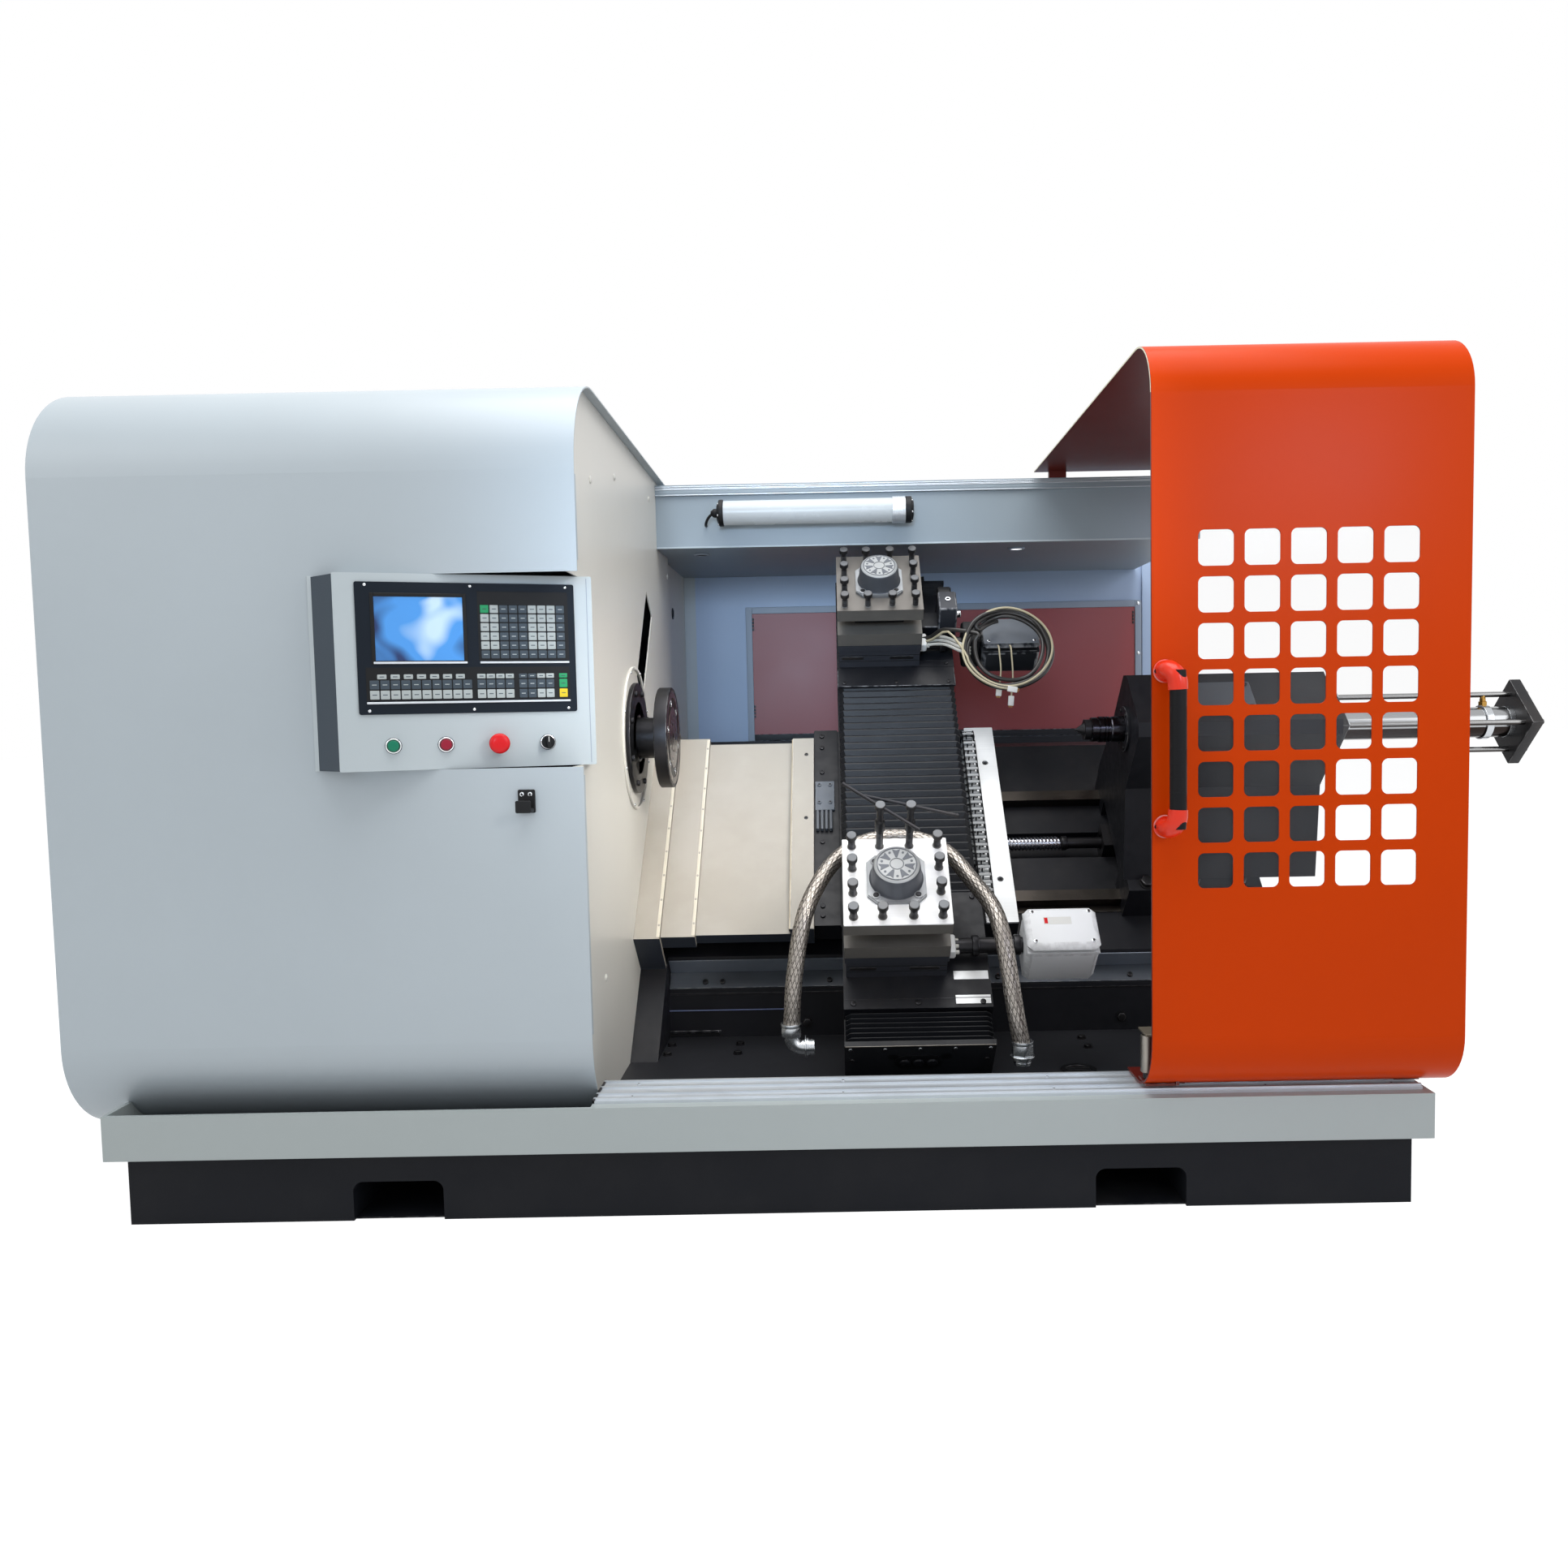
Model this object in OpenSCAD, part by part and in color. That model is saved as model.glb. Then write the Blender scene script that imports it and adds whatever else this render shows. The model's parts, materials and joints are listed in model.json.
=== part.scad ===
/* [Base] */
// Length of the plinth along the spindle
plinth_l = 2550; // [2400:10:3200]
// Depth of the plinth
plinth_w = 1940; // [1900:10:2400]
// Height of the plinth
plinth_h = 140; // [120:5:200]
// How far the tray stands out past the plinth
tray_out = 30; // [10:1:60]
// Height of the tray's skirt above the plinth
skirt_h = 90; // [70:5:140]
// Thickness of the tray's floor
tray_floor_t = 10; // [6:1:20]
// Thickness of the tray's walls
tray_wall = 8; // [4:1:12]
// Width of the ledge along the tray's front
ledge_w = 150; // [140:1:180]
// Width of a fork pocket
fork_w = 180; // [150:5:220]
// Height of a fork pocket
fork_h = 79; // [60:1:100]
// Distance from the middle to a fork pocket's centre
fork_x = 739; // [600:1:900]
// Diameter of the holes for the levelling feet
foot_hole_d = 21; // [16:1:30]
// Distance from the plinth's edge to a foot hole
foot_inset = 60; // [50:1:90]

/* [Spindle] */
// Depth position of the spindle axis
axis_y = -235; // [-260:1:-200]
// Height of the spindle axis
axis_z = 935; // [930:5:1150]
// Diameter of the spindle nose
spindle_d = 104; // [90:1:140]
// Diameter of the face plate
face_plate_d = 256; // [200:1:320]
// Thickness of the face plate
face_plate_t = 33; // [20:1:50]
// Front face of the face plate, along the spindle
face_x = -268; // [-290:1:-240]
// Pitch circle of the face plate's bolt holes
face_pcd = 180; // [140:1:200]
// Diameter of the face plate's bolt holes
face_hole_d = 13; // [8:1:18]
// Outer diameter of the black seal ring
seal_ring_d = 283; // [260:1:300]
// Outer diameter of the thin guard ring
guard_ring_d = 366; // [340:1:380]
// Diameter of the spindle's belt pulley
spindle_pulley_d = 220; // [160:1:260]
// Diameter of the motor's belt pulley
motor_pulley_d = 180; // [120:1:220]

/* [Covers] */
// Height of the headstock cover above the spindle axis
headroom = 740; // [700:5:900]
// Radius of the cover's bent corners
bend_r = 200; // [120:5:220]
// How far the headstock cover overhangs the tray's left end
cover_overhang = 103; // [60:1:160]
// Right edge of the headstock cover
cover_right = -347; // [-350:1:-330]
// Thickness of the sheet metal
sheet = 3; // [2:0.5:4]
// Right face of the partition
partition_x = -367; // [-372:1:-360]
// Front face of the roof beam
beam_y = 230; // [215:1:260]
// Height of the roof beam
beam_h = 182; // [150:1:220]
// Right end of the roof beam
beam_right = 1225; // [1150:1:1280]

/* [Door] */
// Width of the door
door_w = 597; // [560:1:640]
// Left edge of the open door
door_x = 743; // [740:1:760]
// Radius of the door's bent corners
door_r = 110; // [80:1:140]
// Side of a window in the door
window = 67; // [50:1:72]
// Pitch of the windows
window_pitch = 86.5; // [80:0.5:90]
// Radius of a window's corners
window_r = 12; // [5:1:20]
// Columns of windows
window_columns = 5; // [1:1:5]
// Rows of windows
window_rows = 8; // [1:1:8]

/* [Cross unit] */
// Width of the cross bed and its slides
unit_w = 340; // [320:1:360]
// Middle of the cross bed along the spindle
unit_x = 325; // [315:1:335]
// Length of a cross slide
slide_l = 321; // [290:1:330]
// Height of the way covers' top below the spindle axis, across the slope
saddle_drop = 297; // [290:1:320]
// Side of a tool turret
turret_w = 240; // [200:1:240]
// Middle of the turrets along the spindle
turret_x = 278; // [270:1:300]
// Thickness of a turret's top plate
turret_top_t = 38; // [30:1:45]
// Height of a turret's tool slot
tool_slot_h = 50; // [40:1:60]
// Diameter of a turret's clamping bolts
clamp_bolt_d = 16; // [12:1:18]

/* [Tailstock] */
// Diameter of the quill
quill_d = 67; // [50:1:90]
// Left face of the tailstock body
tailstock_x = 890; // [880:1:920]
// Length of the tailstock body
tailstock_l = 500; // [400:10:520]
// Diameter of the hydraulic cylinder's barrel
barrel_d = 79; // [70:1:90]
// Length of the hydraulic cylinder's barrel
barrel_l = 450; // [350:10:500]

/* [Control box] */
// Width of the control box
box_w = 486; // [480:1:490]
// Height of the control box
box_h = 380; // [370:1:420]
// Depth of the control box
box_d = 120; // [100:1:130]
// Angle of the control box to the cover
box_yaw = 19.2; // [15:0.1:22]
// Height of the control box's underside
box_z = 897; // [850:1:920]

/* [Hidden] */
$fn = 64;
slope = 45;
root2 = sqrt(2);
past = 1;
run_gap = 0.3;
fit_gap = 0.05;
seat_gap = 0.02;

// Tray
tray_l = plinth_l + 2 * tray_out;
tray_w = plinth_w + 2 * tray_out;
left_x = -tray_l / 2;
right_x = tray_l / 2;
front_y = -tray_w / 2;
back_y = tray_w / 2;
floor_z = plinth_h + tray_floor_t;
skirt_z = plinth_h + skirt_h;
foot_x = plinth_l / 2 - foot_inset;
foot_y = plinth_w / 2 - foot_inset;
fork_r = 20;
foot_hole_depth = 60;
track_w = 125;
track_t = 6;
ridge_h = 4;
track_y = front_y + 25;

// Headstock cover, partition and rear
cover_left = left_x - cover_overhang;
cover_front = front_y + 50;
cover_back = back_y - tray_wall;
cover_top = axis_z + headroom;
bend_y = cover_front + bend_r;
seam_y = 455;
seam_step = 20;
beam_top = cover_top - 15;
ceiling_z = beam_top - beam_h;
lip_h = 31;
lip_out = 8;
beam_return = 100;
wall_right = beam_right + 25;
panel_x = [-145, beam_right - 1];
panel_z = [914, 1345];
panel_t = 5;
frame_w = 20;
lamp_r = 38;
lamp_x = [-185, 364];
lamp_y = beam_y - 50;
lamp_z = ceiling_z + 92;
clamp_w = 26;
clamp_t = 4;

// Control box
box_x = -800;
box_y = cover_front - 60;
bezel_u = [39, 450];
bezel_z = [109, 363];
bezel_t = 3;
button_z = 48;
button_u = [98, 195, 295, 390];
button_r = 11;
button_depth = 40;

// Stack of pieces on the slope, as heights from the spindle axis
saddle_t = 55;
block_gap = 60;
saddle_n = -saddle_drop;
saddle_low_n = saddle_n - saddle_t;
bed_n = saddle_low_n - block_gap;
rail_h = 30;
rail_w = 34;
cross_bed_n = saddle_n + 45;
cross_low_n = saddle_n - 15;
cross_rail_h = 22;
cross_rail_w = 22;
slide_low_n = cross_bed_n + 45;
slide_t = 45;
slide_n = slide_low_n + slide_t;
bellows_n = slide_n - 10;
base_h = 63;
head_low_n = slide_n + base_h + run_gap;
lower_plate_t = 64;
slot_n = head_low_n + lower_plate_t;
top_plate_n = slot_n + tool_slot_h;
turret_n = top_plate_n + turret_top_t;

// Places along the slope, as distances from the spindle axis
saddle_s = [-390, 295];
saddle_x = [84, 603];
unit_mid = 16.5;
turret_reach = 524.5;
front_turret_s = unit_mid - turret_reach;
rear_turret_s = unit_mid + turret_reach;
slide_edge = turret_reach - 120;
front_slide_s = unit_mid - slide_edge - slide_l;
rear_slide_s = unit_mid + slide_edge;
bellows_end = 74;
unit_s = [front_slide_s - bellows_end, rear_slide_s + slide_l + bellows_end];
unit_side = [unit_x - unit_w / 2, unit_x + unit_w / 2];
end_plate_t = 12;
cross_rail_x = unit_w / 2 - 40;
front_screw_x = unit_x - 60;
rear_screw_x = unit_x + 60;
cross_screw_r = 12.5;
cross_screw_n = (cross_bed_n + slide_low_n) / 2;
rail_s = [-243, 108];
rail_x = [-320, 1180];
screw_s = -51;
screw_n = bed_n + 9;
screw_r = 20;
trough_w = 88;
trough_depth = 34;

// Slant bed
bed_top_s = 330;
bed_top_y = axis_y + (bed_top_s - bed_n) / root2;
bed_top_z = axis_z + (bed_top_s + bed_n) / root2;
bed_foot_y = floor_z - axis_z + axis_y - bed_n * root2;
bed_back = 620;
bed_x = [left_x + 60, right_x - 60];
step_x = -300;
step_s = -405;
step_drop = 61;
bed_front_y = -225;

// Telescopic way covers
way_s = [-409, 252];
way_step = 12;
way_sheet = 3;
apron = 35;
lip_l = 15;
end_box_l = 60;
slide_cover_x = [-415, saddle_x[0] - end_box_l + 1];
middle_cover_x = [-546, -216];
fixed_cover_x = [-762, -302];

// Headstock and main drive
housing_x = [-960, -385];
housing_r = 190;
bearing_r = 105;
bearing_l = 60;
shaft_r = spindle_d / 2 - 2;
bridge_n = [saddle_n + 50, saddle_n + 90];
nose_x = face_x - face_plate_t;
pulley_x = [-1085, -985];
motor_y = 470;
motor_r = 130;
motor_z = bed_top_z + 165;
motor_x = [-930, -520];
motor_shaft_r = 24;
belt_t = 8;
belt_x = [-1075, -995];
ring_t = 12;
guard_ring_w = 8;

// Turret
core_w = turret_w - 100;
swivel_r = 30;
swivel_h = 50;
bolt_edge = turret_w / 2 - 22;
bolt_inner = 34;
bolt_stand = 45;
bolt_head_w = 24;
bolt_head_h = 14;
tall_stand = 150;
bar_r = 4;
bar_l = 216;
cap_flange_r = 74;
cap_flange_h = 10;
cap_h = 52;
motor_offset = 56;
tube_r = 18;
tube_end_x = 574;
drive_n = slide_n + base_h / 2;

// Tailstock and cylinder
tail_half = 109;
tail_base_s = [-295, 165];
tail_right = tailstock_x + tailstock_l;
plate_half = 77;
plate_t = 30;
rod_offset = 49.5;
rod_r = 7;
barrel_x = [tail_right + plate_t, tail_right + plate_t + barrel_l];
quill_nose_x = tailstock_x - 90;
piston_rest = 250;
centre_r = 26;

// Door
door_front = front_y - 40;
door_top = cover_top + 8;
door_low = skirt_z + 13;
door_back = beam_y + 10;
door_foot = front_y + 150;
door_bend_y = door_front + door_r;
window_x = door_x + 87;
window_top = door_top - 363;
window_low = window_top - (window_rows - 1) * window_pitch - window;
pane_t = 4;
handle_x = door_x + 37;
handle_z = [door_low + 501, door_low + 839];
handle_out = 46;
handle_r = 14;

// Hose over the front turret: points as [x, along the slope, height] from the spindle axis
hose_r = 19;
hose_points = [
    [36, -749, -176], [45, -664, -93], [68, -557, -19], [104, -459, -14], [145, -393, -15],
    [201, -347, -15], [278, -328, -15], [356, -343, -15], [412, -386, -15], [455, -462, -10],
    [492, -556, 14], [508, -630, 8], [520, -705, -36], [532, -772, -93], [545, -822, -143]
];
lead_r = 4;
lead_points = [
    [-185, 0, 0], [-200, 2, -4], [-212, 10, -16], [-218, 24, -26], [-220, 40, -28], [-220, 50, -28]
];

// Coiled lead on the rear turret's motor, its middle measured from the spindle axis
coil_from_axis = [642, 323, 225];
coil_lean = 20;
coil_r = 122;
coil_bundle_r = 14;

function mid(v) = (v[0] + v[1]) / 2;
function unit(v) = v / norm(v);
function tangent(p, i) = unit(p[min(i + 1, len(p) - 1)] - p[max(i - 1, 0)]);
function side(t) = unit(cross(t, abs(t[1]) < 0.9 ? [0, 1, 0] : [1, 0, 0]));
function ring(c, t, r, n) = [
    for (k = [0 : n - 1]) c + r * (cos(360 * k / n) * side(t) + sin(360 * k / n) * cross(side(t), t))
];

// Places its children on the sloping face, with the spindle axis as x
module on_slope() {
    translate([0, axis_y, axis_z])
    rotate([slope, 0, 0])
    children();
}

// Box between two ends on each axis
module block(x, y, z) {
    translate([x[0], y[0], z[0]])
    cube([x[1] - x[0], y[1] - y[0], z[1] - z[0]]);
}

// Extrudes a flat outline along the spindle direction
module along_x(x) {
    translate([x[0], 0, 0])
    rotate([90, 0, 90])
    linear_extrude(x[1] - x[0])
    children();
}

// Round bar along the spindle direction
module rod_x(x, r, y = 0, z = 0) {
    translate([x[0], y, z])
    rotate([0, 90, 0])
    cylinder(h = x[1] - x[0], r = r);
}

// Round bar up the slope
module rod_s(s, r, x, n) {
    translate([x, s[0], n])
    rotate([-90, 0, 0])
    cylinder(h = s[1] - s[0], r = r);
}

// Round tube swept along a list of points
module sweep(points, r, sides) {
    last = len(points) - 1;
    rings = [for (i = [0 : last]) each ring(points[i], tangent(points, i), r, sides)];
    walls = [
        for (i = [0 : last - 1])
        for (k = [0 : sides - 1])
        [i * sides + k, i * sides + (k + 1) % sides, (i + 1) * sides + (k + 1) % sides, (i + 1) * sides + k]
    ];
    ends = [
        [for (k = [sides - 1 : -1 : 0]) k],
        [for (k = [0 : sides - 1]) last * sides + k]
    ];
    polyhedron(rings, concat(walls, ends));
}

module plinth() {
    color("#1a1b1d")
    difference() {
        block([-plinth_l / 2, plinth_l / 2], [-plinth_w / 2, plinth_w / 2], [0, plinth_h]);
        for (side = [-1, 1]) {
            rotate([90, 0, 0])
            linear_extrude(plinth_w + 2 * past, center = true)
            translate([side * fork_x, 0])
            fork_outline();
        }
        for (x = [-foot_x, foot_x], y = [-foot_y, foot_y]) {
            translate([x, y, -past])
            cylinder(h = foot_hole_depth + past, d = foot_hole_d);
        }
    }
}

module fork_outline() {
    translate([-fork_w / 2, -past])
    square([fork_w, fork_h - fork_r + past]);
    translate([-fork_w / 2 + fork_r, 0])
    square([fork_w - 2 * fork_r, fork_h]);
    for (end = [-1, 1]) {
        translate([end * (fork_w / 2 - fork_r), fork_h - fork_r])
        circle(fork_r);
    }
}

module tray() {
    color("#a9b2b1")
    difference() {
        block([left_x, right_x], [front_y, back_y], [plinth_h, skirt_z]);
        block(
            [left_x + tray_wall, right_x - tray_wall],
            [front_y + ledge_w, back_y - tray_wall],
            [floor_z, skirt_z + past]
        );
        block(
            [left_x + tray_wall, cover_right + 1],
            [front_y + tray_wall, front_y + ledge_w + past],
            [floor_z, skirt_z + past]
        );
        along_x([left_x - past, left_x + tray_wall + past])
        cover_outline(-1);
    }
}

module door_track() {
    color("silver")
    along_x([cover_right + 2, right_x - 12]) {
        translate([track_y, skirt_z])
        square([track_w, track_t]);
        for (y = [5, 35, 75, 112]) {
            translate([track_y + y, skirt_z])
            square([6, track_t + ridge_h]);
        }
    }
}

// Section of the headstock cover, as depth and height
module cover_outline(inset) {
    for (z = [floor_z + bend_r, cover_top - bend_r]) {
        translate([bend_y, z])
        circle(bend_r - inset);
    }
    translate([cover_front + inset, floor_z + bend_r])
    square([bend_r, cover_top - floor_z - 2 * bend_r]);
    translate([bend_y, floor_z + inset])
    square([cover_back - inset - bend_y, cover_top - floor_z - 2 * inset]);
}

module on_box() {
    translate([box_x, box_y, box_z])
    rotate([0, 0, box_yaw])
    children();
}

// Room for the control box, and in front of it, in the sheets that it passes through
module box_room() {
    on_box()
    block([-run_gap, box_w + bend_r], [-bend_r, box_d + run_gap], [-run_gap, box_h + run_gap]);
}

module headstock_cover() {
    color("#cfd4d5")
    difference() {
        along_x([cover_left, cover_right])
        cover_outline(0);
        along_x([cover_left + sheet, cover_right + past])
        cover_outline(sheet);
        block(
            [left_x - seat_gap, cover_right + past],
            [bend_y, cover_back - sheet],
            [floor_z - past, floor_z + 2 * sheet]
        );
        box_room();
    }
}

// Section inside the cover, down to the tray's floor
module partition_outline() {
    cover_outline(sheet + run_gap);
    translate([bend_y, floor_z + run_gap])
    square([cover_back - sheet - run_gap - bend_y, bend_r]);
}

module partition() {
    color("#c4c9ca")
    difference() {
        intersection() {
            along_x([partition_x - seam_step - sheet, partition_x])
            partition_outline();
            union() {
                block([partition_x - sheet, partition_x], [cover_front, seam_y], [0, cover_top]);
                block(
                    [partition_x - seam_step - sheet, partition_x],
                    [seam_y - sheet, seam_y],
                    [0, cover_top]
                );
                block(
                    [partition_x - seam_step - sheet, partition_x - seam_step],
                    [seam_y - sheet, cover_back],
                    [0, cover_top]
                );
            }
        }
        on_slope() {
            rod_x([partition_x - 50, partition_x + past], seal_ring_d / 2 - 12);
            along_x([partition_x - 50, partition_x + past])
            polygon([[156, -34], [476, 0], [458, 106], [153, 72]]);
            block(
                [partition_x - 50, partition_x + past],
                [way_s[0] - 2 * way_step - 2, way_s[1] + 2 * way_step + 2],
                [bed_n - 5, saddle_n + 2 * way_step + 2]
            );
        }
        bed_room();
        box_room();
        rod_x([partition_x - 50, partition_x], 15, 673, ceiling_z - 152);
    }
}

// Room for the bed in the partition
module bed_room() {
    along_x([partition_x - 50, partition_x + past])
    polygon([
        [bed_foot_y - 4, floor_z], [bed_foot_y - 4, floor_z + 2], [bed_top_y - 2, bed_top_z + 2],
        [bed_back + 2, bed_top_z + 2], [bed_back + 2, floor_z]
    ]);
}

module slant_bed() {
    color("#2b2d30")
    difference() {
        along_x(bed_x)
        polygon([
            [bed_foot_y, floor_z], [bed_top_y, bed_top_z],
            [bed_back, bed_top_z], [bed_back, floor_z]
        ]);
        along_x([step_x, bed_x[1] + past]) {
            translate([bed_foot_y - past, floor_z - past])
            square([bed_front_y - bed_foot_y + past, axis_z]);
            translate([axis_y, axis_z])
            rotate(slope)
            translate([step_s - 300, bed_n - step_drop])
            square([300, step_drop + past]);
        }
        on_slope() {
            block(
                [-900, bed_x[1] + past],
                [screw_s - trough_w / 2, screw_s + trough_w / 2],
                [bed_n - trough_depth, bed_n + past]
            );
            block([1000, bed_x[1] + past], [screw_s - 60, screw_s + 60], [screw_n - 50, bed_n + past]);
        }
    }
}

module headstock_housing() {
    color("#3a3d40")
    on_slope()
    difference() {
        union() {
            block(housing_x, [-housing_r, housing_r], [bridge_n[0], housing_r]);
            block(housing_x, [way_s[0] - 91, bed_top_s - 5], bridge_n);
            block(housing_x, [way_s[0] - 91, way_s[0] - 27], [bed_n, bridge_n[1]]);
            block(housing_x, [way_s[1] + 28, bed_top_s - 5], [bed_n, bridge_n[1]]);
        }
        rod_x([housing_x[0] - past, housing_x[1] + past], shaft_r + 12);
        for (x = [housing_x[0] - past, housing_x[1] - bearing_l]) {
            rod_x([x, x + bearing_l + past], bearing_r + seat_gap);
        }
    }
}

module spindle_bearings() {
    color("silver")
    on_slope()
    for (x = [housing_x[0], housing_x[1] - bearing_l]) {
        difference() {
            rod_x([x, x + bearing_l], bearing_r);
            rod_x([x - past, x + bearing_l + past], shaft_r + fit_gap);
        }
    }
}

module main_motor() {
    color("#4a5a66")
    difference() {
        union() {
            rod_x(motor_x, motor_r, motor_y, motor_z);
            block(
                [motor_x[0] + 40, motor_x[1] - 40],
                [motor_y - 110, motor_y + 110],
                [bed_top_z, motor_z - motor_r / 2]
            );
        }
        rod_x([motor_x[0] - past, motor_x[0] + 60], motor_shaft_r + fit_gap, motor_y, motor_z);
    }
}

// Loop round the two pulleys, grown outwards
module belt_outline(grow) {
    from = [axis_y, axis_z];
    to = [motor_y, motor_z];
    r1 = spindle_pulley_d / 2 + grow;
    r2 = motor_pulley_d / 2 + grow;
    reach = to - from;
    lean = atan2(reach[1], reach[0]);
    spread = acos((r1 - r2) / norm(reach));
    translate(from)
    circle(r1);
    translate(to)
    circle(r2);
    polygon([
        from + r1 * [cos(lean + spread), sin(lean + spread)],
        to + r2 * [cos(lean + spread), sin(lean + spread)],
        to + r2 * [cos(lean - spread), sin(lean - spread)],
        from + r1 * [cos(lean - spread), sin(lean - spread)]
    ]);
}

module drive_belt() {
    color("#202020")
    along_x(belt_x)
    difference() {
        belt_outline(run_gap + belt_t);
        belt_outline(run_gap);
    }
}

module spindle_rings() {
    on_slope() {
        color("#15161a")
        difference() {
            rod_x([partition_x, partition_x + ring_t], seal_ring_d / 2);
            rod_x([partition_x - past, partition_x + ring_t + past], spindle_d / 2 + 1);
        }
        color("#cfd4d5")
        difference() {
            rod_x([partition_x, partition_x + ring_t / 2], guard_ring_d / 2);
            rod_x([partition_x - past, partition_x + ring_t], guard_ring_d / 2 - guard_ring_w);
        }
    }
}

module z_rails() {
    color("silver")
    on_slope()
    for (s = rail_s) {
        block(rail_x, [s - rail_w / 2, s + rail_w / 2], [bed_n, bed_n + rail_h]);
    }
}

// Bearing blocks of the screw along the bed, and its motor
module z_drive() {
    on_slope() {
        color("#8c9094")
        for (x = [-790, 880]) {
            difference() {
                block([x, x + 50], [screw_s - 38, screw_s + 38], [bed_n - trough_depth, screw_n + 36]);
                rod_x([x - past, x + 51], screw_r + fit_gap, screw_s, screw_n);
            }
        }
        color("#1c1d20")
        difference() {
            block([1010, 1190], [screw_s - 49, screw_s + 49], [screw_n - 50, screw_n + 49]);
            rod_x([1009, 1060], screw_r + fit_gap, screw_s, screw_n);
        }
    }
}

// Telescopic cover stage; each stage is one step larger than the one inside it
module way_cover(x, stage, foot_n) {
    out = stage * way_step;
    difference() {
        block(x, [way_s[0] - out, way_s[1] + out], [foot_n, saddle_n + out]);
        block(
            [x[0] - past, x[1] - lip_l],
            [way_s[0] - out + way_sheet, way_s[1] + out - way_sheet],
            [foot_n - past, saddle_n + out - way_sheet]
        );
        block(
            [x[1] - lip_l - past, x[1] + past],
            [way_s[0] - out + way_step - run_gap, way_s[1] + out - way_step + run_gap],
            [foot_n - past, saddle_n + out - way_step + run_gap]
        );
    }
}

module fixed_way_cover() {
    color("#d8d2c0")
    on_slope()
    way_cover(fixed_cover_x, 2, bed_n);
}

module middle_way_cover() {
    color("#d8d2c0")
    on_slope()
    way_cover(middle_cover_x, 1, saddle_n - apron);
}

module sliding_way_cover() {
    color("#d8d2c0")
    on_slope() {
        difference() {
            block(slide_cover_x, way_s, [saddle_n - apron, saddle_n]);
            block(
                [slide_cover_x[0] - past, slide_cover_x[1] + past],
                [way_s[0] + way_sheet, way_s[1] - way_sheet],
                [saddle_n - apron - past, saddle_n - way_sheet]
            );
        }
        block([slide_cover_x[1] - 1, saddle_x[0]], way_s, [saddle_n - apron - 10, saddle_n + 20]);
    }
}

module tailstock() {
    color("#1d1f22")
    on_slope()
    difference() {
        union() {
            block([tailstock_x + 10, bed_x[1]], tail_base_s, [saddle_low_n, saddle_n]);
            for (s = rail_s) {
                block([tailstock_x + 10, bed_x[1]], [s - 52, s + 52], [bed_n, saddle_low_n]);
            }
            along_x([tailstock_x, tail_right])
            polygon([
                [-260, saddle_n], [140, saddle_n], [tail_half, -tail_half], [tail_half, tail_half - 25],
                [tail_half - 25, tail_half], [25 - tail_half, tail_half],
                [-tail_half, tail_half - 25], [-tail_half, -tail_half]
            ]);
        }
        for (s = rail_s) {
            block(
                [tailstock_x, rail_x[1] + seat_gap],
                [s - rail_w / 2 - seat_gap, s + rail_w / 2 + seat_gap],
                [bed_n - past, bed_n + rail_h + seat_gap]
            );
        }
        rod_x([tailstock_x - past, tail_right + past], quill_d / 2 + fit_gap);
    }
}

module cylinder_barrel() {
    color("#202226")
    on_slope()
    difference() {
        rod_x(barrel_x, barrel_d / 2);
        rod_x([barrel_x[0] - past, barrel_x[1] - 20], barrel_d / 2 - 6);
    }
}

// End plates of the cylinder, with the tie rods that hold them together
module cylinder_frame() {
    cylinder_plates();
    tie_rods();
}

module cylinder_plates() {
    color("#26282c")
    on_slope()
    for (x = [tail_right, barrel_x[1]]) {
        difference() {
            block([x, x + plate_t], [-plate_half, plate_half], [-plate_half, plate_half]);
            for (s = [-rod_offset, rod_offset], n = [-rod_offset, rod_offset]) {
                rod_x([x - past, x + plate_t + past], rod_r + seat_gap, s, n);
            }
            if (x == tail_right) rod_x([x - past, x + plate_t + past], 20 + fit_gap);
        }
    }
}

module tie_rods() {
    color("silver")
    on_slope()
    for (s = [-rod_offset, rod_offset], n = [-rod_offset, rod_offset]) {
        rod_x([tail_right, barrel_x[1] + plate_t + 18], rod_r, s, n);
        translate([barrel_x[1] + plate_t, s, n])
        rotate([0, 90, 0])
        cylinder(h = 12, r = 2 * rod_r, $fn = 6);
    }
}

module roof_beam() {
    color("#c9cecf")
    along_x([partition_x, beam_right]) {
        translate([beam_y, ceiling_z])
        square([sheet, beam_top - ceiling_z]);
        translate([beam_y, ceiling_z])
        square([seam_y - beam_y, sheet]);
        translate([beam_y - lip_out, beam_top - lip_h])
        square([lip_out, lip_h]);
        translate([beam_y - lip_out, beam_top - sheet])
        square([beam_return, sheet]);
    }
    color("#c9cecf")
    block(
        [partition_x - seam_step, beam_right],
        [seam_y, cover_back - sheet],
        [ceiling_z, ceiling_z + sheet]
    );
}

module rear_wall() {
    color("#c4c9ca") {
        block([cover_right, wall_right], [cover_back - sheet, cover_back], [floor_z, beam_top]);
        difference() {
            block(
                [panel_x[0] - frame_w, panel_x[1] + frame_w],
                [cover_back - sheet - panel_t - 3, cover_back - sheet],
                [panel_z[0] - frame_w, panel_z[1] + frame_w]
            );
            block(panel_x, [cover_back - 50, cover_back - sheet], panel_z);
        }
    }
}

module access_panel() {
    color("#7a2a2e")
    block(
        [panel_x[0] + seat_gap, panel_x[1] - seat_gap],
        [cover_back - sheet - panel_t, cover_back - sheet],
        [panel_z[0] + seat_gap, panel_z[1] - seat_gap]
    );
}

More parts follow.
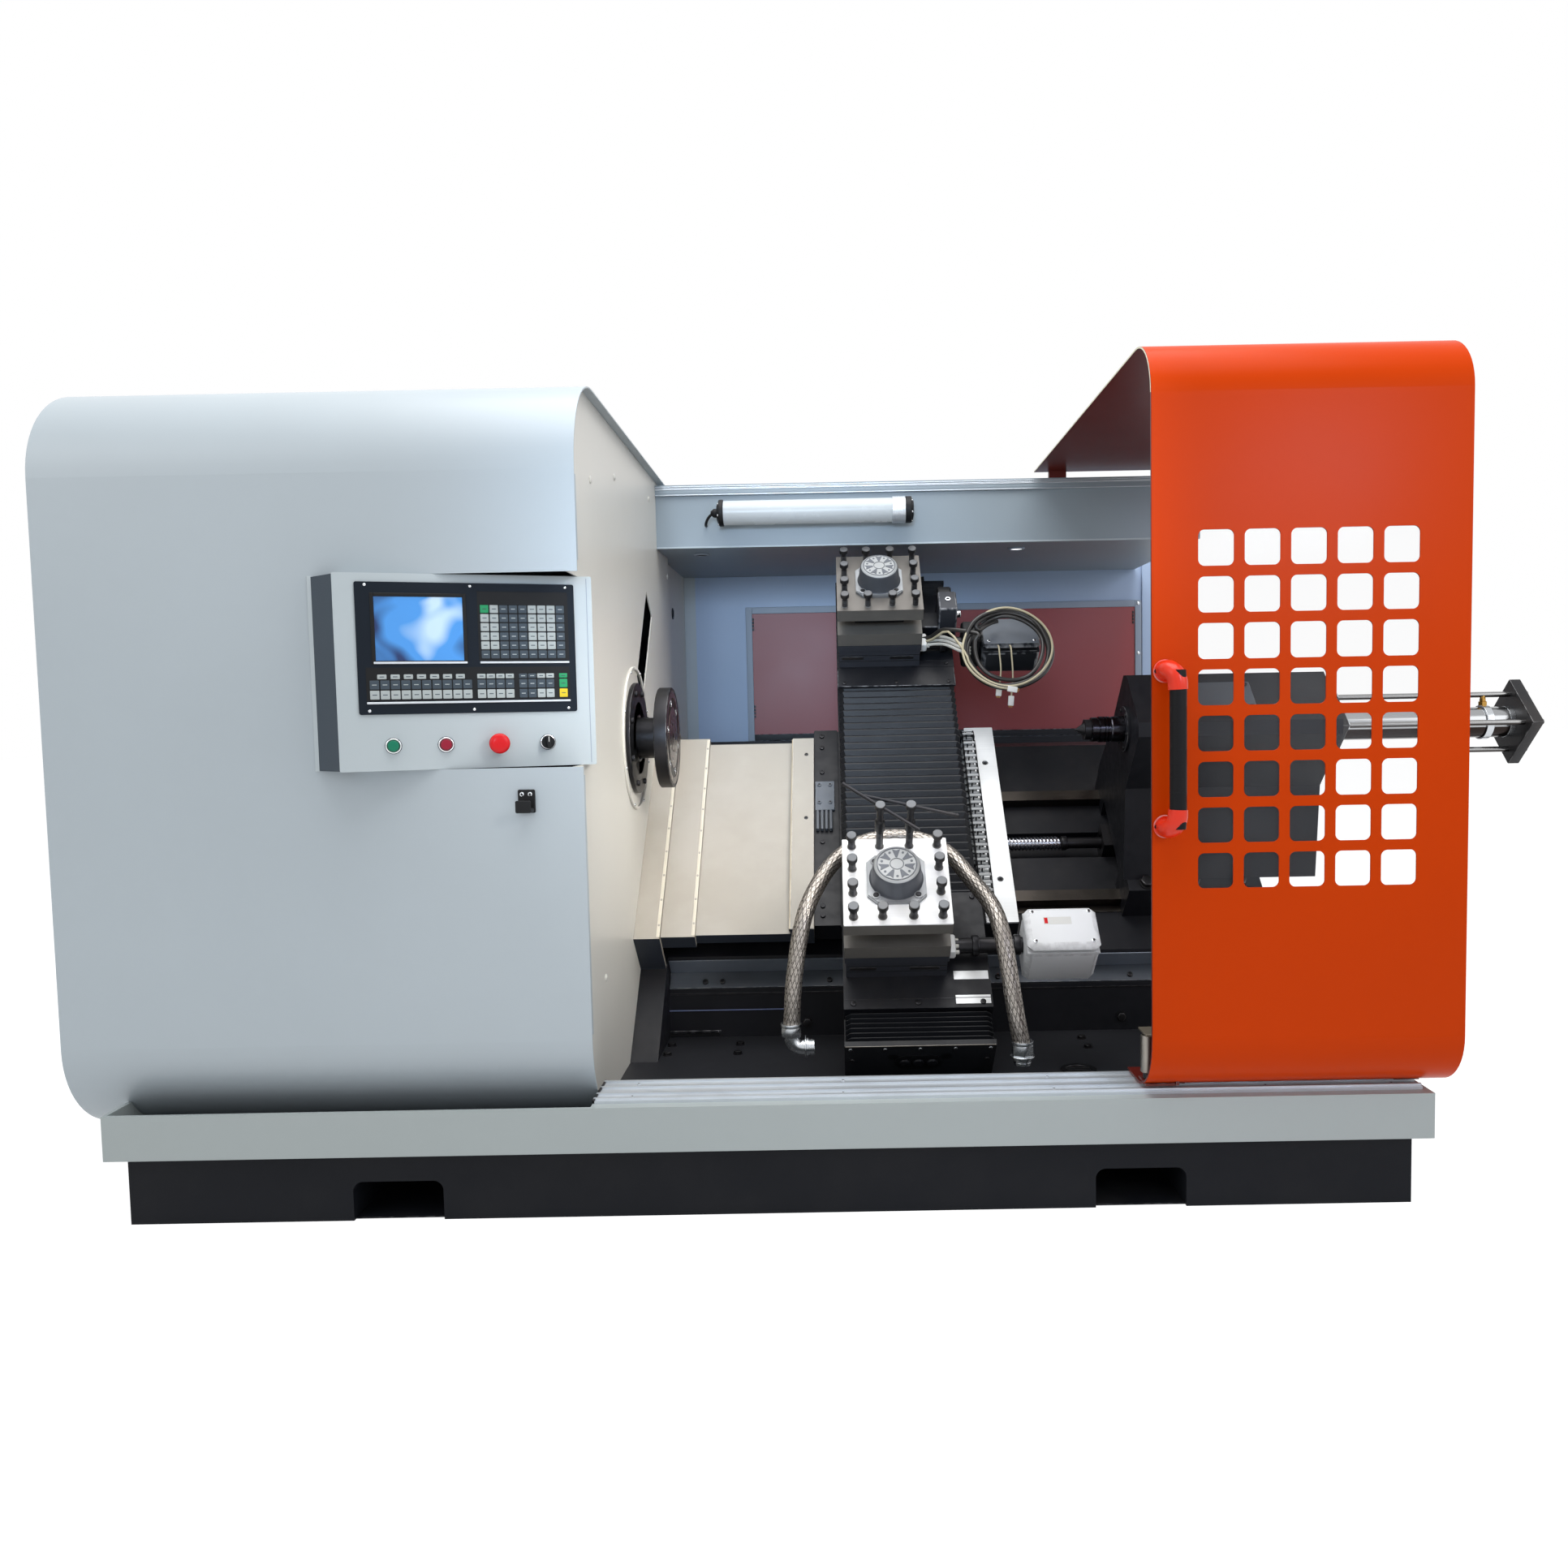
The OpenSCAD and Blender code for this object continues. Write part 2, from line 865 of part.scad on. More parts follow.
module tube_lamp() {
    color("#e8ecee")
    rod_x([lamp_x[0] + 20, lamp_x[1] - 20], lamp_r, lamp_y, lamp_z);
    color("#141518")
    for (x = [lamp_x[0], lamp_x[1] - 20]) {
        rod_x([x, x + 20], lamp_r + 2, lamp_y, lamp_z);
    }
    color("silver")
    for (x = [lamp_x[0] + 30, lamp_x[1] - 30 - clamp_w]) {
        difference() {
            union() {
                rod_x([x, x + clamp_w], lamp_r + clamp_t, lamp_y, lamp_z);
                block([x, x + clamp_w], [lamp_y, beam_y], [lamp_z - 12, lamp_z + 12]);
            }
            rod_x([x - past, x + clamp_w + past], lamp_r + seat_gap, lamp_y, lamp_z);
        }
    }
}

module lamp_lead() {
    color("#141518")
    translate([0, lamp_y, lamp_z])
    sweep(lead_points, lead_r, 8);
}

module control_box() {
    color("#b9bfc1")
    on_box()
    difference() {
        block([0, box_w], [0, box_d], [0, box_h]);
        for (u = button_u) {
            translate([u, -past, button_z])
            rotate([-90, 0, 0])
            cylinder(h = button_depth + past, r = button_r + run_gap);
        }
    }
}

module control_panel() {
    color("#17181a")
    on_box()
    block(bezel_u, [-bezel_t, 0], bezel_z);
}

// Round button body on the front of the control box
module button(u, head_r, head, stand) {
    on_box()
    translate([u, 0, button_z])
    rotate([90, 0, 0]) {
        translate([0, 0, -15])
        cylinder(h = 15 + stand, r = button_r);
        translate([0, 0, stand - head])
        cylinder(h = head, r = head_r);
    }
}

module green_button() {
    color("green")
    button(button_u[0], button_r, 5, 10);
}

module red_button() {
    color("red")
    button(button_u[1], button_r, 5, 10);
}

module emergency_stop() {
    color("red")
    button(button_u[2], 20, 14, 30);
}

module selector() {
    color("black") {
        button(button_u[3], 13, 8, 13);
        on_box()
        block([button_u[3] - 4, button_u[3] + 4], [-24, -12], [button_z - 12, button_z + 12]);
    }
}

module spindle() {
    color("#8a8d90")
    on_slope() {
        rod_x([pulley_x[0] - 10, housing_x[1] + past], shaft_r);
        rod_x([housing_x[1] + past, nose_x], spindle_d / 2);
        difference() {
            rod_x(pulley_x, spindle_pulley_d / 2);
            rod_x([pulley_x[0] - past, pulley_x[1] + past], shaft_r + seat_gap);
        }
    }
}

module face_plate() {
    color("#45302f")
    on_slope()
    difference() {
        rod_x([nose_x, face_x], face_plate_d / 2);
        rod_x([nose_x - past, face_x + past], 12);
        for (turn = [0 : 60 : 300]) {
            rotate([turn, 0, 0])
            rod_x([nose_x - past, face_x + past], face_hole_d / 2, face_pcd / 2, 0);
        }
    }
}

module motor_pulley() {
    color("#8a8d90") {
        rod_x([pulley_x[0] - 10, motor_x[0] + 50], motor_shaft_r, motor_y, motor_z);
        difference() {
            rod_x(pulley_x, motor_pulley_d / 2, motor_y, motor_z);
            rod_x([pulley_x[0] - past, pulley_x[1] + past], motor_shaft_r + seat_gap, motor_y, motor_z);
        }
    }
}

module saddle() {
    color("#303338")
    on_slope()
    difference() {
        union() {
            block(saddle_x, saddle_s, [saddle_low_n, saddle_n]);
            block(unit_side, unit_s, [cross_low_n, cross_bed_n]);
            block([300, 400], [screw_s - 35, screw_s + 35], [screw_n - 30, saddle_low_n + past]);
        }
        rod_x([299, 401], screw_r + fit_gap, screw_s, screw_n);
    }
}

module z_blocks() {
    color("#6d7175")
    on_slope()
    for (s = rail_s, x = [saddle_x[0] + 36, saddle_x[1] - 136]) {
        difference() {
            block([x, x + 100], [s - 35, s + 35], [bed_n + 6, saddle_low_n]);
            block(
                [x - past, x + 101],
                [s - rail_w / 2 - run_gap, s + rail_w / 2 + run_gap],
                [bed_n, bed_n + rail_h + run_gap]
            );
        }
    }
}

module saddle_strips() {
    color("#c8cccf")
    on_slope()
    difference() {
        union() {
            block([521, saddle_x[1]], saddle_s, [saddle_n, saddle_n + 6]);
            block([saddle_x[0] + 1, unit_side[0] - 3], saddle_s, [saddle_n, saddle_n + 6]);
            block([saddle_x[0] + 9, unit_side[0] - 15], [20, 136], [saddle_n + 6, saddle_n + 14]);
        }
        for (s = [-280, 60]) {
            translate([570, s, saddle_n - past])
            cylinder(h = 10, r = 8);
        }
    }
}

module x_rails() {
    color("silver")
    on_slope()
    for (x = [unit_x - cross_rail_x, unit_x + cross_rail_x]) {
        block(
            [x - cross_rail_w / 2, x + cross_rail_w / 2],
            [unit_s[0] + 15, unit_s[1] - 15],
            [cross_bed_n, cross_bed_n + cross_rail_h]
        );
    }
}

// End plates of the cross bed, with the two motors behind the upper one
module x_drives() {
    bellows_plates();
    x_motors();
}

module bellows_plates() {
    color("#24262a")
    on_slope()
    for (s = [unit_s[0] - end_plate_t, unit_s[1]]) {
        difference() {
            block(unit_side, [s, s + end_plate_t], [cross_low_n, bellows_n - 4]);
            for (x = [front_screw_x, rear_screw_x]) {
                rod_s([s - past, s + end_plate_t + past], cross_screw_r + fit_gap, x, cross_screw_n);
            }
        }
    }
}

module x_motors() {
    color("#1c1d20")
    on_slope()
    for (x = [front_screw_x, rear_screw_x]) {
        plate_s = unit_s[1] + end_plate_t;
        block([x - 50, x + 50], [unit_s[1] - 166, plate_s + 1], [cross_low_n - 120, cross_low_n]);
        difference() {
            block([x - 50, x + 50], [plate_s, plate_s + 30], [cross_low_n - 120, bellows_n - 10]);
            rod_s([plate_s - past, plate_s + 20], cross_screw_r + fit_gap, x, cross_screw_n);
        }
    }
}

// Cover of one gap in the cross bed, with its sides standing outside the rails
module bellow(s) {
    difference() {
        block(
            [unit_side[0] + 3, unit_side[1] - 3],
            [s[0] + run_gap, s[1] - run_gap],
            [cross_bed_n + run_gap, bellows_n]
        );
        block(
            [unit_side[0] + 21, unit_side[1] - 21],
            [s[0] - past, s[1] + past],
            [cross_bed_n, bellows_n - 18]
        );
    }
}

module bellows() {
    color("#22252b")
    on_slope() {
        bellow([unit_s[0], front_slide_s]);
        bellow([front_slide_s + slide_l, rear_slide_s]);
        bellow([rear_slide_s + slide_l, unit_s[1]]);
    }
}

module drag_chain() {
    bend = 46;
    link = 20;
    low_n = saddle_n + 6 + run_gap;
    bend_s = 172;
    color("#17181a")
    on_slope()
    along_x([unit_side[1] + 5, unit_side[1] + 40])
    difference() {
        union() {
            translate([bend_s, low_n + bend])
            circle(bend);
            translate([saddle_s[0], low_n])
            square([bend_s - saddle_s[0], 2 * bend]);
        }
        translate([bend_s, low_n + bend])
        circle(bend - link);
        translate([saddle_s[0] - past, low_n + link])
        square([bend_s - saddle_s[0] + past, 2 * (bend - link)]);
    }
}

module z_screw() {
    color("silver")
    on_slope()
    rod_x([-785, 1050], screw_r, screw_s, screw_n);
}

module front_screw() {
    color("silver")
    on_slope()
    rod_s([unit_s[0] - end_plate_t, unit_s[1] + 25], cross_screw_r, front_screw_x, cross_screw_n);
}

module rear_screw() {
    color("silver")
    on_slope()
    rod_s([unit_s[0] - end_plate_t, unit_s[1] + 25], cross_screw_r, rear_screw_x, cross_screw_n);
}

// Cross slide with its four rail blocks and its screw nut; s is its lower edge
module cross_slide(s, nut_x) {
    difference() {
        union() {
            block(unit_side, [s, s + slide_l], [slide_low_n, slide_n]);
            for (x = [unit_x - cross_rail_x, unit_x + cross_rail_x], b = [20, slide_l - 90]) {
                block([x - 22, x + 22], [s + b, s + b + 70], [cross_bed_n + 4, slide_low_n]);
            }
            block(
                [nut_x - 19, nut_x + 19],
                [s + slide_l / 2 - 30, s + slide_l / 2 + 30],
                [cross_bed_n + 4, slide_low_n]
            );
        }
        for (x = [unit_x - cross_rail_x, unit_x + cross_rail_x]) {
            block(
                [x - cross_rail_w / 2 - run_gap, x + cross_rail_w / 2 + run_gap],
                [s - past, s + slide_l + past],
                [cross_bed_n, cross_bed_n + cross_rail_h + run_gap]
            );
        }
        rod_s([s - past, s + slide_l + past], cross_screw_r + fit_gap, nut_x, cross_screw_n);
    }
}

module front_slide() {
    color("#2e3136")
    on_slope()
    cross_slide(front_slide_s, front_screw_x);
}

module rear_slide() {
    color("#2e3136")
    on_slope()
    cross_slide(rear_slide_s, rear_screw_x);
}

// Fixed base of a turret, with the pin that the head turns on
module turret_base(s) {
    half = turret_w / 2 - 4;
    block([turret_x - half, turret_x + half], [s - half, s + half], [slide_n, slide_n + base_h]);
    translate([turret_x, s, slide_n])
    cylinder(h = base_h + swivel_h, r = swivel_r);
}

module front_turret_base() {
    color("#1e2024")
    on_slope()
    turret_base(front_turret_s);
}

module rear_turret_base() {
    color("#1e2024")
    on_slope()
    turret_base(rear_turret_s);
}

// Indexing motor beside a turret's base
module turret_motor(s, x_end) {
    rod_x([turret_x + turret_w / 2 - 4, tube_end_x + past], tube_r, s - motor_offset, drive_n);
    block([tube_end_x, x_end], [s - motor_offset - 57, s - motor_offset + 57], [drive_n - 74, drive_n + 74]);
}

module front_turret_motor() {
    color("#9aa0a6")
    on_slope()
    turret_motor(front_turret_s, 741);
}

module rear_turret_motor() {
    color("#1c1d20")
    on_slope()
    turret_motor(rear_turret_s, 741);
}

// Square turret head with a tool slot on each side; its middle is at the origin
module turret_head() {
    difference() {
        union() {
            for (level = [[head_low_n, slot_n], [top_plate_n, turret_n]]) {
                block([-turret_w / 2, turret_w / 2], [-turret_w / 2, turret_w / 2], level);
            }
            block([-core_w / 2, core_w / 2], [-core_w / 2, core_w / 2], [slot_n - past, top_plate_n + past]);
        }
        translate([0, 0, head_low_n - past])
        cylinder(h = swivel_h + past, r = swivel_r + fit_gap);
        bolt_places()
        translate([0, 0, top_plate_n - past])
        cylinder(h = turret_top_t + 2 * past, d = clamp_bolt_d + 2 * seat_gap);
    }
}

// Three bolts over each tool slot's end and two between, twelve in all
module bolt_places() {
    for (a = [-1, 1]) {
        for (x = [-bolt_edge, -bolt_inner, bolt_inner, bolt_edge]) {
            translate([x, a * bolt_edge, 0])
            children();
        }
        for (y = [-bolt_inner, bolt_inner]) {
            translate([a * bolt_edge, y, 0])
            children();
        }
    }
}

module clamp_bolt(stand) {
    translate([0, 0, slot_n + 18])
    cylinder(h = turret_n + stand - slot_n - 18, d = clamp_bolt_d);
    translate([0, 0, turret_n + stand - bolt_head_h])
    cylinder(h = bolt_head_h, d = bolt_head_w);
}

// Cast cap on the head's top plate
module turret_cap() {
    translate([0, 0, turret_n]) {
        rotate([0, 0, 22.5])
        cylinder(h = cap_flange_h, r = cap_flange_r, $fn = 8);
        cylinder(h = cap_flange_h + cap_h, r1 = 64, r2 = 52);
    }
}

module front_turret() {
    color("#d5d8da")
    on_slope()
    translate([turret_x, front_turret_s, 0]) {
        turret_head();
        turret_cap();
        bolt_places()
        clamp_bolt(bolt_stand);
        for (bolt = [[-bolt_inner, -40], [bolt_inner, -17]]) {
            translate([bolt[0], bolt_edge, 0]) {
                clamp_bolt(tall_stand);
                translate([0, 0, turret_n + tall_stand - 7])
                rotate([0, 90, bolt[1]])
                cylinder(h = bar_l, r = bar_r, center = true);
            }
        }
    }
}

module rear_turret() {
    color("#8f959a")
    on_slope()
    translate([turret_x, rear_turret_s, 0]) {
        turret_head();
        turret_cap();
        bolt_places()
        clamp_bolt(bolt_stand);
    }
}

module braided_hose() {
    color("#8d8780")
    on_slope()
    sweep(hose_points, hose_r, 12);
}

// Collar hanging straight down from an end of the hose
module hose_collar(end, l) {
    translate(end)
    rotate([90 + slope, 0, 0])
    cylinder(h = l, r = hose_r + 5);
}

module hose_fittings() {
    drop = 42;
    first = hose_points[0];
    bend = first - [0, drop, drop] / root2;
    color("#c9ced2")
    on_slope() {
        hose_collar(first, drop);
        translate(bend)
        sphere(hose_r + 2);
        rod_x([bend[0], bend[0] + 52], hose_r, bend[1], bend[2]);
        rod_x([bend[0] + 30, bend[0] + 40], hose_r + 7, bend[1], bend[2]);
        hose_collar(hose_points[len(hose_points) - 1], 36);
    }
}

// Coiled lead that hangs over the rear turret's motor
module cable_coil() {
    color("#2b2b2b")
    translate([0, axis_y, axis_z] + coil_from_axis)
    rotate([90 - coil_lean, 0, 0])
    rotate_extrude()
    translate([coil_r, 0])
    circle(coil_bundle_r);
}

module quill() {
    color("#a8adb2")
    on_slope() {
        rod_x([quill_nose_x, tail_right - 110], quill_d / 2);
        rod_x([tail_right - 111, barrel_x[0] + piston_rest], 20);
        rod_x([barrel_x[0] + piston_rest, barrel_x[0] + piston_rest + 30], barrel_d / 2 - 6 - fit_gap);
    }
}

module live_centre() {
    color("#c9ced2")
    on_slope() {
        rod_x([quill_nose_x - 16, quill_nose_x - run_gap], centre_r);
        translate([quill_nose_x - 16, 0, 0])
        rotate([0, -90, 0])
        cylinder(h = 24, r1 = centre_r - 8, r2 = 0.5);
    }
}

// Section of the door, as depth and height
module door_outline(inset) {
    for (z = [door_low + door_r, door_top - door_r]) {
        translate([door_bend_y, z])
        circle(door_r - inset);
    }
    translate([door_front + inset, door_low + door_r])
    square([door_r, door_top - door_low - 2 * door_r]);
    translate([door_bend_y, door_low + inset])
    square([door_back + past * inset - door_bend_y, door_top - door_low - 2 * inset]);
}

module window_outline() {
    translate([window_r, 0])
    square([window - 2 * window_r, window]);
    translate([0, window_r])
    square([window, window - 2 * window_r]);
    for (x = [window_r, window - window_r], y = [window_r, window - window_r]) {
        translate([x, y])
        circle(window_r);
    }
}

module door() {
    color("#c8502a")
    difference() {
        along_x([door_x, door_x + door_w])
        door_outline(0);
        along_x([door_x - past, door_x + door_w + past])
        door_outline(sheet);
        block(
            [door_x - past, door_x + door_w + past],
            [door_foot, door_back + past],
            [door_low - past, door_low + 2 * sheet]
        );
        translate([window_x, door_front + sheet + past, window_low])
        rotate([90, 0, 0])
        linear_extrude(sheet + 2 * past)
        for (i = [0 : window_columns - 1], j = [0 : window_rows - 1]) {
            translate([i * window_pitch, j * window_pitch])
            window_outline();
        }
    }
}

module door_window() {
    margin = 18;
    color([0.8, 0.85, 0.85, 0.4])
    block(
        [window_x - margin, window_x + (window_columns - 1) * window_pitch + window + margin],
        [door_front + sheet, door_front + sheet + pane_t],
        [window_low - margin, window_top + margin]
    );
}

module door_handle() {
    color("#1a1a1a") {
        translate([handle_x, door_front - handle_out, handle_z[0]])
        cylinder(h = handle_z[1] - handle_z[0], r = handle_r);
        for (z = [handle_z[0] + 25, handle_z[1] - 25]) {
            translate([handle_x, door_front, z])
            rotate([90, 0, 0])
            cylinder(h = handle_out, r = handle_r - 3);
        }
    }
}

module door_guides() {
    color("#8f959a")
    for (x = [door_x + 40, door_x + door_w - 90]) {
        block([x, x + 50], [track_y + 30, track_y + 80], [skirt_z + track_t + ridge_h + run_gap, door_low]);
        block([x, x + 50], [beam_y - lip_out, beam_y + 8], [beam_top + run_gap, door_top - sheet]);
    }
}

plinth();
tray();
door_track();
headstock_cover();
partition();
slant_bed();
headstock_housing();
spindle_bearings();
main_motor();
drive_belt();
spindle_rings();
z_rails();
z_drive();
fixed_way_cover();
tailstock();
cylinder_barrel();
cylinder_frame();
roof_beam();
rear_wall();
access_panel();
tube_lamp();
lamp_lead();
control_box();
control_panel();
green_button();
red_button();
emergency_stop();
selector();
spindle();
face_plate();
motor_pulley();
saddle();
z_blocks();
saddle_strips();
sliding_way_cover();
x_rails();
x_drives();
drag_chain();
bellows();
middle_way_cover();
z_screw();
front_screw();
rear_screw();
front_slide();
front_turret_base();
front_turret_motor();
front_turret();
braided_hose();
hose_fittings();
rear_slide();
rear_turret_base();
rear_turret_motor();
rear_turret();
cable_coil();
quill();
live_centre();
door();
door_window();
door_handle();
door_guides();
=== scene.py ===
"""Looks of a slant-bed metal spinning machine, built piece by piece round its frame."""
import json
import logging
import math
from dataclasses import dataclass, field
from enum import Enum
from typing import Callable, Iterable, Sequence

import bmesh
import bpy
from mathutils import Matrix, Vector, noise
from mathutils.geometry import tessellate_polygon


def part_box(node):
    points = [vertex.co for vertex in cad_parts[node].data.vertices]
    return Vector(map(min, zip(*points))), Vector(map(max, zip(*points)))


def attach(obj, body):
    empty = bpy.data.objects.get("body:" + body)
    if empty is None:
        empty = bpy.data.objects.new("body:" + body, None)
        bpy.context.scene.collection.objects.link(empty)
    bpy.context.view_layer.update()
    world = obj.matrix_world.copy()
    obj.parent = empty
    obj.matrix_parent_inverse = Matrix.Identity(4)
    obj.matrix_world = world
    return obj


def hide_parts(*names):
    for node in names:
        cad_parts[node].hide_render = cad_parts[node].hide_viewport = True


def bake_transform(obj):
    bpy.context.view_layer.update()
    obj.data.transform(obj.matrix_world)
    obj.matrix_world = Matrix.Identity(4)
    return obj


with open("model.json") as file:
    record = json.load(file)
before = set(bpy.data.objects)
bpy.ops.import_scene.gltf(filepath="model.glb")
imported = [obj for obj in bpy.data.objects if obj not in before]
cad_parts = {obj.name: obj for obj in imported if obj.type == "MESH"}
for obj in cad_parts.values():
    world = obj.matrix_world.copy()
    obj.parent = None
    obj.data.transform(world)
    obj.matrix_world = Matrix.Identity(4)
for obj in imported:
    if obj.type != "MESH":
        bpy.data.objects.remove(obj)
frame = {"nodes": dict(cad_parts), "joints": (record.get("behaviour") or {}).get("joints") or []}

LOG = logging.getLogger("spinning_machine")
MM = 0.001
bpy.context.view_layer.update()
SELECTOR_ON_FACE = (0.390, 0.048)   # metres right of and above the control box's lower left corner

Colour = tuple[float, float, float]
Span = tuple[float, float]
Point2 = tuple[float, float]
Place = Sequence[float]
Tree, Node, Socket = bpy.types.NodeTree, bpy.types.Node, bpy.types.NodeSocket
Material, Piece = bpy.types.Material, bpy.types.Object


# ---------------------------------------------------------------- places

def joint(name: str) -> dict:
    """The record's joint of that name.

    Args:
        name: the joint's name.

    Returns:
        Its entry in the record.
    """
    return next(j for j in frame["joints"] if j["name"] == name)


def slope_place() -> Matrix:
    """Millimetres on the sloping face, measured from the spindle axis, to the row frame.

    Returns:
        A matrix whose x runs along the spindle, y up the slope and z out of it.
    """
    axis = joint("spindle_spin")["pos_m"]
    lean = Matrix.Rotation(math.radians(45), 4, "X")
    return Matrix.Translation((0, axis[1], axis[2])) @ lean @ Matrix.Scale(MM, 4)


def box_place() -> Matrix:
    """Millimetres on the control box's face, from its lower left corner, to the row frame.

    Returns:
        A matrix whose x runs along the face, y into the box and z up.
    """
    knob = joint("selector_turn")
    into = Vector(knob["axis"])
    along = Vector((into.y, -into.x, 0))
    corner = Vector(knob["pos_m"]) - along * SELECTOR_ON_FACE[0] - Vector((0, 0, SELECTOR_ON_FACE[1]))
    turn = Matrix((along, into, Vector((0, 0, 1)))).transposed().to_4x4()
    return Matrix.Translation(corner) @ turn @ Matrix.Scale(MM, 4)


WORLD = Matrix.Scale(MM, 4)
SLOPE = slope_place()
PANEL = box_place()


def span_box(node: str, place: Matrix = WORLD) -> tuple[Vector, Vector]:
    """Lowest and highest corner of a CAD node in one of the three places.

    Args:
        node: the CAD node's name.
        place: the place's matrix.

    Returns:
        Two corners, in millimetres of that place.
    """
    back = place.inverted()
    points = [back @ v.co for v in frame["nodes"][node].data.vertices]
    low = Vector(min(p[i] for p in points) for i in range(3))
    high = Vector(max(p[i] for p in points) for i in range(3))
    return low, high


# ---------------------------------------------------------------- shader groups

def group(name: str, inputs: dict[str, float], outputs: Sequence[str],
          fill: Callable[[Tree, Node, Node], None]) -> Tree:
    """Builds a shader node group once and returns it each time after.

    Args:
        name: the group's name.
        inputs: input names with their first values.
        outputs: output names.
        fill: draws the group's nodes between its two end nodes.

    Returns:
        The node group.
    """
    if name in bpy.data.node_groups:
        return bpy.data.node_groups[name]
    tree = bpy.data.node_groups.new(name, "ShaderNodeTree")
    for label, value in inputs.items():
        socket = tree.interface.new_socket(label, in_out="INPUT", socket_type="NodeSocketFloat")
        socket.default_value = value
    for label in outputs:
        tree.interface.new_socket(label, in_out="OUTPUT", socket_type="NodeSocketFloat")
    fill(tree, tree.nodes.new("NodeGroupInput"), tree.nodes.new("NodeGroupOutput"))
    return tree


def node(tree: Tree, kind: str, links: dict | None = None, **settings: object) -> Node:
    """Adds one node, sets it up and feeds its inputs.

    Args:
        tree: the tree it goes into.
        kind: the node's type without the "ShaderNode" in front.
        links: inputs by name or number, each a value or the socket that feeds it.
        settings: the node's own properties.

    Returns:
        The node.
    """
    made = tree.nodes.new("ShaderNode" + kind)
    for label, value in settings.items():
        setattr(made, label, value)
    for label, value in (links or {}).items():
        if isinstance(value, Socket):
            tree.links.new(value, made.inputs[label])
        else:
            made.inputs[label].default_value = value
    return made


def math_node(tree: Tree, operation: str, a: object, b: object = 0.0) -> Socket:
    """Adds one clamped maths node.

    Args:
        tree: the tree it goes into.
        operation: Blender's name for the operation.
        a: first value or socket.
        b: second value or socket.

    Returns:
        The node's output socket.
    """
    return node(tree, "Math", {0: a, 1: b}, operation=operation, use_clamp=True).outputs[0]


def fill_grain(tree: Tree, start: Node, end: Node) -> None:
    """Fine and broad unevenness of a surface, from its own place in space.

    Args:
        tree: the group's tree.
        start: the node that holds its inputs.
        end: the node that takes its outputs.
    """
    place = node(tree, "TexCoord").outputs["Object"]
    fine = node(tree, "TexNoise", {"Vector": place, "Scale": start.outputs["Fine size"], "Detail": 3.0})
    broad = node(tree, "TexNoise", {"Vector": place, "Scale": start.outputs["Broad size"], "Detail": 4.0})
    tree.links.new(fine.outputs[0], end.inputs["Fine"])
    tree.links.new(broad.outputs[0], end.inputs["Broad"])


def fill_brush(tree: Tree, start: Node, end: Node) -> None:
    """Fine parallel marks that grinding or turning leaves, along the first axis.

    Args:
        tree: the group's tree.
        start: the node that holds its inputs.
        end: the node that takes its outputs.
    """
    place = node(tree, "TexCoord").outputs["Object"]
    across = start.outputs["Across"]
    squeeze = node(tree, "CombineXYZ", {0: start.outputs["Along"], 1: across, 2: across})
    pulled = node(tree, "VectorMath", {0: place, 1: squeeze.outputs[0]}, operation="MULTIPLY")
    marks = node(tree, "TexNoise",
                 {"Vector": pulled.outputs[0], "Scale": 1.0, "Detail": 5.0, "Roughness": 0.7})
    tree.links.new(marks.outputs[0], end.inputs["Marks"])


def fill_dust(tree: Tree, start: Node, end: Node) -> None:
    """Where dust and fluid settle: upward faces, in soft patches.

    Args:
        tree: the group's tree.
        start: the node that holds its inputs.
        end: the node that takes its outputs.
    """
    normal = node(tree, "NewGeometry").outputs["Normal"]
    up = node(tree, "SeparateXYZ", {0: normal}).outputs[2]
    place = node(tree, "TexCoord").outputs["Object"]
    patch = node(tree, "TexNoise", {"Vector": place, "Scale": start.outputs["Size"], "Detail": 6.0})
    lifted = node(tree, "MapRange", {"Value": patch.outputs[0], "From Min": 0.38, "From Max": 0.72},
                  interpolation_type="SMOOTHSTEP")
    spread = math_node(tree, "MULTIPLY", lifted.outputs[0], math_node(tree, "MAXIMUM", up, 0.12))
    tree.links.new(math_node(tree, "MULTIPLY", spread, start.outputs["Amount"]), end.inputs["Mask"])


def fill_rub(tree: Tree, start: Node, end: Node) -> None:
    """Edges rubbed by hands and chips, where a mesh marks its edges.

    Args:
        tree: the group's tree.
        start: the node that holds its inputs.
        end: the node that takes its outputs.
    """
    edge = node(tree, "Attribute", attribute_name="rub").outputs["Fac"]
    place = node(tree, "TexCoord").outputs["Object"]
    broken = node(tree, "TexNoise", {"Vector": place, "Scale": 60.0, "Detail": 5.0})
    gate = node(tree, "MapRange", {"Value": broken.outputs[0], "From Min": 0.4, "From Max": 0.6})
    share = math_node(tree, "MULTIPLY", edge, gate.outputs[0])
    tree.links.new(math_node(tree, "MULTIPLY", share, start.outputs["Amount"]), end.inputs["Mask"])


def fill_speck(tree: Tree, start: Node, end: Node) -> None:
    """Small cells of sand casting or blasting, as a height.

    Args:
        tree: the group's tree.
        start: the node that holds its inputs.
        end: the node that takes its outputs.
    """
    place = node(tree, "TexCoord").outputs["Object"]
    cells = node(tree, "TexVoronoi", {"Vector": place, "Scale": start.outputs["Size"]})
    rough = node(tree, "TexNoise", {"Vector": place, "Scale": start.outputs["Size"], "Detail": 6.0})
    both = math_node(tree, "ADD", cells.outputs["Distance"], rough.outputs[0])
    tree.links.new(math_node(tree, "MULTIPLY", both, 0.5), end.inputs["Height"])


def grain_group() -> Tree:
    """The shared unevenness group."""
    return group("surface_grain", {"Fine size": 400.0, "Broad size": 3.0}, ["Fine", "Broad"], fill_grain)


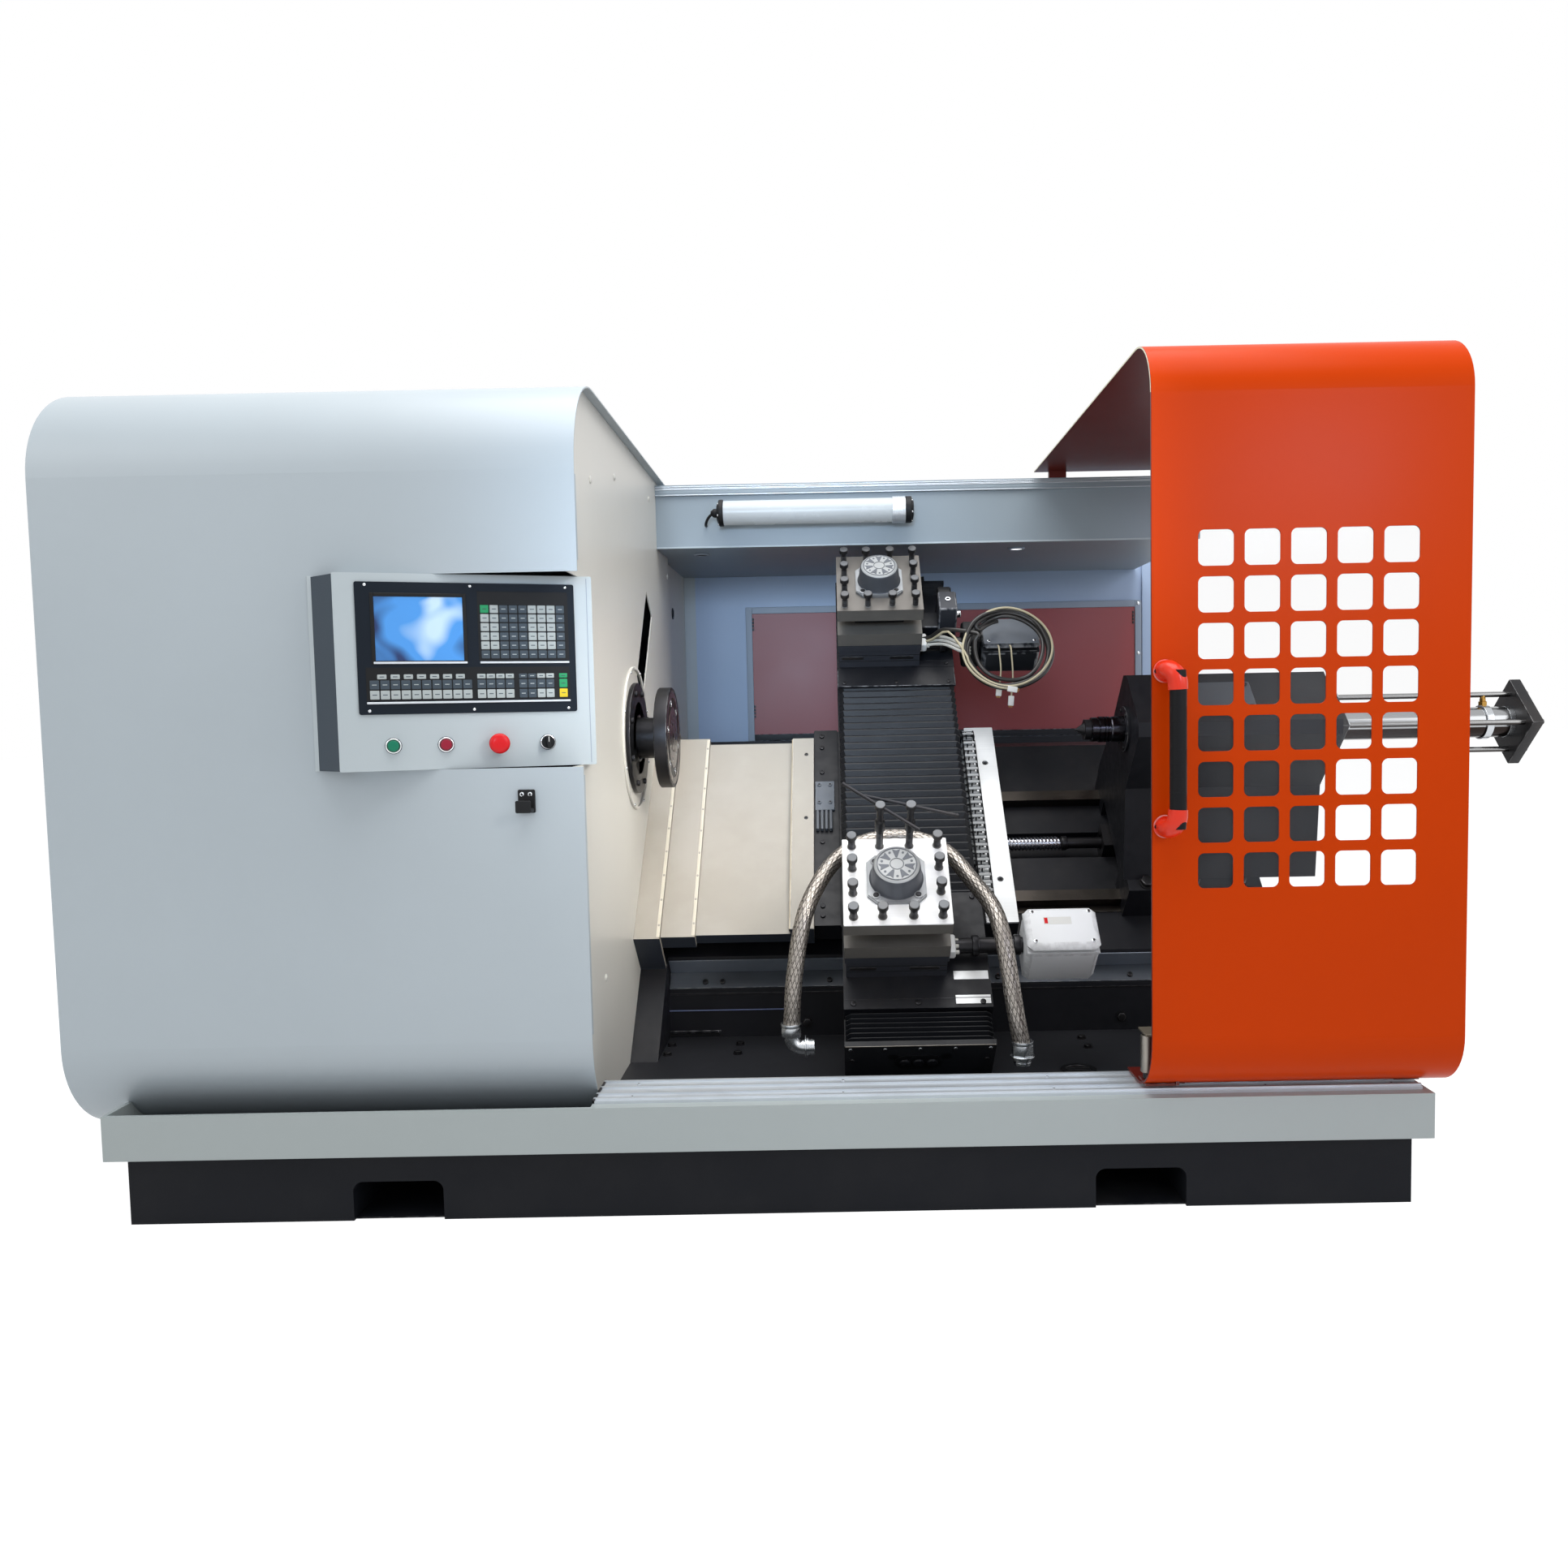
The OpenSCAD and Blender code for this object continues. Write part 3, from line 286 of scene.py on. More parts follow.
def brush_group() -> Tree:
    """The shared grinding-mark group."""
    return group("grinding_marks", {"Along": 4.0, "Across": 600.0}, ["Marks"], fill_brush)


def dust_group() -> Tree:
    """The shared dust group."""
    return group("settled_dust", {"Size": 5.0, "Amount": 0.3}, ["Mask"], fill_dust)


def rub_group() -> Tree:
    """The shared rubbed-edge group."""
    return group("rubbed_edges", {"Amount": 0.5}, ["Mask"], fill_rub)


def speck_group() -> Tree:
    """The shared casting-grain group."""
    return group("casting_grain", {"Size": 300.0}, ["Height"], fill_speck)


def srgb(red: int, green: int, blue: int) -> Colour:
    """A display colour as linear light.

    Args:
        red: 0 to 255.
        green: 0 to 255.
        blue: 0 to 255.

    Returns:
        Three linear values from 0 to 1.
    """
    shown = [v / 255 for v in (red, green, blue)]
    return tuple(v / 12.92 if v <= 0.04045 else ((v + 0.055) / 1.055) ** 2.4 for v in shown)


def shade(colour: Colour, share: float) -> Colour:
    """A colour made darker or lighter, up to full white."""
    return tuple(min(1.0, v * share) for v in colour)


# ---------------------------------------------------------------- finishes

class Finish:
    """One finish of the machine: a name and the material that it makes."""

    name: str

    def material(self) -> Material:
        """The finish's material, made on first use."""
        found = bpy.data.materials.get("finish_" + self.name)
        return found or self._make()

    def _make(self) -> Material:
        """Starts an empty material and lets the finish draw it.

        Returns:
            The material.
        """
        made = bpy.data.materials.new("finish_" + self.name)
        made.use_nodes = True
        made.node_tree.nodes.clear()
        shader = made.node_tree.nodes.new("ShaderNodeBsdfPrincipled")
        out = made.node_tree.nodes.new("ShaderNodeOutputMaterial")
        made.node_tree.links.new(shader.outputs[0], out.inputs[0])
        self.draw(made.node_tree, shader)
        return made

    def draw(self, tree: Tree, shader: Node) -> None:
        """Draws the finish on a Principled shader."""
        raise NotImplementedError


def mix(tree: Tree, mask: object, a: object, b: object, how: str = "MIX") -> Socket:
    """Mixes two colours by a mask.

    Args:
        tree: the tree it goes into.
        mask: value or socket from 0 to 1.
        a: first colour or socket.
        b: second colour or socket.
        how: Blender's blend type.

    Returns:
        The mixed colour.
    """
    made = tree.nodes.new("ShaderNodeMix")
    made.data_type = "RGBA"
    made.blend_type = how
    for socket, value in zip((made.inputs[0], made.inputs[6], made.inputs[7]), (mask, a, b)):
        if isinstance(value, Socket):
            tree.links.new(value, socket)
        elif isinstance(value, (int, float)):
            socket.default_value = value
        else:
            socket.default_value = (*value[:3], 1)
    return made.outputs[2]


def use(tree: Tree, made: Tree, **values: float) -> Node:
    """Places a node group with its own values.

    Args:
        tree: the material's tree.
        made: the group.
        values: its inputs, with "_" for a space.

    Returns:
        The group node.
    """
    placed = tree.nodes.new("ShaderNodeGroup")
    placed.node_tree = made
    for label, value in values.items():
        placed.inputs[label.replace("_", " ")].default_value = value
    return placed


def vary(tree: Tree, value: Socket, low: float, high: float) -> Socket:
    """Stretches a value from 0 to 1 over a range.

    Args:
        tree: the material's tree.
        value: the value.
        low: what 0 becomes.
        high: what 1 becomes.

    Returns:
        The stretched value.
    """
    return node(tree, "MapRange", {"Value": value, "To Min": low, "To Max": high}).outputs[0]


def bump(tree: Tree, height: Socket, strength: float, distance: float) -> Socket:
    """Turns a height into a normal.

    Args:
        tree: the material's tree.
        height: the height from 0 to 1.
        strength: share of the bump that shows.
        distance: depth of the bump in metres.

    Returns:
        The normal socket.
    """
    return node(tree, "Bump", {"Height": height, "Strength": strength, "Distance": distance}).outputs[0]


@dataclass(frozen=True)
class Paint(Finish):
    """Sprayed enamel on sheet or castings, with orange peel, dust and rubbed edges."""

    name: str
    colour: Colour
    roughness: float = 0.35
    peel: float = 0.12
    peel_size: float = 420.0
    dust: float = 0.08
    dust_colour: Colour = (0.32, 0.3, 0.27)
    rub: float = 0.4
    edge_wear_and_highlight_colour: Colour = (0.45, 0.45, 0.46)
    mottle: float = 0.06
    coat: float = 0.0
    specular: float = 0.5

    def draw(self, tree: Tree, shader: Node) -> None:
        """Draws the paint.

        Args:
            tree: the material's tree.
            shader: its Principled shader.
        """
        grain = use(tree, grain_group(), Fine_size=self.peel_size, Broad_size=2.5)
        dust = use(tree, dust_group(), Size=6.0, Amount=self.dust)
        rub = use(tree, rub_group(), Amount=self.rub)
        dark, light = shade(self.colour, 1 - 2 * self.mottle), shade(self.colour, 1 + self.mottle)
        body = mix(tree, grain.outputs["Broad"], dark, light)
        dusty = mix(tree, dust.outputs[0], body, self.dust_colour)
        tree.links.new(mix(tree, rub.outputs[0], dusty, self.edge_wear_and_highlight_colour), shader.inputs["Base Color"])
        spread = vary(tree, grain.outputs["Broad"], self.roughness - 0.06, self.roughness + 0.08)
        duller = math_node(tree, "ADD", spread, math_node(tree, "MULTIPLY", dust.outputs[0], 0.5))
        tree.links.new(duller, shader.inputs["Roughness"])
        tree.links.new(bump(tree, grain.outputs["Fine"], self.peel, 0.0004), shader.inputs["Normal"])
        shader.inputs["Coat Weight"].default_value = self.coat
        shader.inputs["Coat Roughness"].default_value = 0.12
        shader.inputs["Specular IOR Level"].default_value = self.specular


def facing(tree: Tree, axis: int, way: int, low: float, high: float) -> Socket:
    """Where a surface looks one way between two heights.

    Args:
        tree: the material's tree.
        axis: 0, 1 or 2 for x, y or z.
        way: 1 for towards larger values, -1 for the other way.
        low: lowest height in metres.
        high: highest height in metres.

    Returns:
        A mask.
    """
    normal = node(tree, "SeparateXYZ", {0: node(tree, "NewGeometry").outputs["Normal"]})
    height = node(tree, "SeparateXYZ", {0: node(tree, "TexCoord").outputs["Object"]}).outputs[2]
    towards = math_node(tree, "GREATER_THAN", math_node(tree, "MULTIPLY", normal.outputs[axis], way), 0.3)
    above = math_node(tree, "GREATER_THAN", height, low)
    below = math_node(tree, "LESS_THAN", height, high)
    return math_node(tree, "MULTIPLY", towards, math_node(tree, "MULTIPLY", above, below))


@dataclass(frozen=True)
class Lined(Finish):
    """A second colour over another finish, on the faces that look some ways: a second paint on some finishes,
    painted shade on others.
    """

    lining_and_shade: Colour = (0.0, 0.0, 0.0)
    faces: tuple[tuple[int, int, float, float], ...] = ()

    def draw(self, tree: Tree, shader: Node) -> None:
        """Draws the other finish and then the second colour.

        Args:
            tree: the material's tree.
            shader: its Principled shader.
        """
        super().draw(tree, shader)
        colour = shader.inputs["Base Color"].links[0].from_socket
        for face in self.faces:
            colour = mix(tree, facing(tree, *face), colour, self.lining_and_shade)
        tree.links.new(colour, shader.inputs["Base Color"])


@dataclass(frozen=True)
class LinedPaint(Lined, Paint):
    """Enamel with a second colour on some faces."""


@dataclass(frozen=True)
class Steel(Finish):
    """Bare or blackened metal with grinding marks and a film of oil or dirt."""

    name: str
    colour: Colour
    roughness: float = 0.32
    marks: float = 0.25
    along: float = 4.0
    across: float = 500.0
    stain: Colour = (0.12, 0.1, 0.085)
    stained: float = 0.25
    metallic: float = 1.0
    rub: float = 0.3

    def draw(self, tree: Tree, shader: Node) -> None:
        """Draws the metal.

        Args:
            tree: the material's tree.
            shader: its Principled shader.
        """
        brush = use(tree, brush_group(), Along=self.along, Across=self.across)
        grain = use(tree, grain_group(), Fine_size=900.0, Broad_size=9.0)
        rub = use(tree, rub_group(), Amount=self.rub)
        patch = node(tree, "MapRange", {
            "Value": grain.outputs["Broad"], "From Min": 0.45, "From Max": 0.75, "To Max": self.stained})
        body = mix(tree, brush.outputs[0], shade(self.colour, 0.84), shade(self.colour, 1.12))
        stained = mix(tree, patch.outputs[0], body, self.stain)
        bright = tuple(min(1.0, v + 0.22) for v in self.colour)
        tree.links.new(mix(tree, rub.outputs[0], stained, bright), shader.inputs["Base Color"])
        shader.inputs["Metallic"].default_value = self.metallic
        spread = vary(tree, brush.outputs[0], self.roughness - 0.08, self.roughness + 0.12)
        duller = math_node(tree, "ADD", spread, math_node(tree, "MULTIPLY", patch.outputs[0], 0.35))
        tree.links.new(duller, shader.inputs["Roughness"])
        tree.links.new(bump(tree, brush.outputs[0], self.marks, 0.0002), shader.inputs["Normal"])


@dataclass(frozen=True)
class LinedSteel(Lined, Steel):
    """Bare metal with a second colour on some faces, here a painted dark reflection on the faces that look
    down.
    """


@dataclass(frozen=True)
class Casting(Finish):
    """Black-painted cast iron with sand grain, oil sheen and chipped edges."""

    name: str
    colour: Colour
    roughness: float = 0.42
    grain: float = 0.35
    size: float = 260.0
    rub: float = 0.8
    dust: float = 0.25
    dust_colour: Colour = (0.11, 0.1, 0.09)
    metallic: float = 0.0
    specular: float = 0.25

    def draw(self, tree: Tree, shader: Node) -> None:
        """Draws the casting.

        Args:
            tree: the material's tree.
            shader: its Principled shader.
        """
        speck = use(tree, speck_group(), Size=self.size)
        broad = use(tree, grain_group(), Fine_size=40.0, Broad_size=7.0)
        dust = use(tree, dust_group(), Size=9.0, Amount=self.dust)
        rub = use(tree, rub_group(), Amount=self.rub)
        body = mix(tree, broad.outputs["Broad"], shade(self.colour, 0.75), shade(self.colour, 1.3))
        dusty = mix(tree, dust.outputs[0], body, self.dust_colour)
        tree.links.new(mix(tree, rub.outputs[0], dusty, (0.3, 0.3, 0.31)), shader.inputs["Base Color"])
        shader.inputs["Metallic"].default_value = self.metallic
        shader.inputs["Specular IOR Level"].default_value = self.specular
        spread = vary(tree, broad.outputs["Fine"], self.roughness - 0.14, self.roughness + 0.16)
        tree.links.new(spread, shader.inputs["Roughness"])
        tree.links.new(bump(tree, speck.outputs[0], self.grain, 0.0006), shader.inputs["Normal"])


@dataclass(frozen=True)
class Plastic(Finish):
    """Moulded plastic or rubber with a fine moulded grain."""

    name: str
    colour: Colour
    roughness: float = 0.4
    grain: float = 0.08
    size: float = 900.0
    glow: float = 0.0
    specular: float = 0.3

    def draw(self, tree: Tree, shader: Node) -> None:
        """Draws the plastic.

        Args:
            tree: the material's tree.
            shader: its Principled shader.
        """
        grain = use(tree, grain_group(), Fine_size=self.size, Broad_size=12.0)
        body = mix(tree, grain.outputs["Broad"], shade(self.colour, 0.88), self.colour)
        tree.links.new(body, shader.inputs["Base Color"])
        spread = vary(tree, grain.outputs["Broad"], self.roughness - 0.05, self.roughness + 0.07)
        tree.links.new(spread, shader.inputs["Roughness"])
        tree.links.new(bump(tree, grain.outputs["Fine"], self.grain, 0.0003), shader.inputs["Normal"])
        shader.inputs["Specular IOR Level"].default_value = self.specular
        if self.glow:
            shader.inputs["Emission Color"].default_value = (1, 1, 1, 1)
            shader.inputs["Emission Strength"].default_value = self.glow


@dataclass(frozen=True)
class ClearSheet(Finish):
    """Thin clear polycarbonate with faint scuffs."""

    name: str
    colour: Colour = (0.5, 0.52, 0.54)
    alpha: float = 0.03

    def draw(self, tree: Tree, shader: Node) -> None:
        """Draws the sheet.

        Args:
            tree: the material's tree.
            shader: its Principled shader.
        """
        grain = use(tree, grain_group(), Fine_size=120.0, Broad_size=5.0)
        body = mix(tree, grain.outputs["Broad"], (0.2, 0.22, 0.24), self.colour)
        tree.links.new(body, shader.inputs["Base Color"])
        seen = vary(tree, grain.outputs["Broad"], self.alpha * 0.7, self.alpha * 1.4)
        tree.links.new(seen, shader.inputs["Alpha"])
        shader.inputs["Roughness"].default_value = 0.08
        shader.inputs["Specular IOR Level"].default_value = 0.3


@dataclass(frozen=True)
class Screen(Finish):
    """A lit display with soft clouds of dark blue and white over its blue, which are painted reflections on
    its glass.
    """

    name: str = "display_glow"
    strength: float = 0.1

    def draw(self, tree: Tree, shader: Node) -> None:
        """Draws the display.

        Args:
            tree: the material's tree.
            shader: its Principled shader.
        """
        place = node(tree, "TexCoord").outputs["Object"]
        # Dark and white clouds over the blue: painted reflections, which glow with the screen.
        reflection_clouds = node(tree, "TexNoise", {"Vector": place, "Scale": 9.0, "Detail": 1.5, "Distortion": 0.6})
        shade = node(tree, "MapRange", {"Value": reflection_clouds.outputs[0], "From Min": 0.36, "From Max": 0.48})
        light = node(tree, "MapRange", {"Value": reflection_clouds.outputs[0], "From Min": 0.56, "From Max": 0.68})
        body = mix(tree, shade.outputs[0], srgb(18, 48, 100), srgb(72, 150, 226))
        colour = mix(tree, light.outputs[0], body, srgb(196, 224, 246))
        tree.links.new(colour, shader.inputs["Base Color"])
        tree.links.new(colour, shader.inputs["Emission Color"])
        shader.inputs["Emission Strength"].default_value = self.strength
        shader.inputs["Roughness"].default_value = 0.12


# ---------------------------------------------------------------- mesh kit

def turned(axis: str) -> Matrix:
    """Turns a shape made along z so that it lies along another axis.

    Args:
        axis: "x", "y" or "z", with "-" in front for the other way.

    Returns:
        The rotation.
    """
    towards = {"x": (1, 0, 0), "y": (0, 1, 0), "z": (0, 0, 1)}[axis[-1]]
    aim = Vector(towards) * (-1 if axis[0] == "-" else 1)
    return aim.to_track_quat("Z", "Y").to_matrix().to_4x4()


class Shape:
    """Collects solids in millimetres of one place and turns them into one piece."""

    def __init__(self, place: Matrix = WORLD) -> None:
        """Starts empty.

        Args:
            place: the place that the millimetres belong to.
        """
        self.place = place
        self.points: list[Vector] = []
        self.faces: list[tuple[int, ...]] = []
        self.slots: list[int] = []
        self.rubbed: list[bool] = []
        self.finishes: list[Finish] = []
        self.local = Matrix.Identity(4)

    def add(self, points: Iterable[Place], faces: Iterable[Sequence[int]], finish: Finish,
            rub: Iterable[bool] | None = None, turn: Matrix | None = None) -> None:
        """Adds a closed mesh.

        Args:
            points: its corners in millimetres.
            faces: its faces, seen from outside anticlockwise.
            finish: its finish.
            rub: which faces are edges that rub bright.
            turn: a matrix to put the corners through first.
        """
        if finish not in self.finishes:
            self.finishes.append(finish)
        slot, first = self.finishes.index(finish), len(self.points)
        way = self.local @ (turn or Matrix.Identity(4))
        self.points += [way @ Vector(p) for p in points]
        new = [tuple(first + i for i in f) for f in faces]
        self.faces += new
        self.slots += [slot] * len(new)
        self.rubbed += list(rub) if rub else [False] * len(new)

    def box(self, x: Span, y: Span, z: Span, finish: Finish, edge: float = 1.0) -> None:
        """Adds a box with chamfered edges.

        Args:
            x: its ends.
            y: its ends.
            z: its ends.
            finish: its finish.
            edge: the chamfer's width.
        """
        spans = (x, y, z)
        edge = min([edge] + [(s[1] - s[0]) * 0.45 for s in spans])
        middle = Vector([(s[0] + s[1]) / 2 for s in spans])
        points, index = [], {}
        for corner in range(8):
            bits = [corner >> i & 1 for i in range(3)]
            for face in range(3):
                place = [spans[i][b] + (0 if i == face else edge * (1 - 2 * b)) for i, b in enumerate(bits)]
                index[tuple(bits), face] = len(points)
                points.append(Vector(place))
        faces, rub = [], []

        def face(keys: list[tuple[tuple[int, ...], int]], worn: bool) -> None:
            """Adds one face, turned outwards.

            Args:
                keys: its corners, each by its bits and the axis that it isn't set back on.
                worn: whether it is an edge that rubs bright.
            """
            loop = [index[k] for k in keys]
            normal = (points[loop[1]] - points[loop[0]]).cross(points[loop[2]] - points[loop[0]])
            centre = sum((points[i] for i in loop), Vector()) / len(loop)
            faces.append(tuple(loop if normal.dot(centre - middle) > 0 else reversed(loop)))
            rub.append(worn)

        def bits_of(values: dict[int, int]) -> tuple[int, ...]:
            """A corner's bits in the order of the axes."""
            return tuple(values[i] for i in range(3))

        for axis in range(3):
            a, b = [i for i in range(3) if i != axis]
            for end in (0, 1):
                corners = ((0, 0), (1, 0), (1, 1), (0, 1))
                face([(bits_of({axis: end, a: i, b: j}), axis) for i, j in corners], False)
            for i in (0, 1):
                for j in (0, 1):
                    low, high = bits_of({axis: 0, a: i, b: j}), bits_of({axis: 1, a: i, b: j})
                    face([(low, a), (low, b), (high, b), (high, a)], True)
        for corner in range(8):
            bits = tuple(corner >> i & 1 for i in range(3))
            face([(bits, 0), (bits, 1), (bits, 2)], True)
        self.add(points, faces, finish, rub)

    def lathe(self, profile: Sequence[Point2], finish: Finish, axis: str = "z", sides: int = 32,
              centre: Place = (0, 0, 0), phase: float = 0.0) -> None:
        """Adds a turned solid.

        Args:
            profile: (radius, height) pairs, from the low end to the high one.
            finish: its finish.
            axis: the axis it is turned about.
            sides: facets round it.
            centre: where height 0 of its axis is.
            phase: turn of the first facet, in degrees.
        """
        profile = [(0.0, profile[0][1])] * (profile[0][0] > 0) + list(profile)
        profile += [(0.0, profile[-1][1])] * (profile[-1][0] > 0)
        points, rings = [], []
        for r, h in profile:
            if r == 0:
                rings.append([len(points)] * sides)
                points.append((0, 0, h))
                continue
            rings.append(list(range(len(points), len(points) + sides)))
            for k in range(sides):
                a = 2 * math.pi * k / sides + math.radians(phase)
                points.append((r * math.cos(a), r * math.sin(a), h))
        faces, rub = [], []
        for i, (low, high) in enumerate(zip(rings, rings[1:])):
            steep = abs(profile[i][0] - profile[i + 1][0])
            rise = abs(profile[i][1] - profile[i + 1][1])
            for k in range(sides):
                loop = [low[k], low[(k + 1) % sides], high[(k + 1) % sides], high[k]]
                clean = [v for j, v in enumerate(loop) if v != loop[j - 1]]
                if len(clean) > 2:
                    faces.append(tuple(clean))
                    rub.append(0 < steep < 3 and 0 < rise < 3)
        self.add(points, faces, finish, rub, Matrix.Translation(centre) @ turned(axis))

    def rod(self, r: float, ends: Span, finish: Finish, axis: str = "z", centre: Place = (0, 0, 0),
            edge: float = 0.8, sides: int = 32) -> None:
        """Adds a round bar with chamfered ends.

        Args:
            r: its radius.
            ends: where it starts and stops on its axis.
            finish: its finish.
            axis: its axis.
            centre: a point that it passes through.
            edge: the chamfer's width.
            sides: facets round it.
        """
        low, high = ends
        edge = min(edge, r * 0.4, (high - low) * 0.4)
        self.lathe([(r - edge, low), (r, low + edge), (r, high - edge), (r - edge, high)],
                   finish, axis, sides, centre)

    def ring(self, r: Span, ends: Span, finish: Finish, axis: str = "z", centre: Place = (0, 0, 0),
             sides: int = 32, edge: float = 0.6) -> None:
        """Adds a washer, collar or tube.

        Args:
            r: inner and outer radius.
            ends: where it starts and stops on its axis.
            finish: its finish.
            axis: its axis.
            centre: a point on its axis.
            sides: facets round it.
            edge: the chamfer's width.
        """
        a, b = ends
        e = min(edge, (r[1] - r[0]) * 0.3, (b - a) * 0.3)
        loop = [(r[0], a + e), (r[0] + e, a), (r[1] - e, a), (r[1], a + e),
                (r[1], b - e), (r[1] - e, b), (r[0] + e, b), (r[0], b - e)]
        points, faces, rub = [], [], []
        for k in range(sides):
            t = 2 * math.pi * k / sides
            points += [(q * math.cos(t), q * math.sin(t), h) for q, h in loop]
        n = len(loop)
        for k in range(sides):
            for i in range(n):
                j = (i + 1) % n
                here, there = k * n, (k + 1) % sides * n
                faces.append((here + i, there + i, there + j, here + j))
                rub.append(i in (0, 2, 4, 6) and edge > 0)
        self.add(points, faces, finish, rub, Matrix.Translation(centre) @ turned(axis))

    def prism(self, outline: Sequence[Point2], ends: Span, finish: Finish, axis: str = "z",
              holes: Sequence[Sequence[Point2]] = (), centre: Place = (0, 0, 0)) -> None:
        """Adds a straight-sided solid of any outline, with holes through it.

        Args:
            outline: its corners, anticlockwise.
            ends: where it starts and stops on its axis.
            finish: its finish.
            axis: "x" for an outline in y and z, "y" for x and z, "z" for x and y.
            holes: outlines of its holes.
            centre: an offset.
        """
        lift: dict[str, Callable[[Point2, float], tuple[float, float, float]]] = {
            "x": lambda p, h: (h, p[0], p[1]),
            "y": lambda p, h: (p[0], h, p[1]),
            "z": lambda p, h: (p[0], p[1], h)}
        loops = [list(outline), *[list(h) for h in holes]]
        flat = [p for loop in loops for p in loop]
        triangles = tessellate_polygon([[Vector((*p, 0)) for p in loop] for loop in loops])
        n = len(flat)
        points = [lift[axis](p, h) for h in ends for p in flat]
        faces: list[tuple[int, ...]] = []
        for a, b, c in triangles:
            area = (flat[b][0] - flat[a][0]) * (flat[c][1] - flat[a][1])
            area -= (flat[b][1] - flat[a][1]) * (flat[c][0] - flat[a][0])
            up = (a, b, c) if area > 0 else (c, b, a)
            faces += [tuple(i + n for i in up), tuple(reversed(up))]
        first = 0
        for number, loop in enumerate(loops):
            m = len(loop)
            area = sum(loop[i - 1][0] * loop[i][1] - loop[i][0] * loop[i - 1][1] for i in range(m))
            out = (area > 0) == (number == 0)
            for i in range(m):
                j = (i + 1) % m
                wall = (first + i, first + j, first + j + n, first + i + n)
                faces.append(wall if out else tuple(reversed(wall)))
            first += m
        if axis == "y":
            faces = [tuple(reversed(f)) for f in faces]
        self.add(points, faces, finish, None, Matrix.Translation(centre))

    def tube(self, line: Sequence[Place], r: float, finish: Finish, sides: int = 12) -> None:
        """Adds a round tube along a line.

        Args:
            line: the points that it follows.
            r: its radius.
            finish: its finish.
            sides: facets round it.
        """
        path = [Vector(p) for p in line]
        points, faces = [], []
        across = None
        for i, p in enumerate(path):
            along = (path[min(i + 1, len(path) - 1)] - path[max(i - 1, 0)]).normalized()
            if across is None:
                across = along.orthogonal().normalized()
            across = (across - along * across.dot(along)).normalized()
            up = along.cross(across)
            for k in range(sides):
                t = 2 * math.pi * k / sides
                points.append(p + (across * math.cos(t) + up * math.sin(t)) * r)
        for i in range(len(path) - 1):
            for k in range(sides):
                j = (k + 1) % sides
                faces.append((i * sides + k, i * sides + j, (i + 1) * sides + j, (i + 1) * sides + k))
        faces.append(tuple(range(sides - 1, -1, -1)))
        faces.append(tuple(range((len(path) - 1) * sides, len(path) * sides)))
        self.add(points, faces, finish)

    def hex_bolt(self, place: Place, across: float, height: float, finish: Finish,
                 axis: str = "z") -> None:
        """Adds a hexagon head with its washer.

        Args:
            place: the middle of its seat.
            across: its width across flats.
            height: the head's height.
            finish: its finish.
            axis: the way it points.
        """
        r = across / math.sqrt(3)
        self.lathe([(r * 1.22, 0), (r * 1.22, height * 0.18)], finish, axis, 20, place)
        self.lathe([(r, height * 0.18), (r, height * 0.88), (r * 0.86, height)], finish, axis, 6, place)

    def cap_screw(self, place: Place, r: float, height: float, finish: Finish, axis: str = "z") -> None:
        """Adds a round head whose socket is a flat black hexagon, painted shade for its recess.

        Args:
            place: the middle of its seat.
            r: the head's radius.
            height: the head's height.
            finish: its finish.
            axis: the way it points.
        """
        e = min(0.15 * r, 0.3 * height)
        self.lathe([(r, 0), (r, height - e), (r - e, height)], finish, axis, 16, place)
        # Flat black hexagon: painted shade in the socket.
        self.lathe([(r * 0.52, height), (r * 0.52, height + 0.25)], BLACK_PLASTIC, axis, 6, place)

    def piece(self, name: str, body: str, slot: str, stands_for: Sequence[str] = (),
              crease: float = 50.0) -> Piece:
        """Turns what was added into one piece that rides on a body.

        Args:
            name: the piece's name.
            body: the body that it moves with.
            slot: the record's material slot; not used.
            stands_for: CAD nodes that it replaces.
            crease: angle in degrees above which an edge looks sharp.

        Returns:
            The piece.
        """
        made = self.form(name, crease)
        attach(made, body)
        if stands_for:
            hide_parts(*stands_for)
        LOG.info("%s rides on %s with %d faces", name, body, len(made.data.polygons))
        return made

    def form(self, name: str, crease: float = 50.0) -> Piece:
        """Turns what was added into one object.

        Args:
            name: its name.
            crease: angle in degrees above which an edge looks sharp.

        Returns:
            The object.
        """
        mesh = bpy.data.meshes.new(name)
        mesh.from_pydata([self.place @ p for p in self.points], [], self.faces)
        mesh.polygons.foreach_set("material_index", self.slots)
        mesh.polygons.foreach_set("use_smooth", [True] * len(self.faces))
        worn = mesh.attributes.new("rub", "FLOAT", "FACE")
        worn.data.foreach_set("value", [float(v) for v in self.rubbed])
        for finish in self.finishes:
            mesh.materials.append(finish.material())
        mesh.set_sharp_from_angle(angle=math.radians(crease))
        mesh.validate()
        made = bpy.data.objects.new(name, mesh)
        bpy.context.scene.collection.objects.link(made)
        smooth = made.modifiers.new("even_normals", "WEIGHTED_NORMAL")
        smooth.keep_sharp = True
        return made


def coat(finish: Finish, *nodes: str) -> None:
    """Gives CAD nodes one finish.

    Args:
        finish: the finish.
        nodes: the nodes' names.
    """
    for name in nodes:
        data = frame["nodes"][name].data
        data.materials.clear()
        data.materials.append(finish.material())
        LOG.info("%s is finished in %s", name, finish.name)


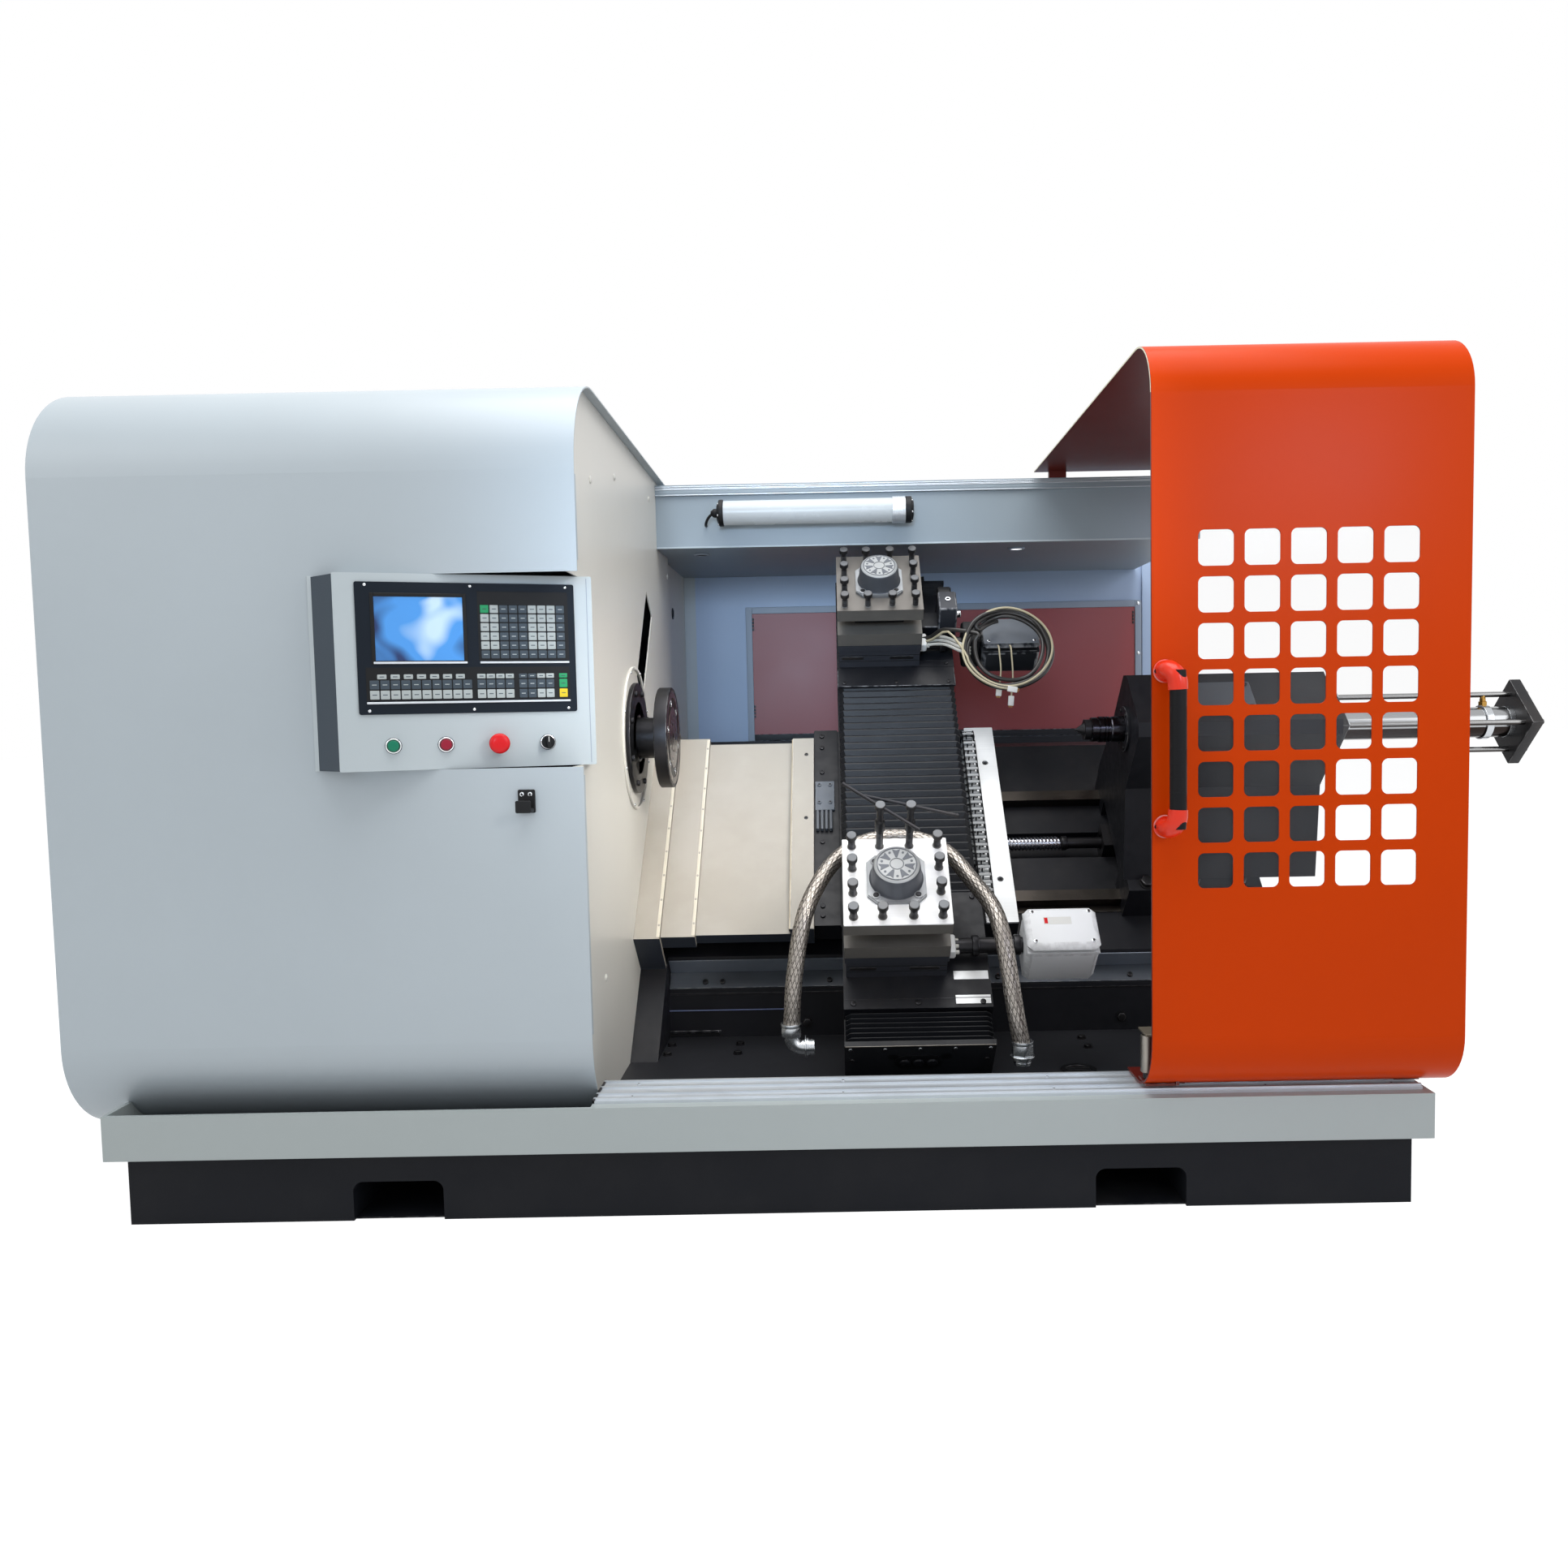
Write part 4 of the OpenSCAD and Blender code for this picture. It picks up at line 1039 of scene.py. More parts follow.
def smooth_line(points: Sequence[Place], steps: int = 8) -> list[Vector]:
    """A smooth curve through points.

    Args:
        points: the points.
        steps: parts between two points.

    Returns:
        Points on the curve.
    """
    p = [Vector(q) for q in points]
    p = [p[0] * 2 - p[1], *p, p[-1] * 2 - p[-2]]
    line = []
    for i in range(1, len(p) - 2):
        for k in range(steps):
            t = k / steps
            a, b, c, d = p[i - 1:i + 3]
            line.append(0.5 * (2 * b + (c - a) * t + (2 * a - 5 * b + 4 * c - d) * t * t
                               + (3 * b - a - 3 * c + d) * t ** 3))
    return line + [p[-2]]


def line_length(line: Sequence[Vector]) -> float:
    """Length of a line of points."""
    return sum((Vector(b) - Vector(a)).length for a, b in zip(line, line[1:]))


def bend(centre: Point2, start: float, r: float, steps: int = 12) -> list[Point2]:
    """A quarter circle, anticlockwise.

    Args:
        centre: its centre.
        start: where it starts, in degrees.
        r: its radius.
        steps: its facets.

    Returns:
        Points on it, with both ends.
    """
    angles = [math.radians(start + 90 * k / steps) for k in range(steps + 1)]
    return [(centre[0] + r * math.cos(a), centre[1] + r * math.sin(a)) for a in angles]


def around(count: int, r: float, start: float = 0.0) -> list[Point2]:
    """Points spaced evenly on a circle about the axis.

    Args:
        count: how many.
        r: the circle's radius.
        start: the first one's angle, in degrees.

    Returns:
        The points.
    """
    angles = [math.radians(start + 360 / count * k) for k in range(count)]
    return [(r * math.cos(a), r * math.sin(a)) for a in angles]


def border(x: Span, z: Span, width: float) -> list[tuple[Span, Span]]:
    """Four strips round a rectangle: left, right, top and bottom.

    Args:
        x: the rectangle's ends.
        z: its ends in height.
        width: the strips' width.

    Returns:
        Each strip's ends in x and z.
    """
    tall = (z[0] - width, z[1] + width)
    return [((x[0] - width, x[0]), tall), ((x[1], x[1] + width), tall),
            (x, (z[1], z[1] + width)), (x, (z[0] - width, z[0]))]


def round_rect(x: Span, y: Span, r: float, steps: int = 6) -> list[Point2]:
    """Outline of a rectangle with round corners, anticlockwise.

    Args:
        x: its ends.
        y: its ends.
        r: the corners' radius.
        steps: facets in a corner.

    Returns:
        The outline.
    """
    left, right, low, high = x[0] + r, x[1] - r, y[0] + r, y[1] - r
    corners = ((right, low, -90), (right, high, 0), (left, high, 90), (left, low, 180))
    return [p for cx, cy, start in corners for p in bend((cx, cy), start, r, steps)]


def circle(r: float, sides: int = 24, centre: Point2 = (0, 0)) -> list[Point2]:
    """Outline of a circle, anticlockwise."""
    angles = [2 * math.pi * k / sides for k in range(sides)]
    return [(centre[0] + r * math.cos(a), centre[1] + r * math.sin(a)) for a in angles]


# ---------------------------------------------------------------- finishes of this machine

TO_THE_BACK = (1, 1, -9.0, 9.0)      # faces that look back, at any height
TO_THE_FLOOR = (2, -1, -9.0, 9.0)    # faces that look down, at any height

COVER_WHITE = Paint("cover_white", srgb(174, 184, 190), roughness=0.36, peel=0.1, mottle=0.03, dust=0.04,
                    rub=0.0)
PARTITION_WHITE = Paint("partition_white", srgb(214, 212, 204), roughness=0.34, peel=0.1, mottle=0.03,
                        dust=0.1)
# Near black on the tray's faces that look up below 156 mm, which is the tray's floor.
TRAY_GREY = LinedPaint("tray_grey", srgb(160, 168, 168), roughness=0.42, peel=0.1, mottle=0.02, dust=0.08,
                       lining_and_shade=srgb(31, 32, 36), faces=((2, 1, 0.0, 0.156),))
PLINTH_BLACK = Paint("plinth_black", srgb(22, 24, 29), roughness=0.5, peel=0.2, mottle=0.08, dust=0.08,
                     specular=0.12)
# The door's orange turns dark red on its inner faces, under its top bend and inside its lower bend: painted
# shade.
DOOR_ORANGE = LinedPaint("door_orange", srgb(190, 58, 2), roughness=0.3, peel=0.14, mottle=0.03, dust=0.0,
                         specular=0.06, lining_and_shade=srgb(92, 30, 24),
                         faces=(TO_THE_BACK, (2, -1, 1.0, 9.0), (2, 1, 0.0, 0.45)))
# The same dark red is the door's orange as painted shade, used for the door's edge strip, brackets, sheet
# holders and guides.
DOOR_ORANGE_SHADED = Paint("door_orange_painted_shade", srgb(92, 30, 24), roughness=0.4, peel=0.2, dust=0.1, specular=0.3)
CAP_RED = Paint("grip_cap_red", srgb(214, 44, 16), roughness=0.3, peel=0.02, mottle=0.02, coat=0.15, dust=0.0,
                specular=0.3)
# Dark red: the orange door paint darkened as painted shade, for the access panel.
PANEL_ORANGE_SHADED = Paint("panel_orange_painted_shade", srgb(138, 22, 24), roughness=0.44, peel=0.3, mottle=0.06, dust=0.0,
                     specular=0.7)
FRAME_BLUE = Paint("frame_blue_grey", srgb(140, 152, 168), roughness=0.42, peel=0.25, mottle=0.04, dust=0.08)
BOX_GREY = Paint("box_grey", srgb(182, 192, 196), roughness=0.38, peel=0.12, mottle=0.02, dust=0.03)
# Dark blue-grey: painted shade, on the control box's flared left side and in the painted shadow round the
# button collars.
SHADE_GREY = Paint("grey_painted_shade", srgb(58, 68, 78), roughness=0.45, peel=0.2, mottle=0.06, dust=0.1,
                  specular=0.25)
# The covers' white enamel darkened to grey: painted shade on the roof beam.
BEAM_WHITE_SHADED = Paint("beam_white_painted_shade", srgb(140, 152, 160), roughness=0.4, peel=0.15, mottle=0.03, dust=0.06)
REAR_BLUE = LinedPaint("rear_blue_grey", srgb(166, 186, 214), roughness=0.42, peel=0.3, mottle=0.04,
                       dust=0.06, lining_and_shade=srgb(174, 184, 190), faces=(TO_THE_BACK,))
# Pale bright steel: the saddle's real bright strip, and painted highlights on the front slide's top.
STRIP_BRIGHT = Steel("machined_strip_and_highlight", srgb(222, 224, 224), roughness=0.34, marks=0.08, stained=0.12,
                     metallic=0.35)
PLATE_GREY = Casting("plate_grey", srgb(92, 98, 106), roughness=0.4, grain=0.3)
TERMINAL_GREY = Plastic("terminal_grey", srgb(88, 92, 98), roughness=0.45)
CHAIN_GREY = Plastic("chain_grey", srgb(150, 152, 152), roughness=0.35)
CAST_BASE = Casting("cast_base", srgb(50, 52, 58), roughness=0.42, grain=0.25)
BOLT_BLACK = Steel("blacked_bolt", srgb(40, 40, 42), roughness=0.38, stained=0.2, metallic=0.6)
# Mid grey on the black bolts' tops: painted highlight.
BOLT_TOP_HIGHLIGHT = Steel("bolt_top", srgb(78, 80, 83), roughness=0.3, marks=0.15, stained=0.2, metallic=0.7)
# Brown-grey: the turrets' top plate darkened as painted shade, on the rear turret.
TOP_PLATE_SHADED = Steel("top_plate_painted_shade", srgb(104, 100, 95), roughness=0.45, marks=0.1, stained=0.25, metallic=0.4)
CAST_CAP = Casting("cast_cap", srgb(86, 89, 95), roughness=0.42, grain=0.5, size=420.0, metallic=0.4,
                   dust=0.05)
QUILL_STEEL = Steel("quill_steel", srgb(62, 62, 68), roughness=0.2, along=500.0, marks=0.1, stained=0.2)
EDGE_DARK = Steel("sheet_edge", srgb(150, 142, 126), roughness=0.45, stained=0.3)
STEP_GREY = Casting("step_grey", srgb(84, 90, 98), roughness=0.38, grain=0.6, metallic=0.3, specular=0.5)
LINE_BLUE = Paint("mark_blue", srgb(112, 126, 172), roughness=0.4)
MOTOR_GREY = Paint("motor_grey", srgb(236, 238, 240), roughness=0.45, peel=0.3, mottle=0.05, dust=0.1)
MOTOR_BLACK = Paint("motor_black", srgb(34, 36, 40), roughness=0.45, peel=0.3, mottle=0.05, dust=0.12,
                    specular=0.25)
CAST_BLACK = Casting("cast_black", srgb(22, 23, 28), roughness=0.45, dust=0.1, specular=0.25)
CAST_BROWN = Casting("cast_brown_grey", srgb(104, 101, 96), roughness=0.45, grain=0.3, metallic=0.3)
CAST_SILVER = Casting("cast_silver", srgb(140, 142, 144), roughness=0.45, grain=0.5, size=420.0, metallic=0.5,
                      dust=0.1)
# Near white: the turrets' top plate as painted light, on the front turret.
TOP_PLATE_LIT = Steel("top_plate_painted_light", srgb(250, 249, 246), roughness=0.5, marks=0.1, stained=0.06, metallic=0.0)
GROUND = Steel("ground_steel", srgb(150, 145, 138), roughness=0.34, stained=0.3)
BRIGHT = Steel("bright_steel", srgb(208, 210, 212), roughness=0.18, marks=0.1, stained=0.08)
DARK_STEEL = Steel("blackened_steel", srgb(46, 46, 49), roughness=0.36, stained=0.15, metallic=0.85)
TURNED_DARK = Steel("turned_plate", srgb(92, 80, 78), roughness=0.2, along=500.0, marks=0.12, stained=0.3)
# The covers' faces that look down, such as their front ends, are dark blue-grey: painted shade. Their pale
# rubbed edges are partly wear and partly painted highlight.
GALVANISED = LinedPaint("galvanised_sheet", srgb(164, 158, 147), roughness=0.44, peel=0.08, mottle=0.06,
                        dust=0.4, dust_colour=(0.5, 0.48, 0.44), rub=0.5, edge_wear_and_highlight_colour=(0.8, 0.78, 0.74),
                        lining_and_shade=srgb(50, 56, 66), faces=(TO_THE_FLOOR,))
# Pale cream on the way covers' lips: painted highlight along their edges.
COVER_LIP_HIGHLIGHT = Paint("cover_lip", srgb(212, 205, 188), roughness=0.4, peel=0.1, dust=0.2)
ALUMINIUM = Steel("mill_aluminium", srgb(212, 218, 224), roughness=0.3, marks=0.1, stained=0.1, metallic=0.6)
ZINC = Steel("zinc_plate", srgb(200, 204, 208), roughness=0.22, marks=0.06, stained=0.1)
# Lighter grey on the turret caps' top shoulder: painted light from above.
CAP_TOP_LIT = Casting("cast_cap_top_painted_light", srgb(150, 152, 152), roughness=0.4, grain=0.5, size=420.0, metallic=0.3,
                  dust=0.05)
RAIL_STEEL = Steel("rail_steel", srgb(72, 68, 64), roughness=0.3, stained=0.3)
SCREW_STEEL = Steel("screw_steel", srgb(214, 216, 222), roughness=0.18, stained=0.05)
# Pale blue-grey on the riser of the bed's step: painted light on a face that the lamps leave dark.
RISER_PAINTED_LIGHT = Casting("riser_painted_light", srgb(128, 136, 148), roughness=0.4, grain=0.5)
# Dark brown on the faces that look down: painted dark reflection on the polished barrel and tie rods.
BARREL_STEEL = LinedSteel("barrel_steel", srgb(168, 170, 172), roughness=0.16, marks=0.04, stained=0.05,
                          lining_and_shade=srgb(46, 40, 38), faces=(TO_THE_FLOOR,))
ROD_STEEL = LinedSteel("rod_steel", srgb(150, 150, 150), roughness=0.2, marks=0.05, stained=0.05,
                       lining_and_shade=srgb(60, 56, 54), faces=(TO_THE_FLOOR,))
CHROME = Steel("chrome", srgb(222, 224, 226), roughness=0.1, marks=0.02, stained=0.0)
BRASS = Steel("brass", srgb(180, 140, 74), roughness=0.28, marks=0.06, stained=0.1)
BRAID = Steel("steel_braid", srgb(166, 160, 153), roughness=0.36, marks=0.3, across=1500.0, stained=0.3,
              metallic=0.9)
BRAID_GAP = Steel("steel_braid_gap", srgb(50, 45, 42), roughness=0.45, stained=0.4, metallic=0.8)
BLACK_PLASTIC = Plastic("black_plastic", srgb(24, 25, 27), roughness=0.45, specular=0.2)
GRIP_BLACK = Plastic("grip_rubber", srgb(20, 20, 22), roughness=0.45, grain=0.3, specular=0.12)
BEZEL_BLACK = Plastic("panel_black", srgb(26, 33, 42), roughness=0.38, grain=0.12, specular=0.12)
KEY_GREY = Plastic("key_grey", srgb(176, 184, 184), roughness=0.4)
KEY_DARK = Plastic("key_dark", srgb(64, 76, 86), roughness=0.35)
KEY_GREEN = Plastic("key_green", srgb(36, 150, 96), roughness=0.4)
KEY_YELLOW = Plastic("key_yellow", srgb(222, 196, 40), roughness=0.4)
BUTTON_GREEN = Plastic("button_green", srgb(16, 122, 92), roughness=0.3)
BUTTON_RED = Plastic("button_red", srgb(150, 24, 50), roughness=0.3)
STOP_RED = Plastic("stop_red", srgb(214, 18, 26), roughness=0.25)
LAMP_OPAL = Plastic("lamp_opal", srgb(188, 195, 198), roughness=0.25, grain=0.02, glow=0.05)
SPOT_GLOW = Plastic("spot_glow", srgb(240, 240, 232), roughness=0.3, grain=0.0, glow=1.5)
PLEAT_CLOTH = Plastic("pleat_cloth", srgb(17, 19, 24), roughness=0.45, grain=0.3, size=1600.0, specular=0.3)
CABLE_BLACK = Plastic("cable_black", srgb(24, 24, 26), roughness=0.45, grain=0.15)
CABLE_DARK = Plastic("cable_dark", srgb(44, 42, 41), roughness=0.32, grain=0.3, specular=0.5)
CABLE_BEIGE = Plastic("cable_beige", srgb(186, 176, 148), roughness=0.5, grain=0.15)
CABLE_GREY = Plastic("cable_grey", srgb(206, 204, 196), roughness=0.45, grain=0.15)
WHITE_PLASTIC = Plastic("white_plastic", srgb(226, 226, 222), roughness=0.4)
# Pale cream: painted highlight where light catches the edge of the door's sheet.
EDGE_HIGHLIGHT = Paint("edge_painted_highlight", srgb(226, 222, 196), roughness=0.5, peel=0.1, dust=0.0)
BELT_RUBBER = Plastic("belt_rubber", srgb(28, 28, 28), roughness=0.7, grain=0.4)
CLEAR = ClearSheet("clear_sheet")
SCREEN = Screen()


# ---------------------------------------------------------------- studio

@dataclass
class Studio:
    """Camera, soft lamps and a plain pale floor."""

    eye: tuple[float, float, float] = (0.152, -3.250, 1.000)
    right: tuple[float, float, float] = (0.99981427, 0.00209338, -0.0191585)
    down: tuple[float, float, float] = (-0.01898627, -0.06371302, -0.99778764)
    ahead: tuple[float, float, float] = (-0.00330939, 0.99796607, -0.06366144)
    lens: float = 26.963
    shift: float = -0.0321
    backdrop: float = 1.0
    room: float = 0.46
    floor_share: float = 0.62
    floor_glow: float = 1.42

    @staticmethod
    def seen(tree: Tree) -> Socket:
        """Tells rays that show the room from rays that only light the machine.

        Args:
            tree: the tree it goes into.

        Returns:
            1 for camera, glossy and transmission rays.
        """
        rays = node(tree, "LightPath").outputs
        through = math_node(tree, "ADD", rays["Is Glossy Ray"], rays["Is Transmission Ray"])
        return math_node(tree, "ADD", rays["Is Camera Ray"], through)

    def camera(self) -> None:
        """Places the camera."""
        data = bpy.data.cameras.new("camera")
        data.lens, data.sensor_width, data.shift_x = self.lens, 36.0, self.shift
        data.clip_end = 60
        made = bpy.data.objects.new("camera", data)
        axes = Matrix((self.right, -Vector(self.down), -Vector(self.ahead))).transposed()
        made.matrix_world = Matrix.Translation(self.eye) @ axes.to_4x4()
        bpy.context.scene.collection.objects.link(made)
        bpy.context.scene.camera = made

    def lamp(self, name: str, place: tuple[float, float, float], aim: tuple[float, float, float],
             size: float, power: float, colour: Colour = (1, 1, 1), spread: float = 180) -> None:
        """Adds one soft lamp.

        Args:
            name: its name.
            place: where it hangs.
            aim: what it points at.
            size: its width in metres.
            power: its power in watts.
            colour: its light's colour.
            spread: how wide its beam is, in degrees.
        """
        data = bpy.data.lights.new(name, "AREA")
        data.shape, data.size, data.energy, data.color = "SQUARE", size, power, colour
        data.spread = math.radians(spread)
        made = bpy.data.objects.new(name, data)
        made.location = place
        made.rotation_euler = (Vector(aim) - Vector(place)).to_track_quat("-Z", "Y").to_euler()
        bpy.context.scene.collection.objects.link(made)

    def lamps(self) -> None:
        """Adds the lamps and the room's light."""
        self.lamp("ceiling_light", (0.3, -1.2, 4.6), (0.2, -0.2, 0.8), 3.6, 185)
        self.lamp("left_light", (-3.8, -3.6, 3.2), (0, -0.4, 0.9), 2.6, 40)
        self.lamp("right_light", (4.4, -3.0, 2.6), (0.4, 0, 0.8), 2.6, 34)
        self.lamp("rear_wall_light", (-0.1, -3.1, 1.6), (0.15, 0.98, 1.1), 0.7, 1.7, (0.6, 0.78, 1.0), 26)
        self.lamp("door_sheen_light", (2.0, -3.6, 1.9), (1.0, -1.0, 1.35), 0.6, 2.6, (0.7, 0.75, 1.0), 60)
        self.lamp("partition_light", (0.9, -1.7, 1.7), (-0.4, -0.3, 0.75), 0.5, 1.7, (1.0, 0.95, 0.88), 36)
        world = bpy.data.worlds.new("room")
        bpy.context.scene.world = world
        world.use_nodes = True
        tree = world.node_tree
        tree.nodes.clear()
        seen = self.seen(tree)
        soft = node(tree, "Background", {"Color": (0.95, 0.97, 1.0, 1), "Strength": self.room})
        white = node(tree, "Background", {"Color": (1, 1, 1, 1), "Strength": self.backdrop})
        blend = node(tree, "MixShader", {0: seen, 1: soft.outputs[0], 2: white.outputs[0]})
        node(tree, "OutputWorld", {0: blend.outputs[0]})

    def floor(self) -> None:
        """Adds the floor, which keeps a faint shadow."""
        mesh = bpy.data.meshes.new("studio_floor")
        bm = bmesh.new()
        bmesh.ops.create_grid(bm, x_segments=2, y_segments=2, size=30)
        bm.to_mesh(mesh)
        bm.free()
        paint = bpy.data.materials.new("studio_floor")
        paint.use_nodes = True
        tree = paint.node_tree
        tree.nodes.clear()
        share = math_node(tree, "MULTIPLY", self.seen(tree), self.floor_share)
        matt = node(tree, "BsdfDiffuse", {"Color": (0.86, 0.86, 0.86, 1)})
        bright = node(tree, "Emission", {"Color": (1, 1, 1, 1), "Strength": self.floor_glow})
        blend = node(tree, "MixShader", {0: share, 1: matt.outputs[0], 2: bright.outputs[0]})
        node(tree, "OutputMaterial", {0: blend.outputs[0]})
        mesh.materials.append(paint)
        made = bpy.data.objects.new("studio_floor", mesh)
        bpy.context.scene.collection.objects.link(made)

    def build(self) -> None:
        """Builds the studio."""
        bpy.context.scene.view_settings.view_transform = "Standard"
        self.camera()
        self.lamps()
        self.floor()


# ---------------------------------------------------------------- cords

@dataclass
class Cord:
    """One free cable or hose, held along given points."""

    name: str
    points: Sequence[Place]
    radius: float
    finish: Finish
    body: str
    slot: str
    place: Matrix = field(default_factory=lambda: SLOPE)
    stands_for: Sequence[str] = ()
    far_end: str = "object"
    stiffness: str = "medium"
    lay: str = "loose"
    sides: int = 12
    steps: int = 8

    def build(self, with_pieces: Sequence[object] = ()) -> Piece:
        """Args:
            with_pieces: the pieces on it.

        Returns:
            The cord.
        """
        line = smooth_line(self.points, self.steps)
        shape = Shape(self.place)
        shape.tube(line, self.radius, self.finish, self.sides)
        made = shape.piece(self.name, self.body, self.slot, self.stands_for)
        return self.declare(made, line, with_pieces)

    def declare(self, made: Piece, line: Sequence[Vector],
                with_pieces: Sequence[object]) -> Piece:
        """Hands back the cord's piece as it is.

        Args:
            made: the cord's piece.
            line: its centreline in its place; not used.
            with_pieces: the pieces on it; not used.

        Returns:
            The piece.
        """
        return made


@dataclass
class BraidedHose(Cord):
    """Steel-braided hose with crossing strands worked into its surface."""

    strands: int = 18
    pitch: float = 46.0
    relief: float = 1.2
    around: int = 72
    ring_gap: float = 2.4
    gap_finish: Finish = field(default_factory=lambda: BRAID_GAP)

    def build(self, with_pieces: Sequence[object] = ()) -> Piece:
        """Builds the hose with its braid.

        Args:
            with_pieces: the pieces on it.

        Returns:
            The hose.
        """
        rough = smooth_line(self.points, self.steps)
        count = int(line_length(rough) / self.ring_gap)
        line = self.even(rough, count)
        shape = Shape(self.place)
        shape.tube(line, self.radius, self.finish, self.around)
        for i, centre in enumerate(line):
            for k in range(self.around):
                at = i * self.around + k
                along, turn = i * self.ring_gap / self.pitch, k / self.around
                one = math.sin(math.pi * self.strands * (turn + along))
                two = math.sin(math.pi * self.strands * (turn - along))
                over = max(abs(one), abs(two)) ** 2
                shape.points[at] += (shape.points[at] - centre).normalized() * self.relief * (over - 0.5)
        shape.finishes.append(self.gap_finish)
        for face in range((len(line) - 1) * self.around):
            turn, ring = face % self.around, face // self.around // 2
            if (turn + ring) % 6 == 0 or (turn - ring) % 6 == 0:
                shape.slots[face] = 1
        made = shape.piece(self.name, self.body, self.slot, self.stands_for, crease=80)
        return self.declare(made, line, with_pieces)

    @staticmethod
    def even(line: Sequence[Vector], count: int) -> list[Vector]:
        """Spaces points evenly along a line.

        Args:
            line: the line.
            count: how many points.

        Returns:
            The even points.
        """
        total, out, walked, i = line_length(line), [], 0.0, 0
        for k in range(count):
            aim = total * k / (count - 1)
            while i < len(line) - 2 and walked + (line[i + 1] - line[i]).length < aim:
                walked += (line[i + 1] - line[i]).length
                i += 1
            step = (line[i + 1] - line[i]).length
            out.append(line[i].lerp(line[i + 1], min(1.0, (aim - walked) / step)))
        return out


@dataclass
class Cords:
    """All free cables and hoses."""

    hose: Sequence[Place] = (
        (36, -749, -176), (45, -664, -93), (68, -557, -19), (104, -459, -14), (145, -393, -15),
        (201, -347, -15), (278, -328, -15), (356, -343, -15), (412, -386, -15), (455, -462, -10),
        (492, -556, 14), (508, -630, 8), (520, -705, -36), (532, -772, -93), (545, -822, -143))
    lead: Sequence[Place] = (
        (-185, 0, 0), (-200, 2, -4), (-212, 10, -16), (-218, 24, -26), (-220, 40, -28), (-220, 50, -28))
    fitting_drops: tuple[float, float] = (16, 40)
    elbow_r: float = 26.0
    coil_at: tuple[float, float, float] = (637, 88, 1160)
    coil_lean: float = 20.0
    coil_r: float = 112.0
    turns: int = 4
    turn_steps: int = 28
    wander: Sequence[Point2] = ((-22, -9), (-8, 8), (6, -9), (9, 7), (-4, 0))
    coil_start: Sequence[Place] = ((396, 184, 1197), (430, 174, 1204), (466, 140, 1222))
    coil_end: Sequence[Place] = ((560, 112, 1216), (580, 124, 1228), (600, 140, 1238), (618, 152, 1243))
    beige_start: Sequence[Place] = ((396, 176, 1186), (432, 162, 1196), (474, 122, 1214))
    signal_leads: Sequence[tuple[str, float, float]] = (
        ("signal_lead_left", 616, 118), ("signal_lead_right", 650, 146))
    motor_cable: Sequence[Place] = (
        (414, 194, 1201), (440, 184, 1204), (470, 160, 1200), (504, 128, 1182), (534, 108, 1166))
    motor_cable_steps: Sequence[Point2] = ((-11, -11), (-10, -11), (-8, -11), (-5, -11), (-2, -9))

    def build(self) -> None:
        """Builds every cord."""
        self.fittings()
        hose = BraidedHose("braided_hose_skin", self.hose, 18.6, BRAID, "front_slide", "braid",
                           stands_for=["braided_hose"], far_end="fitting", stiffness="stiff", lay="hanging")
        hose.build([bpy.data.objects["hose_end_fittings"]])
        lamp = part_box("tube_lamp")
        middle = (lamp[0] + lamp[1]) / 2 / MM
        place = WORLD @ Matrix.Translation((0, self.lamp_y(), middle.z))
        Cord("lamp_lead_skin", self.lead, 4, CABLE_BLACK, "machine", "black_plastic", place,
             ["lamp_lead"], sides=10, lay="hanging").build()
        self.coil()

    @staticmethod
    def lamp_y() -> float:
        """Depth of the lamp's axis, in millimetres."""
        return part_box("roof_beam")[0].y / MM + 8 - 50

    def fittings(self) -> None:
        """Elbow and nuts on the two ends of the hose."""
        shape = Shape(SLOPE)
        down, side = Vector((0, -1, -1)).normalized(), Vector((1, 0, 0))
        elbow_drop, straight_drop = self.fitting_drops
        for end, drop in ((Vector(self.hose[0]), elbow_drop), (Vector(self.hose[-1]), straight_drop)):
            shape.local = Matrix.Translation(end) @ down.to_track_quat("Z", "X").to_matrix().to_4x4()
            shape.ring((18.4, 24.5), (-14, -6), ZINC, sides=24)
            shape.lathe([(22.5, -7), (25, -5), (25, min(drop, 20) - 4), (23, min(drop, 20))], ZINC, sides=6)
            if drop == straight_drop:
                self.thread(shape, 18)
        shape.local = Matrix.Identity(4)
        first, r = Vector(self.hose[0]), self.elbow_r
        centre = first + down * elbow_drop + side * r
        turns = [math.radians(15 * k) for k in range(7)]
        sweep = [centre - side * (r * math.cos(t)) + down * (r * math.sin(t)) for t in turns]
        shape.tube([first + down * 10, *sweep, sweep[-1] + side * 8], 18, ZINC, 24)
        shape.local = Matrix.Translation(sweep[-1] + side * 4) @ turned("x")
        self.thread(shape, 0)
        shape.piece("hose_end_fittings", "front_slide", "zinc", ["hose_fittings"])

    @staticmethod
    def thread(shape: Shape, start: float) -> None:
        """Adds a sealing washer and a short thread at the present place.

        Args:
            shape: the shape it goes into.
            start: where the washer starts.
        """
        shape.ring((12, 27), (start, start + 3.5), ZINC, sides=32, edge=1)
        shape.ring((12, 22), (start + 3, start + 8), ZINC, sides=24)
        for groove in range(4):
            low = start + 7 + 3.5 * groove
            shape.ring((13, 19 - 0.9 * (groove % 2)), (low, start + 11 + 3.5 * groove), ZINC, sides=24)

